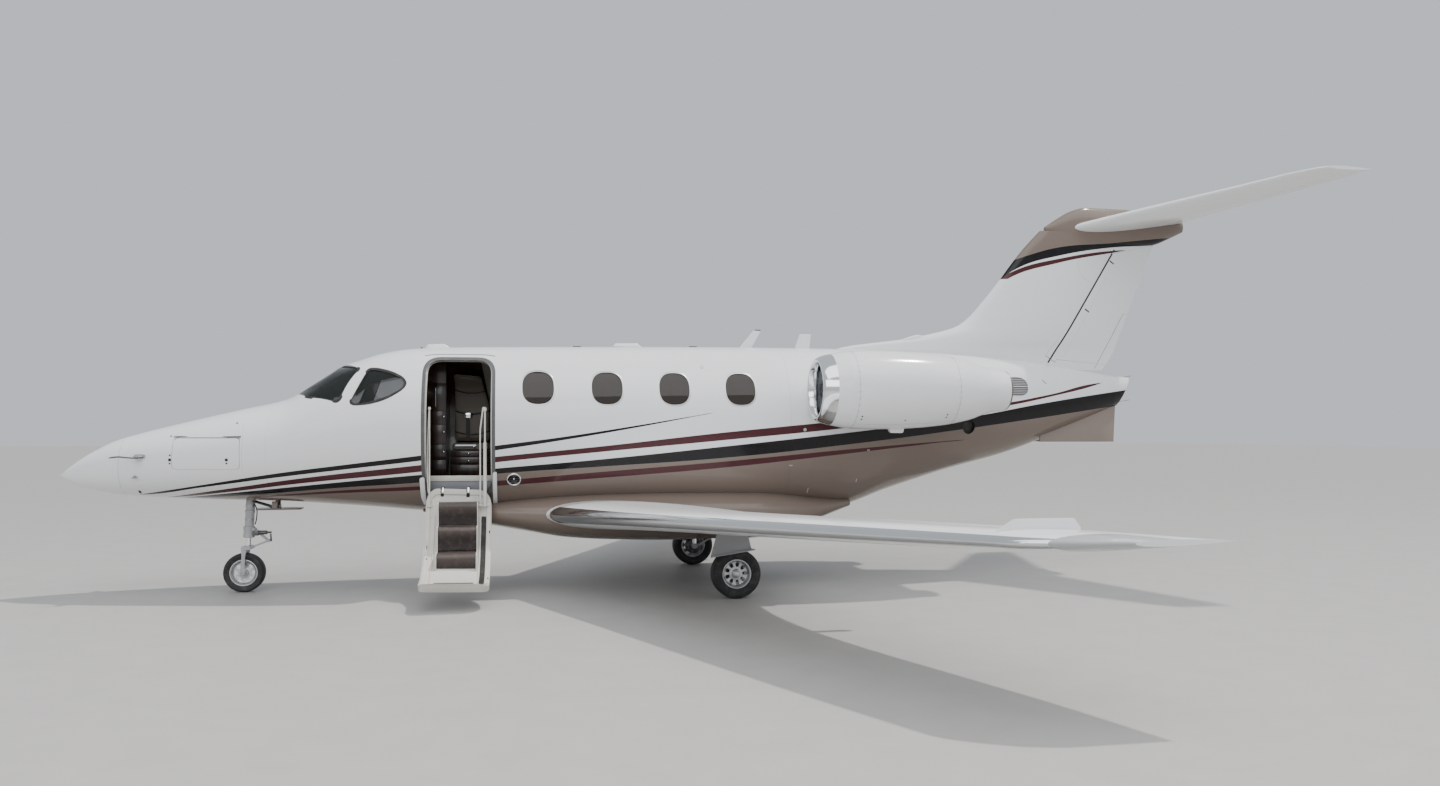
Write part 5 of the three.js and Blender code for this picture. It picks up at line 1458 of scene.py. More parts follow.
def make_nose_gear(finishes):
    gear = finishes["gear"]
    top, foot = along_nose_leg(1.325), along_nose_leg(0.642)
    leg = [ringed(top, foot, NOSE_LEG),
           swept([(-5.096, -0.139, 1.18), (-5.096, 0.139, 1.18)], 0.020, 24),
           swept([(-5.094, 0, 1.12), (-4.925, 0, 1.318)], 0.017, 20)]
    piece("nose_leg_cylinder", leg, gear, slot="gear_paint", replaces=["nose_leg"], sharp=40)
    under = along_nose_leg(0.6397)
    x, radius = NOSE_WHEEL["x"], NOSE_WHEEL["radius"]
    fork = [ringed(along_nose_leg(0.722), along_nose_leg(0.600), FORK_COLLAR)]
    for side in (-1, 1):
        rings = []
        for z, middle, wide in FORK_CHEEK:
            y = side * CHEEK_OUT
            rings.append([(middle + wide / 2 * bowed(math.cos(a), 3), y + 0.009 * bowed(math.sin(a), 3), z)
                          for a in around(20)])
        fork.append(lofted(rings))
        fork.append(turned(AXLE_CAP, (x, side * (CHEEK_OUT + 0.0085), radius), (0, side, 0), 24))
    bridge = rounded(FORK_BRIDGE, 0.012, 4)
    fork.append(prism(bridge, ACROSS, -CHEEK_OUT - 0.009, CHEEK_OUT + 0.009))
    fork.append(swept([(x, -CHEEK_OUT, radius), (x, CHEEK_OUT, radius)], 0.019, 20))
    piece("nose_fork_casting", fork, gear, "nose_steering", "gear_paint", ["nose_fork"], sharp=40)
    piece("nose_leg_piston", [swept([under, along_nose_leg(0.485)], 0.028, 32)], finishes["chrome"],
          "nose_steering", "gear_paint")
    links = [link_arm((-5.070, 0, 0.690), (-4.925, 0, 0.560), 0.090, 0.045, 0.022),
             link_arm((-4.925, 0, 0.560), (-5.085, 0, 0.497), 0.045, 0.090, 0.020),
             swept([(-4.925, -0.030, 0.560), (-4.925, 0.030, 0.560)], 0.017, 20),
             swept([(-5.072, -0.052, 0.690), (-5.072, 0.052, 0.690)], 0.016, 20),
             swept([(-5.087, -0.052, 0.497), (-5.087, 0.052, 0.497)], 0.015, 20)]
    piece("nose_torque_links", links, gear, "nose_steering", "gear_paint", bevel=0.003)
    dampers = [swept([(-5.03, -0.035, 0.655), (-4.93, -0.035, 0.655)], 0.022, 20),
               swept([(-4.93, -0.035, 0.655), (-4.885, -0.035, 0.655)], 0.011, 16),
               swept([(-4.895, -0.035, 0.640), (-4.890, -0.030, 0.555)], 0.009, 12),
               box(-5.075, -5.02, -0.06, 0.06, 0.622, 0.672)]
    piece("steering_damper", dampers, finishes["dark_metal"], "nose_steering", "gear_paint", bevel=0.003)
    piece("nose_leg_hose", [swept(curved(NOSE_HOSE, 8), HOSE, 10)], finishes["rubber"], slot="gear_paint")
    for z in (0.945, 0.79):
        centre = along_nose_leg(z)
        band = ringed(centre, centre + Vector((0, 0, 0.018)), CLAMP, 32)
        piece(f"nose_leg_clamp_{round(z * 1000)}", [band], finishes["steel"], slot="gear_paint")
    plate = rounded(NOSE_DOOR, 0.05, 6)
    door = solid("nose_leg_door", [prism(plate, UP, 0, 0.018)])
    combined(door, [box(-4.870, -4.815, side * 0.075, side * 0.095, 0.915, 1.000) for side in (-1, 1)],
             "UNION")
    finished(door, finishes["taupe"], slot="taupe_paint", replaces=["nose_gear_door"], bevel=0.003)
    rods = [swept([(-5.078, s * 0.05, 1.0), (-4.86, s * 0.06, 0.930)], 0.009, 12) for s in (-1, 1)]
    rods.append(box(-4.90, -4.80, -0.05, 0.05, 0.924, 0.955))
    piece("nose_door_rods", rods, finishes["dark_metal"], slot="gear_paint")


MAIN_LEG_PLACE = (0.060, 1.236)
MAIN_LEG = [
    (0, 0.0), (0, 0.046), (0.18, 0.046), (0.20, 0.053), (0.28, 0.053), (0.30, 0.045), (0.85, 0.045),
    (0.87, 0.051), (0.98, 0.051), (1.0, 0.046), (1.0, 0.0),
]
AXLE_HUB = [(0, 0.0), (0, 0.030), (0.15, 0.038), (0.85, 0.038), (1.0, 0.030), (1.0, 0.0)]
BRAKE = [
    (0, 0.0), (0, 0.075), (0.2, 0.100), (0.75, 0.100), (0.8, 0.110), (1.0, 0.110), (1.0, 0.0),
]
BRAKE_CYLINDER = [(0, 0.0), (0, 0.018), (0.03, 0.020), (0.05, 0.020), (0.05, 0.0)]
# Outlines in x and z
LEG_DOOR = [
    (-0.128, 0, 0.792), (-0.222, 0, 0.465), (-0.224, 0, 0.450), (0.250, 0, 0.520), (0.212, 0, 0.541),
    (0.152, 0, 0.785),
]
LEG_DOOR_FLANGE = [(-0.222, 0, 0.462), (-0.224, 0, 0.450), (0.250, 0, 0.520), (0.246, 0, 0.534)]


def make_main_gear(finishes):
    gear = finishes["gear"]
    x, y = MAIN_LEG_PLACE
    wheel_x, radius, half = MAIN_WHEEL["x"], MAIN_WHEEL["radius"], MAIN_WHEEL["half"]
    for word, side in SIDES:
        leg = [ringed((x, -y, 0.8717), (x, -y, 0.450), MAIN_LEG),
               ringed((wheel_x, -y + 0.04, radius), (wheel_x, -y - 0.05, radius), AXLE_HUB),
               swept([(wheel_x, -y, radius), (wheel_x, -(MAIN_WHEEL["y"] + 0.062), radius)], 0.019, 24),
               swept([(x, -y + 0.02, 0.56), (x, -(y - 0.3), 0.75)], 0.020, 20),
               swept([(x, -(y - 0.3), 0.735), (x, -(y - 0.3), 0.7947)], 0.026, 20),
               *[swept([(x, -y, z), (x, -(MAIN_WHEEL["y"] + half + 0.022), z)], 0.012, 16)
                 for z in (0.62, 0.72)]]
        piece(f"main_leg_cylinder_{word}", sided(leg, side), gear, slot="gear_paint",
              replaces=[f"main_leg_{word}"], sharp=40)
        piece(f"main_leg_piston_{word}",
              sided([swept([(x, -y, 0.455), (wheel_x, -y, radius + 0.02)], 0.031, 32)], side),
              finishes["chrome"], slot="gear_paint")
        knee = wheel_x + 0.205
        links = [link_arm((wheel_x + 0.030, -y, 0.475), (knee, -y, 0.360), 0.085, 0.040, 0.022),
                 link_arm((knee, -y, 0.360), (wheel_x + 0.030, -y, 0.270), 0.040, 0.085, 0.020),
                 swept([(knee, -y - 0.03, 0.360), (knee, -y + 0.03, 0.360)], 0.016, 20)]
        piece(f"main_torque_links_{word}", sided(links, side), gear, slot="gear_paint", bevel=0.003)
        inner = -(MAIN_WHEEL["y"] - half * RIM_SHARE - 0.008)
        brake = [ringed((wheel_x, -y - 0.045, radius), (wheel_x, inner, radius), BRAKE)]
        for turn in around(6, 0.25):
            spot = (wheel_x + 0.078 * math.cos(turn), -y - 0.030, radius + 0.078 * math.sin(turn))
            brake.append(turned(BRAKE_CYLINDER, spot, TO_PORT, 20))
        piece(f"brake_{word}", sided(brake, side), finishes["dark_metal"], slot="gear_paint")
        hose = curved([(x - 0.05, -y - 0.01, 0.80), (x - 0.062, -y - 0.02, 0.62),
                       (x - 0.075, -y - 0.02, 0.45), (x - 0.06, -y - 0.05, 0.34),
                       (x - 0.03, -y - 0.062, 0.30)], 8)
        piece(f"brake_hose_{word}", sided([swept(hose, HOSE, 10)], side), finishes["rubber"],
              slot="gear_paint")
        door_y = MAIN_WHEEL["y"] + half + 0.022
        outline = rounded(LEG_DOOR, 0.008, 3)
        plate = solid(f"main_leg_door_{word}",
                      sided([prism(outline, ACROSS, -door_y - 0.012, -door_y)], side))
        flange = rounded(LEG_DOOR_FLANGE, 0.004, 2)
        combined(plate, sided([prism(flange, ACROSS, -door_y - 0.040, -door_y - 0.001)], side), "UNION")
        finished(plate, finishes["door_grey"], slot="gear_paint", bevel=0.002)


# Doorway and airstair: the door is shaped where it closes, then swung open

OPENING = math.radians(DOOR["open"])
SWING = Matrix.Translation(HINGE) @ Matrix.Rotation(OPENING, 4, "X") @ Matrix.Translation(-HINGE)
UNSWING = SWING.inverted()
ARM_X = (-3.005, -2.735)
RAIL_FOOT = (-0.800, 0.975)
RAIL_TOP = 2.030
# x of the aft rail's tube and rod and of the fore rail
RAIL_X = (-2.555, -2.605, -3.134)
LUG_X = (-3.154, -3.114, -2.585, -2.522)
STAIR_X = (-3.034, -2.624)
# Heights of the stair nosings, where the treads' painted highlight sits
NOSINGS = (1.016, 0.772, 0.512)
INNER_FACE = WALL - 0.004


def near_door(inset):
    return hull(DOOR["fore"] - 0.07, DOOR["aft"] + 0.07, inset, 0.05)


def door_layer(name, outline, outer, inner, swing=True):
    """A layer of the door or its frame: an outline in x, z, between two depths below the skin."""
    layer = solid(name, [prism(outline, ACROSS, *THROUGH_PORT)])
    kept(layer, [near_door(outer)])
    cut(layer, [near_door(inner)])
    if swing:
        layer.data.transform(SWING)
    return layer


def door_ring(grow_out, grow_in, low, outer, inner, name, swing):
    """A rounded frame that follows the doorway."""
    def outline(grow):
        return upright(DOOR["fore"] - grow, DOOR["aft"] + grow, low - grow, DOOR["high"] + grow,
                       max(DOOR["corner"] * 1.5 + grow, 0.02), 8)
    ring = door_layer(name, outline(grow_out), outer, inner, False)
    cut(ring, [prism(outline(grow_in), ACROSS, -1.2, -0.1)])
    if swing:
        ring.data.transform(SWING)
    return ring


# Ridges on the door's inner face: x of both edges
DOOR_RIDGES = ((-2.606, -2.597), (-2.536, -2.527), (-3.080, -3.073))
# Holes in that face, drawn as black spots of painted shade: x, z, half width, half height
DOOR_HOLES = [
    (-2.505, 1.55, 0.006, 0.017), (-2.505, 2.25, 0.006, 0.017), (-2.513, 2.43, 0.007, 0.017),
    (-3.140, 1.74, 0.005, 0.030), (-3.134, 1.90, 0.006, 0.012), (-3.120, 2.44, 0.008, 0.008),
]
# The steps' profile and their cheeks' outline in y and z, as the open door hangs
TREAD_LINE = [
    (-0.700, 1.0155), (-0.925, 1.0155), (-0.955, 1.008), (-0.970, 0.985), (-0.968, 0.955), (-0.952, 0.905),
    (-0.940, 0.850), (-0.937, 0.790), (-0.945, 0.772), (-1.030, 0.770), (-1.064, 0.762), (-1.081, 0.738),
    (-1.080, 0.705), (-1.068, 0.655), (-1.060, 0.600), (-1.062, 0.530), (-1.072, 0.512), (-1.220, 0.510),
    (-1.254, 0.502), (-1.273, 0.478), (-1.274, 0.445), (-1.262, 0.395), (-1.268, 0.330), (-1.290, 0.300),
    (-1.000, 0.300),
]
STEP_CHEEK = [
    (-0.700, 1.024), (-0.962, 1.024), (-0.982, 1.004), (-0.945, 0.781), (-1.074, 0.781), (-1.094, 0.760),
    (-1.090, 0.521), (-1.266, 0.521), (-1.286, 0.500), (-1.310, 0.290), (-1.000, 0.290),
]
# Outlines in y and z from the hinge: the fork on the door and the arm that it turns about
HINGE_FORK = ((-0.009, -0.006), (0.009, -0.006), (0.026, 0.050), (-0.016, 0.050))
HINGE_ARM = [
    (0.010, -0.008), (-0.012, -0.008), (-0.012, 0.012), (0.020, 0.062), (0.200, 0.062), (0.200, 0.030),
    (0.040, 0.030),
]


def make_airstair(finishes):
    cream, body = finishes["cream"], "cabin_door"
    panel = door_layer("airstair_panel", rounded_door(0), 0, WALL)
    arm_slots = [box(x - 0.018, x + 0.018, HINGE.y - 0.040, -0.48, HINGE.z - 0.02, HINGE.z + 0.084)
                 for x in ARM_X]
    arm_slots = [moved(slot, SWING) for slot in arm_slots]
    cut(panel, arm_slots)
    finished(panel, finishes["livery_open"], body, "cream_paint", ["airstair_door"], bevel=0.004)
    second_finish(panel, cream, lambda spot: in_hull(UNSWING @ spot, 0.003))
    rim = door_ring(-0.014, -0.048, DOOR["low"], INNER_FACE, WALL + 0.011, "airstair_rim", True)
    cut(rim, arm_slots)
    finished(rim, cream, body, "cream_paint", bevel=0.004, segments=3)
    ridges = [door_layer("ridge", upright(x0, x1, 1.370, 2.400, 0.003, 2), INNER_FACE, WALL + 0.014)
              for x0, x1 in DOOR_RIDGES]
    ridges.append(door_layer("ridge", upright(-3.070, -2.570, 2.448, 2.472, 0.003, 2), INNER_FACE,
                             WALL + 0.016))
    for i, ridge in enumerate(ridges):
        finished(ridge, cream, body, "cream_paint")
        ridge.name = f"airstair_ridge_{i}"
    # Black strips and spots on the door's inner face are painted shade: the rail's channel, the foot slot and
    # the holes are not cut.
    groove = door_layer("rail_channel", upright(-2.592, -2.541, 1.370, 2.395, 0.012), INNER_FACE,
                        WALL + 0.002)
    finished(groove, finishes["black_trim_and_painted_shade"], body, "stair_trim")
    strip = door_layer("kick_strip", upright(-3.030, -2.640, 2.345, 2.385, 0.006), INNER_FACE, WALL + 0.006)
    finished(strip, finishes["brushed"], body, "stair_trim")
    slot = door_layer("foot_slot", upright(-3.010, -2.740, 2.405, 2.435, 0.006), INNER_FACE, WALL + 0.003)
    finished(slot, finishes["black_trim_and_painted_shade"], body, "stair_trim")
    for i, (x, z, wide, high) in enumerate(DOOR_HOLES):
        hole = door_layer(f"door_hole_{i}", oval(x, z, wide, high, 2, 20), INNER_FACE, WALL + 0.0125)
        finished(hole, finishes["black_trim_and_painted_shade"], body, "stair_trim")

    profile = curved([(0, y, z) for y, z in TREAD_LINE[:-1]], 4) + [Vector((0, *TREAD_LINE[-1]))]
    inside = moved(near_door(WALL + 0.001), SWING)
    steps = solid("stair_carpet", [prism([(STAIR_X[0] + 0.009, p.y, p.z) for p in profile], ALONG, 0,
                                         STAIR_X[1] - STAIR_X[0] - 0.018)])
    kept(steps, [inside])
    finished(steps, finishes["carpet"], body, "stair_trim", ["airstair_steps"], sharp=50)
    cheek = rounded([(0, y, z) for y, z in STEP_CHEEK], 0.018, 5)
    for word, x in (("fore", STAIR_X[0] - 0.002), ("aft", STAIR_X[1] - 0.008)):
        side = solid(f"stair_cheek_{word}", [prism([(x, p.y, p.z) for p in cheek], ALONG, 0, 0.010)])
        kept(side, [inside])
        finished(side, cream, body, "cream_paint", bevel=0.002)

    knuckles = []
    for x in ARM_X:
        for shift in (-0.048, 0.048):
            block = [SWING @ Vector((x + shift - 0.008, HINGE.y + y, HINGE.z + z)) for y, z in HINGE_FORK]
            knuckles.append(prism(block, ALONG, 0, 0.016))
            knuckles.append(turned(disc(0.010, 0.011), (x + shift, HINGE.y, HINGE.z), ALONG, 24))
    pin = [(ARM_X[0] - 0.062, HINGE.y, HINGE.z), (ARM_X[1] + 0.062, HINGE.y, HINGE.z)]
    knuckles.append(swept(pin, 0.005, 16))
    piece("door_hinge_forks", knuckles, finishes["chrome"], body, "cream_paint", bevel=0.0015)

    y, z = RAIL_FOOT
    lugs = []
    for x in LUG_X:
        lugs.append(turned(disc(0.005, 0.013), (x, y, z), ALONG, 24))
        ring = [(y - 0.013, z), (y + 0.010, z + 0.009), (y + 0.050, z - 0.010), (y + 0.030, z - 0.060)]
        lugs.append(prism([(x - 0.005, a, b) for a, b in ring], ALONG, 0, 0.010))
    lug_set = solid("rail_lugs", lugs)
    cut(lug_set, [moved(hull(-3.3, -2.4, WALL + 0.2), SWING)])
    finished(lug_set, cream, body, "cream_paint")


# Turned parts of the rails: share of the length and radius
AFT_POST = [
    (0, 0.0), (0, 0.016), (0.02, 0.018), (0.635, 0.018), (0.645, 0.016), (0.652, 0.0115), (0.66, 0.010),
    (0.955, 0.010), (0.96, 0.016), (0.985, 0.020), (1.0, 0.015), (1.0, 0.0),
]
FORE_CAP = [(0, 0.0), (0, 0.012), (0.4, 0.015), (0.9, 0.014), (1.0, 0.008), (1.0, 0.0)]


def make_handrails(finishes):
    y, z = RAIL_FOOT
    rail = finishes["rail"]
    tube, rod, fore = RAIL_X
    aft = [ringed((tube, y, z - 0.012), (tube, y, RAIL_TOP), AFT_POST, 32),
           swept(curved([(rod, y, z + 0.008), (rod, y, 1.45), (rod, y, 1.76), (rod + 0.010, y, 1.87),
                         (rod + 0.026, y, 2.00), (rod + 0.029, y, RAIL_TOP - 0.004)], 5), 0.008, 16),
           swept([(rod + 0.026, y, RAIL_TOP - 0.006), (tube - 0.004, y, RAIL_TOP - 0.006)], 0.010, 16),
           turned(disc(0.012, 0.014), (rod, y, z), ALONG, 24),
           swept([(rod - 0.006, y, z), (-2.514, y, z)], 0.005, 12)]
    piece("handrail_aft_tubes", aft, rail, "door_rails", "cream_paint", ["handrail_aft"], sharp=45)
    front = [swept([(fore, y, z), (fore, y, RAIL_TOP)], 0.008, 16),
             swept(curved([(fore, y, 1.100), (fore - 0.016, y, 1.180), (fore - 0.018, y, 1.560),
                           (fore - 0.010, y, 1.900), (fore - 0.004, y, 1.990)], 6), 0.0045, 12),
             ringed((fore, y, RAIL_TOP - 0.030), (fore, y, RAIL_TOP + 0.002), FORE_CAP, 24),
             turned(disc(0.012, 0.014), (fore, y, z), ALONG, 24),
             swept([(-3.158, y, z), (fore + 0.022, y, z)], 0.005, 12)]
    piece("handrail_fore_tubes", front, rail, "door_rails", "cream_paint", ["handrail_fore"], sharp=45)


# The gutter over the door in x and z
GUTTER = (
    (-3.205, 2.598), (-3.10, 2.612), (-2.90, 2.616), (-2.70, 2.616), (-2.55, 2.614), (-2.455, 2.600),
)
# Cheeks beside the hinge: name, x of both edges, lowest and highest point
HINGE_CHEEKS = (("fore", -3.236, -3.186, 0.955, 1.275), ("aft", -2.474, -2.430, 0.800, 1.330))


def make_doorway(finishes):
    frame_ring = door_ring(0.023, -0.006, DOOR["low"], WALL + 0.004, WALL + 0.024, "doorway_frame", False)
    cut(frame_ring, [box(DOOR["fore"] + 0.005, DOOR["aft"] - 0.005, -1.0, -0.2, 1.0, 1.30)])
    finished(frame_ring, finishes["cream"], slot="cream_paint", bevel=0.003)
    seal = door_ring(0.042, 0.0065, DOOR["low"], -0.0012, 0.004, "doorway_seal", False)
    finished(seal, finishes["seal"], slot="stair_trim")
    gutter = [on_skin(x, z, 0.002) for x, z in GUTTER]
    piece("door_gutter", [swept(curved(gutter, 6), 0.0075, 10)], finishes["recess"], slot="white_paint")
    plate = solid("hinge_plate",
                  [box(DOOR["fore"] + 0.004, DOOR["aft"] - 0.004, -0.5635, -0.5602, 1.117, 1.2225)])
    cut(plate, [box(x - 0.012, x + 0.012, -1, -0.3, HINGE.z + 0.025, HINGE.z + 0.066) for x in ARM_X])
    finished(plate, finishes["recess"], slot="stair_trim")
    under = door_layer("hinge_skin",
                       upright(DOOR["fore"] - 0.005, DOOR["aft"] + 0.005, 1.050, 1.1155, 0.01, 3),
                       -0.0015, 0.003, False)
    cut(under, [box(x - 0.072, x + 0.072, -1, -0.3, 1.084, 1.13) for x in ARM_X])
    finished(under, finishes["recess"], slot="stair_trim")
    for word, x0, x1, low, high in HINGE_CHEEKS:
        outline = rounded([(x0, 0, high), (x1, 0, high + 0.01), (x1, 0, low + 0.05), ((x0 + x1) / 2, 0, low),
                           (x0, 0, low + 0.10)], 0.022, 6)
        cheek = solid(f"hinge_cheek_{word}", [prism(outline, ACROSS, *THROUGH_PORT)])
        kept(cheek, [hull(-3.4, -2.2, -0.020, 0.05)])
        cut(cheek, [hull(-3.5, -2.1, 0.003, 0.05)])
        finished(cheek, finishes["white"], slot="white_paint", bevel=0.008, segments=4)
    arms = []
    for x in ARM_X:
        outline = [(x - 0.010, HINGE.y + y, HINGE.z + z) for y, z in HINGE_ARM]
        arms.append(prism(rounded(outline, 0.008, 3), ALONG, 0, 0.020))
    arm_set = solid("hinge_arms", arms)
    cut(arm_set, [swept([(-3.1, HINGE.y, HINGE.z), (-2.6, HINGE.y, HINGE.z)], 0.0056, 16)])
    finished(arm_set, finishes["chrome"], slot="cream_paint", bevel=0.002)


# Finishes of rubber, leather, wood and carpet

def rubber(name, colour=(0.020, 0.020, 0.021)):
    """Dull rubber with a little dust."""
    tyre = Finish(name, colour, 0.68)
    height = tyre.sprayed(Colour=(*colour, 1), Roughness=0.62, Variation=0.25, Dust=0.12, Grain=260.0)
    tyre.bump(height, 0.0004, 0.6)
    return tyre.material


def leather(name, colour):
    """Fine-grained leather: small cells with creases between, a little gloss on the worn parts."""
    hide = Finish(name, colour, 0.5)
    hide.sprayed(Colour=(*colour, 1), Roughness=0.44, Variation=0.12, Dust=0.06, Grain=180.0)
    cells = hide.add("ShaderNodeTexVoronoi", {"feature": "DISTANCE_TO_EDGE"}, Vector=hide.place, Scale=260.0)
    crease = smooth_step(hide.tree, cells.outputs["Distance"], 0.0, 0.12)
    hide.bump(crease, 0.0005, 0.5)
    return hide.material


def make_grain_group():
    """Long wavy wood grain with fine pores."""
    group, start, end = new_group("wood_grain", [("Place", VECTOR, None), ("Pale", COLOUR, (1, 1, 1, 1)),
                                                 ("Dark", COLOUR, (0, 0, 0, 1))],
                                  [("Colour", COLOUR), ("Height", FLOAT)])
    grain = node(group, "ShaderNodeMapping", Vector=start.outputs["Place"],
                 Scale=(6.0, 6.0, 0.55)).outputs["Vector"]
    bands = node(group, "ShaderNodeTexNoise", Vector=grain, Scale=3.4, Detail=7.0,
                 Distortion=1.4).outputs["Fac"]
    pores = node(group, "ShaderNodeTexNoise", Vector=grain, Scale=60.0, Detail=3.0).outputs["Fac"]
    share = maths(group, "ADD", smooth_step(group, bands, 0.38, 0.62), maths(group, "MULTIPLY", pores, 0.25))
    group.links.new(mixed(group, share, start.outputs["Pale"], start.outputs["Dark"]), end.inputs["Colour"])
    group.links.new(pores, end.inputs["Height"])


def veneer(name, pale, dark):
    """Lacquered wood."""
    wood = Finish(name, pale, 0.28, Coat_Weight=0.3)
    grain = wood.group("wood_grain", Place=wood.place, Pale=(*pale, 1), Dark=(*dark, 1))
    wood.feed("Base Color", grain.outputs["Colour"])
    wood.bump(grain.outputs["Height"], 0.0001, 0.25)
    return wood.material


def tread_rubber(name):
    """Brown tread covering with a little dust, and a painted highlight on each rounded nosing that fades down
    the riser below it.
    """
    tread = Finish(name, (0.03, 0.02, 0.017), 0.5)
    height = tread.add("ShaderNodeSeparateXYZ", Vector=tread.place).outputs["Z"]
    # The painted highlight: a pale band at each nosing, fading over the 15 cm below it.
    pale = 0.0
    for top in NOSINGS:
        low = smooth_step(tread.tree, height, top - 0.15, top - 0.02)
        under = maths(tread.tree, "LESS_THAN", height, top + 0.004)
        pale = maths(tread.tree, "ADD", pale, maths(tread.tree, "MULTIPLY", low, under))
    # Dark riser colour and the pale colour of the painted highlight.
    base = mixed(tread.tree, maths(tread.tree, "MINIMUM", pale, 1.0), (0.016, 0.009, 0.008),
                 (0.068, 0.050, 0.043))
    tread.bump(tread.sprayed(Colour=base, Roughness=0.42, Variation=0.2, Dust=0.10, Grain=500.0), 0.0006, 0.5)
    return tread.material


def carpet(name, colour):
    """Short pile: tufts in a fine cell pattern, with a velvet sheen."""
    pile = Finish(name, colour, 0.95)
    pile.set("Sheen Weight", 0.35)
    pile.set("Sheen Roughness", 0.4)
    tufts = pile.add("ShaderNodeTexVoronoi", Vector=pile.place, Scale=420.0).outputs["Distance"]
    worn = pile.add("ShaderNodeTexNoise", Vector=pile.place, Scale=9.0, Detail=5.0).outputs["Fac"]
    pale = tuple(value * 1.9 for value in colour)
    pile.feed("Base Color", mixed(pile.tree, smooth_step(pile.tree, worn, 0.40, 0.72), colour, pale))
    pile.bump(tufts, 0.0025, 0.9)
    return pile.material


def clear_lens(name):
    lens = Finish(name, (0.9, 0.92, 0.95), 0.04)
    lens.set("Transmission Weight", 0.6)
    lens.set("IOR", 1.45)
    ribs = lens.add("ShaderNodeTexWave", {"bands_direction": "Y"}, Vector=lens.place,
                    Scale=60.0).outputs["Fac"]
    lens.bump(ribs, 0.0008, 0.5)
    return lens.material


# Cabin inside. A seat is shaped facing +X about its own centre, then moved into place

FLOOR_TOP = 1.226
LINER = 0.0083
ROOM_ENDS = (CABIN_FRONT + 0.0603, CABIN_REAR - 0.0603)
# Seats: x and the way they face
CABIN_SEATS = [(-1.700, 1), (-0.330, -1)]
HALF_SEAT = {"cabin": 0.250, "crew": 0.226}
SEAT_SAG = -0.25
ON_FLOOR = FLOOR_TOP + 0.0005
SEAT_RAIL_TOP = FLOOR_TOP + 0.011
CREW_X, CREW_OUT = -3.690, 0.330
CABIN_OUT = 0.430
SEAT_HEIGHT = {"cabin": 1.430, "crew": 1.400}
PAD_STEP = 0.0125
PAD_PRESSURE = 4.0
PAD_FRAMES = 20


def room(inset):
    return hull(*ROOM_ENDS, WALL + inset, 0.06)


def rounded_box(x0, x1, y0, y1, z0, z1, radius=0.02, steps=3):
    """A block with rounded upright edges; bevelled() rounds the rest."""
    return prism(rounded([(x0, y0, z0), (x1, y0, z0), (x1, y1, z0), (x0, y1, z0)], radius, steps), UP, 0,
                 z1 - z0)


def swollen(name, shells, cap):
    """Inflates a block with the cloth solver, no point further than the cap."""
    pad = solid(name, shells)
    remesh = pad.modifiers.new("remesh", "REMESH")
    remesh.mode = "VOXEL"
    remesh.voxel_size = PAD_STEP
    baked(pad)
    rest = [v.co.copy() for v in pad.data.vertices]
    cloth = pad.modifiers.new("cloth", "CLOTH")
    cloth.settings.use_pressure = True
    cloth.settings.uniform_pressure_force = PAD_PRESSURE
    cloth.settings.effector_weights.gravity = 0
    cloth.settings.quality = 4
    for step in range(1, PAD_FRAMES + 1):
        SCENE.frame_set(step)
    baked(pad)
    SCENE.frame_set(1)
    for vertex, place in zip(pad.data.vertices, rest):
        way = vertex.co - place
        if way.length > cap:
            vertex.co = place + way.normalized() * cap
    smoother = pad.modifiers.new("smooth", "SMOOTH")
    smoother.iterations = 3
    finer = pad.modifiers.new("finer", "SUBSURF")
    finer.levels = finer.render_levels = 1
    baked(pad)
    return pad


def grooved(obj, lines, centre=0.0, width=0.006, depth=0.006):
    """Presses seams into a pad. A line has the axis it lies across, its place, its sag and its own axis."""
    normals = [v.normal.copy() for v in obj.data.vertices]
    for vertex, normal in zip(obj.data.vertices, normals):
        dip = 0.0
        for axis, place, sag, other in lines:
            away = vertex.co[axis] - place - sag * (vertex.co[other] - centre) ** 2
            dip = max(dip, depth * math.exp(-(away / width) ** 2))
        vertex.co -= normal * dip
    return obj


def copied(obj, name, matrix):
    other = obj.copy()
    other.data = obj.data.copy()
    other.name = other.data.name = name
    SCENE.collection.objects.link(other)
    other.data.transform(matrix)
    return other


def seat_pads(half):
    """The cushion, back and headrest of one kind of seat, about its own centre."""
    inner = half - 0.068
    cushion = swollen("cushion", [rounded_box(-0.215, 0.245, -inner, inner, 0.052, 0.112, 0.05, 4)], 0.012)
    grooved(cushion, [(0, 0.10, 0, 1), (0, -0.06, 0, 1), (1, 0.0, 0, 0)])
    across = 0.90 * half
    back = swollen("back",
                   [prism([(-0.222, -across, 0.060), (-0.140, -across, 0.060), (-0.238, -across, 0.715),
                           (-0.318, -across, 0.715)], ACROSS, 0, 2 * across)], 0.010)
    grooved(back, [(2, level, SEAT_SAG, 1) for level in (0.24, 0.44, 0.62)])
    wide = 0.52 * half
    head = swollen("headrest", [prism([(-0.312, -wide, 0.722), (-0.232, -wide, 0.722), (-0.250, -wide, 0.858),
                                       (-0.330, -wide, 0.858)], ACROSS, 0, 2 * wide)], 0.007)
    return {"cushion": cushion, "back": back, "headrest": head}


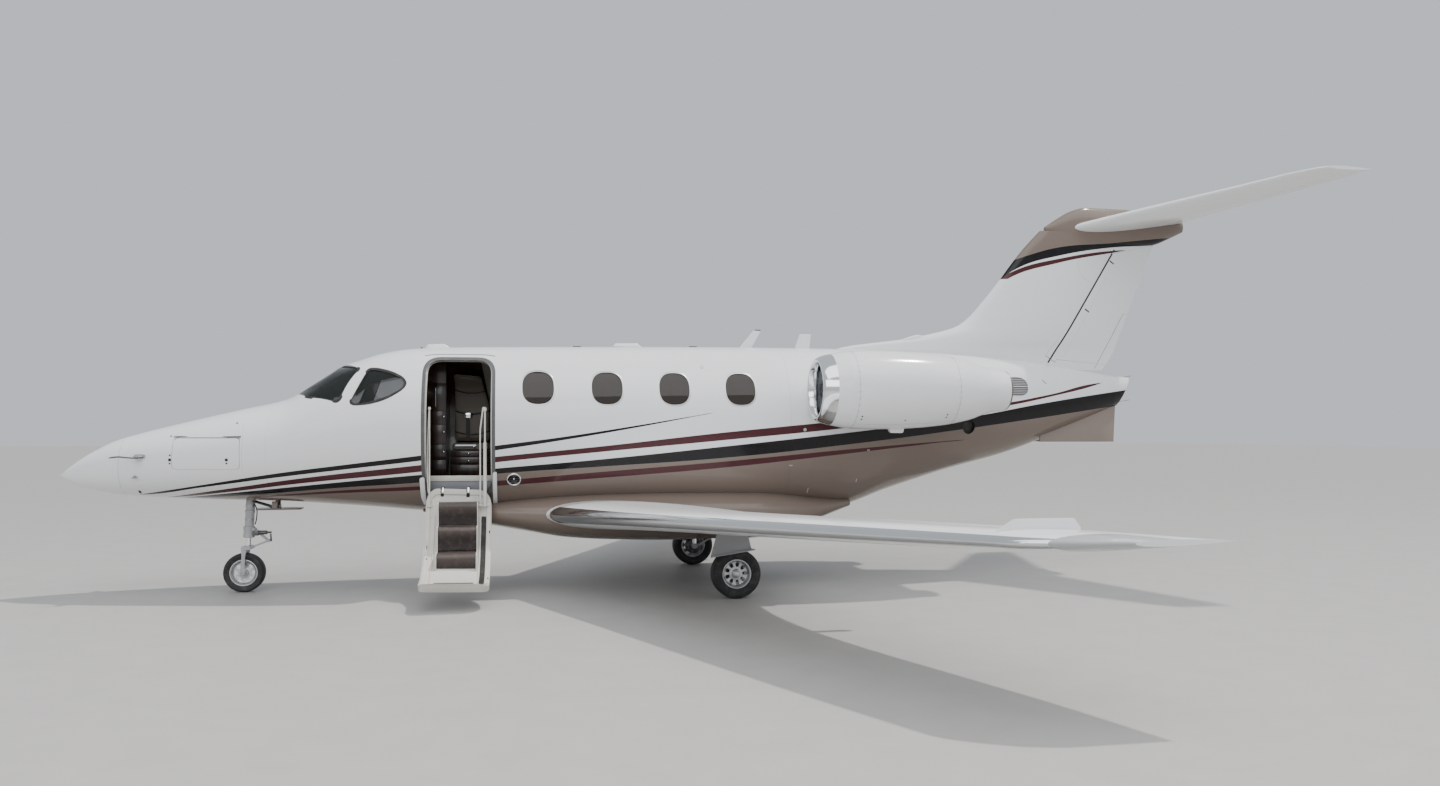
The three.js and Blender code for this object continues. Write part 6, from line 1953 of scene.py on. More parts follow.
def seat_frame(name, half, matrix, finishes, base_low, replaces=()):
    """The hard parts: base, pan, side panels with wooden caps, back shell and buckle."""
    leather, slot = finishes["leather"], "leather"
    frame = solid(name, [rounded_box(-0.185, 0.165, -0.68 * half, 0.68 * half, base_low, 0.002, 0.03, 4),
                         rounded_box(-0.222, 0.252, -half + 0.003, half - 0.003, 0.002, 0.050, 0.03, 4),
                         prism([(-0.236, -0.88 * half, 0.055), (-0.222, -0.88 * half, 0.055),
                                (-0.322, -0.88 * half, 0.722), (-0.336, -0.88 * half, 0.722)], ACROSS, 0,
                               1.76 * half)])
    bevelled(frame, 0.004, 2)
    frame.data.transform(matrix)
    finished(frame, leather, slot=slot, replaces=replaces)
    arms, caps = [], []
    for end in (-1, 1):
        y0, y1 = sorted((end * (half - 0.003), end * (half - 0.060)))
        outline = rounded([(-0.212, y0, 0.052), (0.160, y0, 0.052), (0.166, y0, 0.240), (-0.212, y0, 0.248)],
                          0.035, 5)
        arms.append(prism(outline, ACROSS, 0, y1 - y0))
        caps.append(rounded_box(-0.185, 0.140, y0 + 0.010, y1 - 0.010, 0.246, 0.258, 0.015, 4))
    parts = (("arms", arms, leather, slot, 0.010), ("caps", caps, finishes["wood"], "veneer", 0.003))
    for word, shells, finish, kind, edge in parts:
        part = solid(f"{name}_{word}", shells)
        bevelled(part, edge, 3)
        part.data.transform(matrix)
        finished(part, finish, slot=kind)
    belt = solid(f"{name}_buckle", [box(-0.125, -0.075, -0.030, 0.030, 0.124, 0.140)])
    bevelled(belt, 0.004, 2)
    belt.data.transform(matrix)
    finished(belt, finishes["chrome"], slot=slot)


def padded(obj, finish):
    finished(obj, finish, slot="leather", sharp=60)


def make_seats(finishes):
    kinds = {kind: seat_pads(half) for kind, half in HALF_SEAT.items()}
    rows = []
    for x, way in CABIN_SEATS:
        row = "fore" if way == 1 else "aft"
        rows.extend((f"cabin_seat_{row}_{word}", "cabin", x, side * CABIN_OUT, way) for word, side in SIDES)
    rows.extend((f"crew_seat_{word}", "crew", CREW_X, side * CREW_OUT, -1) for word, side in SIDES)
    for i, (name, kind, x, y, way) in enumerate(rows):
        height = SEAT_HEIGHT[kind]
        place = Matrix.Translation((x, y, height)) @ Matrix.Rotation(math.pi if way < 0 else 0.0, 4, "Z")
        replaces = {0: ["cabin_seats"], 4: ["cockpit_seats"]}.get(i, ())
        seat_frame(f"{name}_frame", HALF_SEAT[kind], place, finishes, ON_FLOOR - height, replaces)
        for part, pad in kinds[kind].items():
            padded(copied(pad, f"{name}_{part}", place), finishes["leather"])
    for pads in kinds.values():
        for pad in pads.values():
            bpy.data.objects.remove(pad)
    rails = [box(-1.65, -0.38, y - 0.018, y + 0.018, ON_FLOOR, SEAT_RAIL_TOP)
             for y in (-CABIN_OUT, CABIN_OUT)]
    rails.append(box(-1.018, -0.982, -0.41, 0.41, ON_FLOOR, SEAT_RAIL_TOP))
    piece("seat_rails", rails, finishes["brushed"], slot="leather", bevel=0.002)


def wood_front(x0, x1, z0, z1, y):
    return box(x0 + 0.0015, x1 - 0.0015, y - 0.012, y + 0.004, z0 + 0.0015, z1 - 0.0015)


# Edges of the cabinet's fronts
CABINET_LEVELS = [1.240, 1.440, 1.620, 1.850, 2.010, 2.330, 2.550]
# Share of the length and radius
KNOB = [
    (0, 0.0), (0, 0.007), (0.35, 0.005), (0.5, 0.011), (0.85, 0.012), (1.0, 0.008), (1.0, 0.0),
]
KNOB_PLACES = (
    (-3.057, 0.212, 1.943), (-3.057, 0.212, 1.764), (-3.057, 0.212, 1.532), (-2.776, 0.244, 1.512),
    (-2.776, 0.244, 1.425), (-2.716, 0.234, 1.590),
)
DOOR_PULL = [
    (-3.146, 0.212, 2.045), (-3.146, 0.190, 2.065), (-3.146, 0.188, 2.17), (-3.146, 0.190, 2.275),
    (-3.146, 0.212, 2.295),
]
# Outlines of the panel and the seat's back, and the line of its face in z and y
SIDE_PANEL = [
    (-3.029, 0.3, 1.548), (-2.505, 0.3, 1.548), (-2.520, 0.3, 1.900), (-2.640, 0.3, 2.600),
    (-3.029, 0.3, 2.600),
]
SIDE_BACK = [
    (-2.966, 0, 1.650), (-2.546, 0, 1.650), (-2.546, 0, 2.10), (-2.640, 0, 2.43), (-2.966, 0, 2.455),
]
SIDE_FACE = [(1.60, 0.625), (2.05, 0.652), (2.20, 0.632), (2.30, 0.592), (2.47, 0.425)]
# Lower and upper edges of the fronts under the side seat
SIDE_FRONTS = ((1.240, 1.380), (1.380, 1.470), (1.470, 1.542))


def make_cabin(finishes):
    wood, chrome = finishes["wood"], finishes["chrome"]
    slab = solid("cabin_carpet", [room(0.0005)])
    kept(slab, [box(-4.9, 0.9, -1, 1, 0.7, FLOOR_TOP)])
    cut(slab, [box(DOOR["fore"] - 0.006, DOOR["aft"] + 0.006, -1, -0.56, 1.115, 1.4)])
    finished(slab, finishes["cabin_carpet"], slot="cabin_floor", replaces=["cabin_floor"])
    piece("door_sill", [box(-3.165, -2.495, -0.556, -0.530, 1.2265, 1.288)], finishes["cream"],
          slot="cream_paint", bevel=0.004)

    wall = solid("forward_wall", [box(-3.325, -3.245, -0.9, 0.9, ON_FLOOR, 2.72)])
    passage = [(-3.4, -0.26, 1.1), (-3.4, 0.21, 1.1), (-3.4, 0.21, 2.48), (-3.4, -0.26, 2.48)]
    cut(wall, [prism(rounded(passage, 0.06, 5), ALONG, 0, 0.2)])
    kept(wall, [room(LINER)])
    finished(wall, wood, slot="veneer", replaces=["forward_cabinet"], bevel=0.004)
    case = solid("cabinet_case", [box(-3.2445, -3.030, 0.224, 0.9, ON_FLOOR, 2.56)])
    kept(case, [room(LINER)])
    finished(case, finishes["dark_wood"], slot="veneer")
    fronts = [wood_front(-3.243, -3.031, low, high, 0.224)
              for low, high in zip(CABINET_LEVELS, CABINET_LEVELS[1:])]
    piece("cabinet_fronts", fronts, wood, slot="veneer", bevel=0.003)
    knobs = [ringed((x, y, z), (x, y - 0.022, z), KNOB, 20) for x, y, z in KNOB_PLACES]
    knobs.append(swept(curved(DOOR_PULL, 5), 0.006, 12))
    knobs.append(box(-2.926, -2.692, 0.226, 0.233, 1.600, 1.616))
    piece("cabinet_knobs", knobs, chrome, slot="veneer", sharp=40)

    panel = solid("side_panel", [room(LINER)])
    cut(panel, [room(LINER + 0.009)])
    kept(panel, [prism(SIDE_PANEL, ACROSS, 0, 0.6)])
    finished(panel, wood, slot="veneer")
    base = solid("side_seat_base", [box(-2.988, -2.522, 0.262, 0.86, ON_FLOOR, 1.545)])
    kept(base, [room(LINER)])
    finished(base, finishes["dark_wood"], slot="veneer", replaces=["side_seat"])
    fronts = [wood_front(-2.988, -2.522, low, high, 0.262) for low, high in SIDE_FRONTS]
    piece("side_seat_fronts", fronts, wood, slot="veneer", bevel=0.003)
    cushion = swollen("side_seat_cushion", [rounded_box(-2.975, -2.535, 0.248, 0.665, 1.555, 1.628, 0.04, 4)],
                      0.011)
    padded(cushion, finishes["leather"])
    outline = rounded(SIDE_BACK, 0.05, 5)
    back = solid("side_seat_back", [prism(set_across(outline, 0.4), ACROSS, 0, 0.6)])
    flank = [(-3.0, 0.85, 2.47), (-3.0, 0.85, 1.60), *((-3.0, y, z) for z, y in SIDE_FACE)]
    kept(back, [prism(flank, ALONG, 0, 0.5)])
    kept(back, [room(LINER + 0.012)])
    shell = shell_of(back)
    bpy.data.objects.remove(back)
    back = swollen("side_seat_back", [shell], 0.010)
    levels, sag, middle = (2.23, 1.98, 1.73), 1.0, -2.76
    grooved(back, [(2, level, sag, 0) for level in levels], centre=middle, width=0.008, depth=0.009)
    padded(back, finishes["leather"])
    # The seams' creases are coloured black, a painted shade.
    second_finish(back, finishes["black_trim_and_painted_shade"],
                  lambda spot: min(abs(spot.z - level - sag * (spot.x - middle) ** 2)
                                   for level in levels) < 0.006)
    strap = [[(x - 0.024, 0.602 - 0.002, z), (x + 0.024, 0.602 - 0.002, z), (x + 0.024, 0.604, z),
              (x - 0.024, 0.604, z)]
             for x, z in ((-2.800, 1.655), (-2.802, 1.80), (-2.804, 1.95))]
    piece("side_seat_strap", [lofted([[Vector(p) + Vector((0, (p[2] - 1.655) * 0.085, 0)) for p in ring]
                                      for ring in strap])], finishes["belt"], slot="leather")
    buckle = box(-2.850, -2.755, 0.608, 0.622, 1.932, 1.996)
    piece("side_seat_buckle", [buckle], chrome, slot="leather", bevel=0.005)


def shell_of(obj):
    return [v.co.copy() for v in obj.data.vertices], [tuple(face.vertices) for face in obj.data.polygons]


def board_front(z):
    return -4.200 + (z - 1.660) / 7


# The instrument board's outline in x and z
BOARD = (
    (-4.440, 1.660), (-4.200, 1.660), (-4.150, 2.010), (-4.200, 2.062), (-4.470, 2.052),
)
SCREEN_Y = (-0.37, 0.0, 0.37)
SCREEN_Z = (1.775, 1.965)
SCREEN_HALF = 0.125
YOKE_Y = (-0.33, 0.33)
# Share of the length and radius
YOKE_COLUMN = [(0, 0.0), (0, 0.014), (0.9, 0.014), (1.0, 0.010), (1.0, 0.0)]


def make_flight_deck(finishes):
    dark, slot = finishes["panel"], "panel_black"
    board = solid("instrument_board", [prism([(x, -0.62, z) for x, z in BOARD], ACROSS, 0, 1.24),
                                       box(-4.380, -4.180, -0.11, 0.11, ON_FLOOR, 1.700)])
    kept(board, [room(LINER)])
    finished(board, dark, slot=slot, replaces=["instrument_panel"], bevel=0.006, segments=3)
    screens, frames = [], []
    for y in SCREEN_Y:
        for grow, lift, group in ((0.008, 0.0035, frames), (0.0, 0.0055, screens)):
            z0, z1 = SCREEN_Z[0] - grow, SCREEN_Z[1] + grow
            corners = ((-1, z0), (1, z0), (1, z1), (-1, z1))
            ring = [(board_front(z) + 0.001, y + part * (SCREEN_HALF + grow), z) for part, z in corners]
            group.append(prism(ring, ALONG, 0, lift))
    piece("screen_frames", frames, finishes["black_trim_and_painted_shade"], slot=slot, bevel=0.001)
    piece("screens", screens, finishes["screen"], slot=slot)
    fasteners("panel_knobs", [(Vector((board_front(z) + 0.001, y, z)), Vector((1, 0, 0)))
                              for z in (1.70, 1.735) for y in spaced(-0.56, 0.56, 0.07)], BOLT, 0.008, dark,
              slot=slot)
    yokes = []
    for y in YOKE_Y:
        yokes.append(ringed((-4.205, y, 1.761), (-4.050, y, 1.789), YOKE_COLUMN, 24))
        grip = curved([(-4.050, y - 0.104, 1.872), (-4.050, y - 0.106, 1.83), (-4.050, y - 0.090, 1.790),
                       (-4.050, y, 1.788), (-4.050, y + 0.090, 1.790), (-4.050, y + 0.106, 1.83),
                       (-4.050, y + 0.104, 1.872)], 5)
        yokes.append(swept(grip, 0.0135, 16))
        yokes.append(rounded_box(-4.064, -4.036, y - 0.035, y + 0.035, 1.770, 1.806, 0.01))
    piece("yokes", yokes, finishes["black_trim_and_painted_shade"], slot=slot, sharp=50)
    console = solid("crew_console", [rounded_box(-4.058, -3.422, -0.104, 0.104, ON_FLOOR, 1.638, 0.03, 4)])
    finished(console, dark, slot="leather", bevel=0.010, segments=3)
    levers = []
    for y in (-0.03, 0.03):
        levers.append(swept([(-3.95, y, 1.63), (-3.93, y, 1.70)], 0.006, 10))
        levers.append(rounded_box(-3.955, -3.905, y - 0.018, y + 0.018, 1.692, 1.724, 0.01))
    piece("thrust_levers", levers, finishes["brushed"], slot=slot, bevel=0.003)


# Small things on the outer skin

GRILLE = {"x": 3.775, "z": 2.320, "half": 0.175, "high": 0.120, "depth": 0.016}
VENT = {"x": 3.080, "z": 1.824, "radius": 0.084, "depth": 0.036}
PORT_HOLE = (-2.250, 1.249)


def skin_spot(x, z, side=PORT):
    """A place on the fuselage's flank and the way straight out from it."""
    here = on_skin(x, z)
    out = (on_skin(x + 0.01, z) - here).cross(on_skin(x, z + 0.01) - here).normalized()
    out = out if out.y < 0 else -out
    if side == STARBOARD:
        here, out = Vector((here.x, -here.y, here.z)), Vector((out.x, -out.y, out.z))
    return here, out


def skin_ring(outline, outside, inside, direction, lift, sink):
    """A thin frame that follows an outline on the skin."""
    centre = sum(outline, Vector()) / len(outline)
    band = ((outside, -lift * 0.4), (outside * 0.4, -lift), (-inside, -lift * 0.6), (-inside, sink),
            (outside, sink))
    rings = []
    for p in outline:
        way = (p - centre).normalized()
        rings.append([onto_hull(p + way * reach, direction, depth) for reach, depth in band])
    return lofted(rings, looped=True)


def marks(rows, lift=0.0012):
    """Small flat things on the flank: rows of x, z, half width, half height."""
    return [skin_patch(oval(x, z, wide, high, 4, 20), TO_PORT, -lift, 2, 0.006) for x, z, wide, high in rows]


ANTENNAS = [  # x at the foot, x at the head, height, half width at foot and head
    ((-3.255, -2.965), (-3.215, -3.040), 0.046, 0.030, 0.012),
    ((-1.130, -0.760), (-1.080, -0.830), 0.046, 0.042, 0.018),
    ((0.410, 0.560), (0.590, 0.680), 0.217, 0.011, 0.006),
    ((1.100, 1.285), (1.165, 1.305), 0.177, 0.011, 0.006),
]


def antenna_shell(foot, head, high, half, head_half):
    rings = []
    for share in (-0.015 / high, 0.0, 0.3, 0.6, 0.82, 0.94, 1.0):
        rise = max(share, 0.0)
        fore, aft = (a + (b - a) * rise for a, b in zip(foot, head))
        tip = 1 - max(0.0, (share - 0.8) / 0.2) ** 2 * 0.85
        wide = (half + (head_half - half) * rise) * tip
        ring = []
        for angle in around(28):
            along = 0.5 - 0.5 * math.cos(angle)
            x = fore + (aft - fore) * along
            body = math.copysign(abs(math.sin(angle)) ** 0.9, math.sin(angle)) * (1.15 - 0.55 * along)
            ring.append(Vector((x, wide * body, HULL.at(x)[0] + share * high)))
        rings.append(ring)
    return lofted(rings)


# Height and radius
ANTENNA_STUB = [(-0.01, 0.0), (-0.01, 0.011), (0.012, 0.011), (0.018, 0.006), (0.018, 0.0)]


def make_antennas(finishes):
    for i, row in enumerate(ANTENNAS):
        piece(f"antenna_{i}", [antenna_shell(*row)], finishes["white"], slot="white_paint", sharp=45)
    strips = []
    for x, wide, high in ((-1.530, 0.020, 0.012), (-0.155, 0.020, 0.012)):
        top = HULL.at(x)[0]
        strips.append(rounded_box(x - 0.0475, x + 0.0475, -wide, wide, top - 0.006, top + high, 0.012))
    strips.append(turned(ANTENNA_STUB, (-3.285, 0, HULL.at(-3.285)[0]), UP, 20))
    strips.append(rounded_box(-1.125, -0.770, -0.0445, 0.0445, HULL.at(-0.95)[0] - 0.006,
                              HULL.at(-0.95)[0] + 0.0025, 0.04))
    strips.append(swept([(0.598, 0, HULL.at(0.6)[0] + 0.2155), (0.676, 0, HULL.at(0.67)[0] + 0.2155)], 0.0065,
                        10))
    piece("roof_strips", strips, finishes["black_trim_and_painted_shade"], slot="white_paint", bevel=0.0015)


# Small flat things on the nose: x, z, half width, half height
NOSE_MARKS = [
    (-6.150, 1.128, 0.014, 0.016), (-5.120, 1.860, 0.012, 0.006), (-5.800, 1.722, 0.008, 0.008),
    (-5.779, 1.522, 0.009, 0.008), (-5.779, 1.474, 0.015, 0.015), (-5.779, 1.436, 0.009, 0.008),
]
BAGGAGE_LATCHES = [(-5.193, 1.474, 0.015, 0.015), (-5.193, 1.438, 0.010, 0.008)]
# The pitot mast: depth under the skin and how much thinner it is there
PITOT_RINGS = ((0.06, 0.0), (0.0, 0.0), (-0.05, 0.004), (-0.085, 0.008), (-0.094, 0.012))
# Share of the length and radius
PITOT_TIP = [
    (0, 0.0), (0, 0.0081), (0.5, 0.0075), (1.0, 0.0048), (1.0, 0.003), (0.5, 0.003), (0.5, 0.0),
]
VANE_BASE = [(0, 0.0), (0, 0.016), (0.9, 0.015), (1, 0.010), (1, 0.0)]
# The vane's blade in x and z
VANE_PLAN = ((-0.022, 0.0), (0.0, 0.0035), (0.034, 0.0), (0.0, -0.0035))


def make_nose_details(finishes):
    y = skin_spot(-6.10, 1.509)[0].y
    out = y - 0.092
    rings = []
    for depth, shrink in PITOT_RINGS:
        rings.append([Vector((-6.1015 + (0.0465 - shrink) * math.cos(a), y + depth,
                              1.509 + (0.0105 - shrink * 0.3) * math.sin(a))) for a in around(24)])
    path = curved([(-6.085, out, 1.494), (-6.135, out - 0.004, 1.494), (-6.200, out - 0.006, 1.500),
                   (-6.270, out - 0.006, 1.507), (-6.320, out - 0.006, 1.503)], 6)
    tubes = [swept(path, 0.008, 16),
             ringed((-6.312, out - 0.006, 1.504), (-6.362, out - 0.006, 1.496), PITOT_TIP, 20)]
    bases = marks([(-6.100, 1.509, 0.062, 0.022)], 0.003)
    piece("pitot_masts", both([lofted(rings)]), finishes["door_grey"], slot="gear_paint", sharp=50)
    piece("pitot_tubes", both(tubes), finishes["dark_metal"], slot="engine_metal", sharp=50)
    piece("pitot_bases", both(bases), finishes["door_grey"], slot="gear_paint")
    here, way = skin_spot(-6.150, 1.296)
    vane = [ringed(here - way * 0.01, here + way * 0.012, VANE_BASE, 24),
            lofted([[here + way * h + Vector((dx, 0, dz)) for dx, dz in VANE_PLAN] for h in (0.008, 0.046)])]
    piece("flow_vane", both(vane), finishes["steel"], slot="engine_metal", sharp=40)
    plates = marks([(-6.150, 1.296, 0.042, 0.042)], 0.0008)
    piece("flow_vane_plate", both(plates), finishes["cowl"], slot="white_paint")
    dark = marks(NOSE_MARKS, 0.0016)
    piece("nose_marks", dark, finishes["black_trim_and_painted_shade"], slot="gear_paint")
    latches = marks(BAGGAGE_LATCHES, 0.0016)
    piece("baggage_latches", latches, finishes["black_trim_and_painted_shade"], "nose_baggage_door", slot="gear_paint")
    fore, aft, high = BAGGAGE["fore"] - 0.014, BAGGAGE["aft"] + 0.014, BAGGAGE["high"] + 0.003
    ends = [on_skin(x, high, 0.008) for x in (fore, aft)]
    hinge = [swept(ends, 0.004, 16)]
    hinge.extend(swept([ends[0].lerp(ends[1], share), ends[0].lerp(ends[1], share + 0.10)], 0.0062, 16)
                 for share in (0.02, 0.25, 0.48, 0.71, 0.88))
    piece("baggage_hinge", hinge, finishes["steel"], slot="gear_paint", sharp=50)


# Place along and radius
PORT_RING = [
    (-0.016, 0.060), (0.002, 0.061), (0.007, 0.066), (0.008, 0.071), (0.004, 0.077), (-0.003, 0.080),
    (-0.016, 0.076),
]
FLANK_LAMPS = [
    (0.830, 1.385, 0.022, 0.006), (1.080, 1.090, 0.007, 0.030), (1.660, 1.200, 0.006, 0.022),
    (1.760, 1.555, 0.016, 0.006),
]
PORT_CUP = [(-0.034, 0.0), (-0.034, 0.0655), (-0.030, 0.0655), (-0.030, 0.0)]
# Share of the length and radius
PORT_CENTRE = [(0, 0.0), (0, 0.009), (0.8, 0.009), (1, 0.005), (1, 0.0)]
FLANK_LAMP = [(0, 0.0), (0, 0.020), (0.5, 0.020), (0.8, 0.014), (1, 0.006), (1, 0.0)]


def make_flank_details(finishes):
    rims = [skin_ring(outline, 0.010, 0.006, TO_PORT, 0.0022, 0.006) for outline in side_outlines(0.0)]
    piece("window_rims", both(rims), finishes["rim"], slot="polished_lip", sharp=60)
    seals = [skin_ring(cockpit_side(0.0), 0.015, 0.016, TO_PORT, 0.0012, 0.0065),
             skin_ring(screen_outline(0.0), 0.015, 0.020, SCREEN_OUT, 0.0012, 0.0065)]
    piece("cockpit_seals", both(seals), finishes["black_trim_and_painted_shade"], slot="glass", sharp=60)
    here, way = skin_spot(*PORT_HOLE)
    piece("port_ring", [turned(PORT_RING, here, way, 64, closed=True)], finishes["chrome"],
          slot="polished_lip", sharp=50)
    vanes = [turned(PORT_CUP, here, way, 48)]
    up = Vector(UP)
    across = up.cross(way).normalized()
    for height in (-0.042, -0.021, 0.0, 0.021, 0.042):
        half = math.sqrt(0.0625 ** 2 - height ** 2)
        slat = [here + across * half * a + way * d + up * (height + e) for a, d, e in
                ((-1, -0.031, -0.010), (1, -0.031, -0.010), (1, -0.010, 0.006), (-1, -0.010, 0.006))]
        vanes.append(prism(slat, up, 0, 0.003))
    piece("port_vanes", vanes, finishes["dark_metal"], slot="engine_metal")
    piece("port_centre", [ringed(here - way * 0.031, here - way * 0.006, PORT_CENTRE, 20)],
          finishes["chrome"], slot="polished_lip")
    white = marks(FLANK_LAMPS, 0.002)
    here, way = skin_spot(0.980, 1.790)
    white.append(ringed(here - way * 0.01, here + way * 0.014, FLANK_LAMP, 24))
    piece("flank_lamps", both(white), finishes["lens"], slot="glass")
    piece("static_port", both(marks([(-0.163, 2.500, 0.018, 0.018)], 0.0015)), finishes["steel"],
          slot="engine_metal")


def skin_pocket(outline, depth, x0, x1):
    """What to take out of the skin for a recess of even depth, both sides."""
    tool = solid("pocket", both([prism(outline, ACROSS, -1.1, -0.05)]))
    return cut(tool, [hull(x0, x1, depth, 0.05)])


def tail_pockets():
    grille = oval(GRILLE["x"], GRILLE["z"], GRILLE["half"], GRILLE["high"], 2.6)
    vent = oval(VENT["x"], VENT["z"], VENT["radius"], VENT["radius"], 2)
    return [skin_pocket(grille, GRILLE["depth"], 3.3, 4.3), skin_pocket(vent, VENT["depth"], 2.8, 3.4)]


# Place along and radius
TAIL_LAMP = [
    (5.480, 0.0), (5.480, 0.026), (5.545, 0.026), (5.566, 0.021), (5.576, 0.012), (5.578, 0.0),
]
LAMP_COLLAR = [
    (5.470, 0.022), (5.470, 0.029), (5.520, 0.029), (5.524, 0.0265), (5.520, 0.022),
]
TAIL_WICKS = [[(5.43, 0, 2.462), (5.62, 0, 2.492)], [(5.40, 0, 2.150), (5.59, 0, 2.180)]]
# The scoop on the fin's root in x and z, and its mouth
SCOOP = (
    (2.300, 2.800), (2.500, 2.925), (2.660, 2.975), (2.900, 2.930), (2.900, 2.780),
)
SCOOP_MOUTH = [
    (2.80, -0.036, 2.83), (2.80, 0.036, 2.83), (2.80, 0.036, 2.918), (2.80, -0.036, 2.918),
]


def make_tail_details(finishes):
    x, z, half, high = (GRILLE[key] for key in ("x", "z", "half", "high"))
    for word, side in SIDES:
        bars = [box(x - 0.2, x + 0.2, -1.1, -0.05, z + at - 0.0066, z + at + 0.0066)
                for at in spaced(-0.110, 0.110, 0.022)]
        slats = solid(f"grille_slats_{word}", sided(bars, side))
        kept(slats, [to_side(prism(oval(x, z, half + 0.004, high + 0.004, 2.6), ACROSS, -1.1, -0.05), side)])
        kept(slats, [hull(3.4, 4.2, 0.003, 0.05)])
        cut(slats, [hull(3.3, 4.3, 0.0175, 0.05)])
        finished(slats, finishes["door_grey"], slot="white_paint")
    grille = oval(x, z, half - 0.001, high - 0.001, 2.6)
    vent = oval(VENT["x"], VENT["z"], VENT["radius"] - 0.001, VENT["radius"] - 0.001, 2)
    # Black sheets at the back of the grille and vent recesses: painted shade for the dark inside of the
    # openings.
    backs = [skin_patch(outline, TO_PORT, depth - 0.0005, 6, 0.002)
             for outline, depth in ((grille, GRILLE["depth"]), (vent, VENT["depth"]))]
    piece("recess_backs", both(backs), finishes["black_trim_and_painted_shade"], slot="engine_metal")
    rims = [skin_ring(oval(x, z, half, high, 2.6), 0.009, 0.002, TO_PORT, 0.0018, 0.006),
            swept([on_skin(at, z, 0.002) for at in spaced(x - half, x + half, 0.05)], 0.0045, 10)]
    piece("recess_rims", both(rims), finishes["cowl"], slot="white_paint", sharp=60)
    piece("tail_lamp", [turned(TAIL_LAMP, (0, 0, 2.405), ALONG, 32)], finishes["lens"], slot="glass")
    piece("tail_lamp_collar", [turned(LAMP_COLLAR, (0, 0, 2.405), ALONG, 32, closed=True)], finishes["white"],
          slot="white_paint")
    wicks = [swept(ends, 0.0028, 8) for ends in TAIL_WICKS]
    piece("tail_wicks", wicks, finishes["dark_metal"], slot="engine_metal")
    scoop = solid("fin_scoop", [prism([(x, -0.052, z) for x, z in SCOOP], ACROSS, 0, 0.104)])
    bevelled(scoop, 0.022, 4, 20)
    cut(scoop, [prism(rounded(SCOOP_MOUTH, 0.02, 4), ALONG, 0, 0.2)])
    finished(scoop, finishes["white"], slot="white_paint")
    # The faces inside the scoop's mouth are black, a painted shade.
    second_finish(scoop, finishes["black_trim_and_painted_shade"], lambda spot: spot.x > 2.795 and abs(spot.y) < 0.0365
                  and 2.829 < spot.z < 2.919)


def wing_shares(spot):
    """How far along the chord a place on the wing is, and how far out."""
    reach = abs(spot.y)
    row = WING.at(reach)
    return (spot.x - row[0]) / (row[1] - row[0]), reach


# The bare leading edge and the tip's lens start so far out and end at a share of the chord
BARE_EDGE = {"reach": 0.9, "share": 0.060}
LENS = {"reach": 6.58, "share": 0.45}
# Fairings under the flaps: flap, y, x of both ends, depth
FLAP_FAIRINGS = (
    ("flap_inner", 1.900, 0.330, 0.755, 0.205), ("flap_outer", 3.300, 0.760, 1.130, 0.165),
)
# The fence near the tip in x and z
WING_FENCE = (
    (0.700, 1.150), (0.830, 1.232), (1.240, 1.232), (1.290, 1.160), (1.240, 1.120), (0.760, 1.100),
)


def make_wing_details(finishes):
    for word, side in SIDES:
        skin = bpy.data.objects[f"wing_skin_{word}"]
        skin.data.materials.append(finishes["edge"])
        skin.data.materials.append(finishes["lens"])
        for face in skin.data.polygons:
            share, reach = wing_shares(face.center)
            if reach > LENS["reach"] and share < LENS["share"]:
                face.material_index = 2
            elif reach > BARE_EDGE["reach"] and share < BARE_EDGE["share"]:
                face.material_index = 1
        for name, y, fore, aft, depth in FLAP_FAIRINGS:
            level = plane_at(WING, y, fore)[0]
            keel = ((fore, 0.03), (fore + 0.045, depth * 0.72), ((fore + aft) / 2, depth),
                    (aft - 0.09, depth * 0.82), (aft, 0.022), (aft - 0.12, 0.0), (fore + 0.06, 0.0))
            outline = rounded([(x, 0, level - down) for x, down in keel], 0.03, 5)
            canoe = solid(f"{name}_fairing_{word}",
                          [to_side(prism(set_across(outline, -y - 0.034), ACROSS, 0, 0.068), side)])
            bevelled(canoe, 0.020, 4, 25)
            finished(canoe, finishes["door_grey"], f"{name}_{word}", slot="wing_paint")
        fence = set_across(rounded([(x, 0, z) for x, z in WING_FENCE], 0.02, 4), -6.262)
        piece(f"wing_fence_{word}", [to_side(prism(fence, ACROSS, 0, 0.006), side)], finishes["white"],
              slot="wing_paint", bevel=0.0015)


def on_cowl(x, degrees, side, lift=0.0):
    """A place on the nacelle and the way out from it; 0 degrees is outboard and 90 is up."""
    angle = math.radians(degrees)
    way = Vector((0, side * math.cos(angle), math.sin(angle)))
    return Vector((x, side * ENGINE["out"], ENGINE["height"])) + way * (COWL.at(x)[0] + lift), way


# Latches of the cowls: x and angle
COWL_LATCHES = ((1.42, -50), (1.42, -44), (2.40, -50), (2.40, -44), (1.92, -52))
# x, and height over the engine's axis
COWL_DRAIN = ((1.815, -0.420), (1.850, -0.476), (1.985, -0.476), (2.004, -0.418))


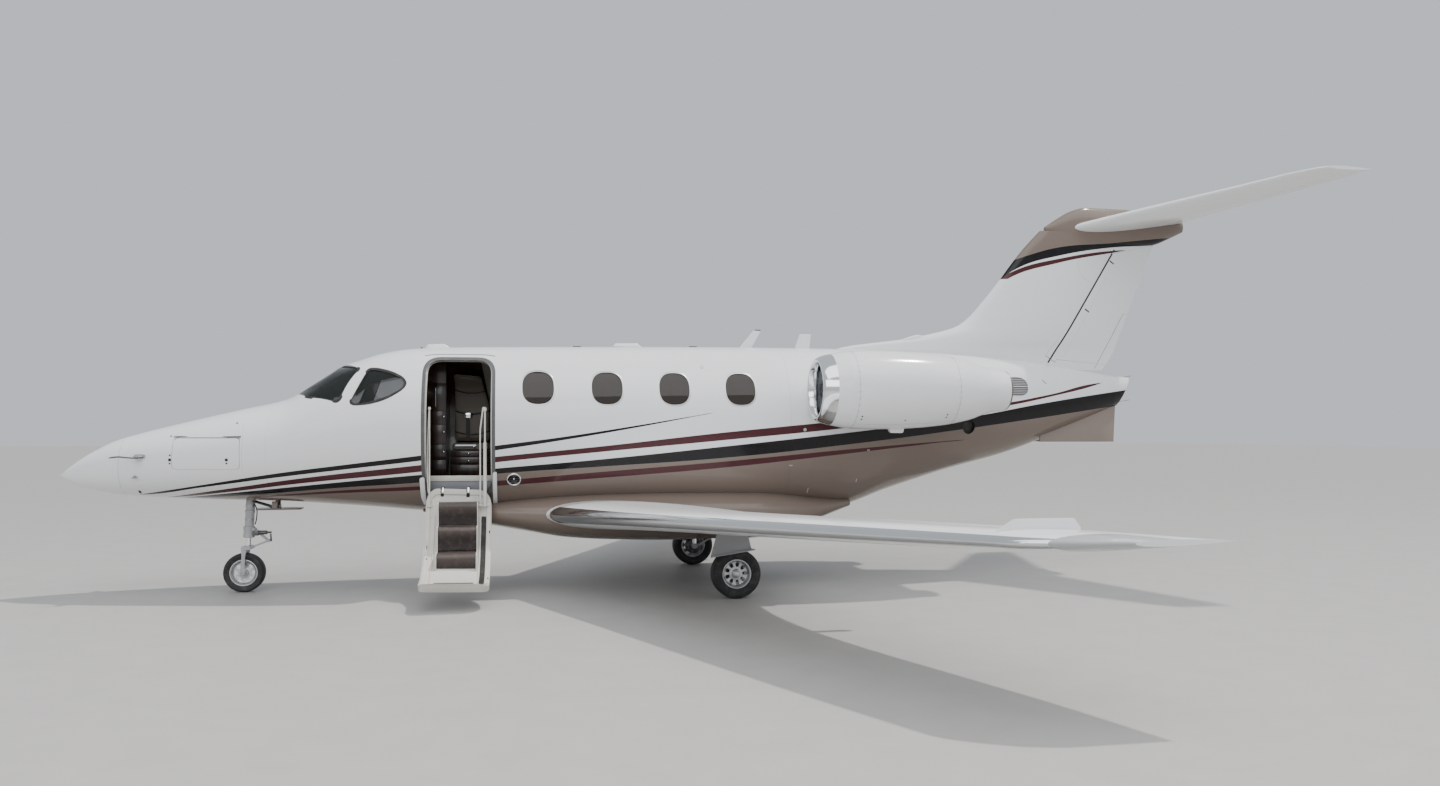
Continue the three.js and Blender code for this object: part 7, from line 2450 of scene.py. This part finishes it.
def make_cowl_details(finishes):
    for word, side in SIDES:
        spots = [on_cowl(x, degrees, side, -0.0006)
                 for x in (1.352, 1.372, 2.505, 2.535) for degrees in range(5, 360, 10)]
        fasteners(f"cowl_screws_{word}", spots, SCREW, 0.0045, finishes["door_grey"], slot="white_paint")
        base, out = ENGINE["height"], side * ENGINE["out"]
        seams = []
        for x in (1.362, 2.520):
            radius = COWL.at(x)[0]
            strip = [(x - 0.0012, radius - 0.004), (x - 0.0012, radius + 0.0004),
                     (x + 0.0012, radius + 0.0004), (x + 0.0012, radius - 0.004)]
            seams.append(turned(strip, (0, out, base), ALONG, 128, closed=True))
        for degrees in (-62, 242):
            path = [on_cowl(x, degrees, side, -0.0008)[0] for x in spaced(1.364, 2.518, 0.06)]
            seams.append(swept(path, 0.0014, 6))
        for x, degrees in COWL_LATCHES:
            here, way = on_cowl(x, degrees, side, -0.003)
            seams.append(ringed(here, here + way * 0.0046, [(0, 0.0), (0, 0.011), (1, 0.010), (1, 0.0)], 16))
        piece(f"cowl_seams_{word}", seams, finishes["dark_metal"], slot="engine_metal")
        fin = set_across(rounded([(x, 0, base + z) for x, z in COWL_DRAIN], 0.012, 4), out - 0.028)
        piece(f"cowl_drain_{word}", [prism(fin, ACROSS, 0, 0.056)], finishes["cowl"], slot="white_paint",
              bevel=0.008, segments=3)


def make_finishes():
    make_wear_group()
    make_streak_group()
    make_grain_group()
    make_seam_group()
    make_livery_group()
    make_fin_group()
    return {
        "livery": painted("fuselage_paint", "fuselage_colours", variation=0.02, dust=0.012),
        "fin": painted("fin_paint", "fin_colours", variation=0.02, dust=0.012),
        "wing": painted("wing_paint"),
        "tailplane": painted("tailplane_paint"),
        "cowl": painted("cowl_paint"),
        "cabin_glass": tinted_glass("cabin_glass", (0.030, 0.024, 0.020), 0.18),
        "cockpit_glass": tinted_glass("cockpit_glass", (0.03, 0.034, 0.032), 0.70),
        "polished": bare_metal("polished_lip", (0.80, 0.81, 0.82), 0.10),
        "fan": bare_metal("fan_titanium", (0.36, 0.37, 0.39), 0.30),
        "spinner": bare_metal("spinner_grey", (0.16, 0.16, 0.17), 0.38),
        "hot_metal": bare_metal("hot_metal", (0.20, 0.18, 0.17), 0.42),
        "duct_metal": bare_metal("duct_metal", (0.45, 0.45, 0.46), 0.35),
        "wheel": bare_metal("wheel_alloy", (0.62, 0.63, 0.64), 0.36),
        "steel": bare_metal("bolt_steel", (0.42, 0.42, 0.43), 0.34),
        "chrome": bare_metal("piston_chrome", (0.86, 0.87, 0.88), 0.08),
        "dark_metal": bare_metal("dark_metal", (0.13, 0.13, 0.135), 0.42),
        "gear": painted("gear_paint", colour=(0.42, 0.43, 0.44), rough=0.34, variation=0.10, dust=0.25),
        "door_grey": painted("leg_door_paint", colour=(0.33, 0.335, 0.34), rough=0.30, variation=0.06,
                             dust=0.12),
        "taupe": painted("taupe_paint", colour=TAUPE, rough=0.18, dust=0.12),
        "rubber": rubber("tyre_rubber"),
        "lens": clear_lens("lamp_lens"),
        "white": painted("white_paint"),
        "livery_open": painted("door_livery", "fuselage_colours",
                               turn=((-OPENING, 0, 0), HINGE - UNSWING.to_3x3() @ HINGE)),
        "cream": painted("cream_paint", colour=(0.66, 0.64, 0.59), rough=0.30, variation=0.10, dust=0.22),
        "rail": painted("rail_paint", colour=(0.70, 0.69, 0.66), rough=0.22, variation=0.06, dust=0.08),
        "recess": bare_metal("recess_metal", (0.22, 0.23, 0.24), 0.42),
        "seal": rubber("door_seal", (0.085, 0.087, 0.090)),
        # Flat black for yokes, frames, seals and marks, and also painted shade on recess walls and backs,
        # holes, slots, a scoop's mouth and seam creases.
        "black_trim_and_painted_shade": rubber("black_trim_and_painted_shade", (0.016, 0.015, 0.015)),
        "brushed": bare_metal("brushed_strip", (0.50, 0.49, 0.47), 0.34, axis_scale=(0.1, 1, 1)),
        "carpet": tread_rubber("stair_treads"),
        "rim": bare_metal("window_rim", (0.60, 0.60, 0.59), 0.30),
        "edge": bare_metal("leading_edge", (0.66, 0.67, 0.68), 0.16),
        "cabin_carpet": carpet("cabin_carpet", (0.055, 0.046, 0.040)),
        "lining": painted("cabin_lining", colour=(0.36, 0.35, 0.33), rough=0.62, variation=0.08, dust=0.12),
        "wood": veneer("veneer", (0.050, 0.022, 0.013), (0.020, 0.009, 0.006)),
        "dark_wood": veneer("dark_veneer", (0.030, 0.014, 0.008), (0.014, 0.007, 0.005)),
        "leather": leather("seat_leather", (0.185, 0.165, 0.138)),
        "belt": rubber("seat_belt", (0.070, 0.062, 0.056)),
        "panel": rubber("panel_black", (0.030, 0.030, 0.032)),
        "screen": painted("screen_glass", colour=(0.008, 0.009, 0.012), rough=0.08, variation=0.0, dust=0.04),
    }


def main():
    finishes = make_finishes()
    make_view()
    make_studio()
    make_fuselage(finishes)
    make_wings(finishes)
    make_tail(finishes)
    make_engines(finishes)
    make_engine_insides(finishes)
    make_wheels(finishes)
    make_nose_gear(finishes)
    make_main_gear(finishes)
    make_airstair(finishes)
    make_handrails(finishes)
    make_doorway(finishes)
    make_cabin(finishes)
    make_seats(finishes)
    make_flight_deck(finishes)
    make_antennas(finishes)
    make_nose_details(finishes)
    make_flank_details(finishes)
    make_tail_details(finishes)
    make_wing_details(finishes)
    make_cowl_details(finishes)


main()
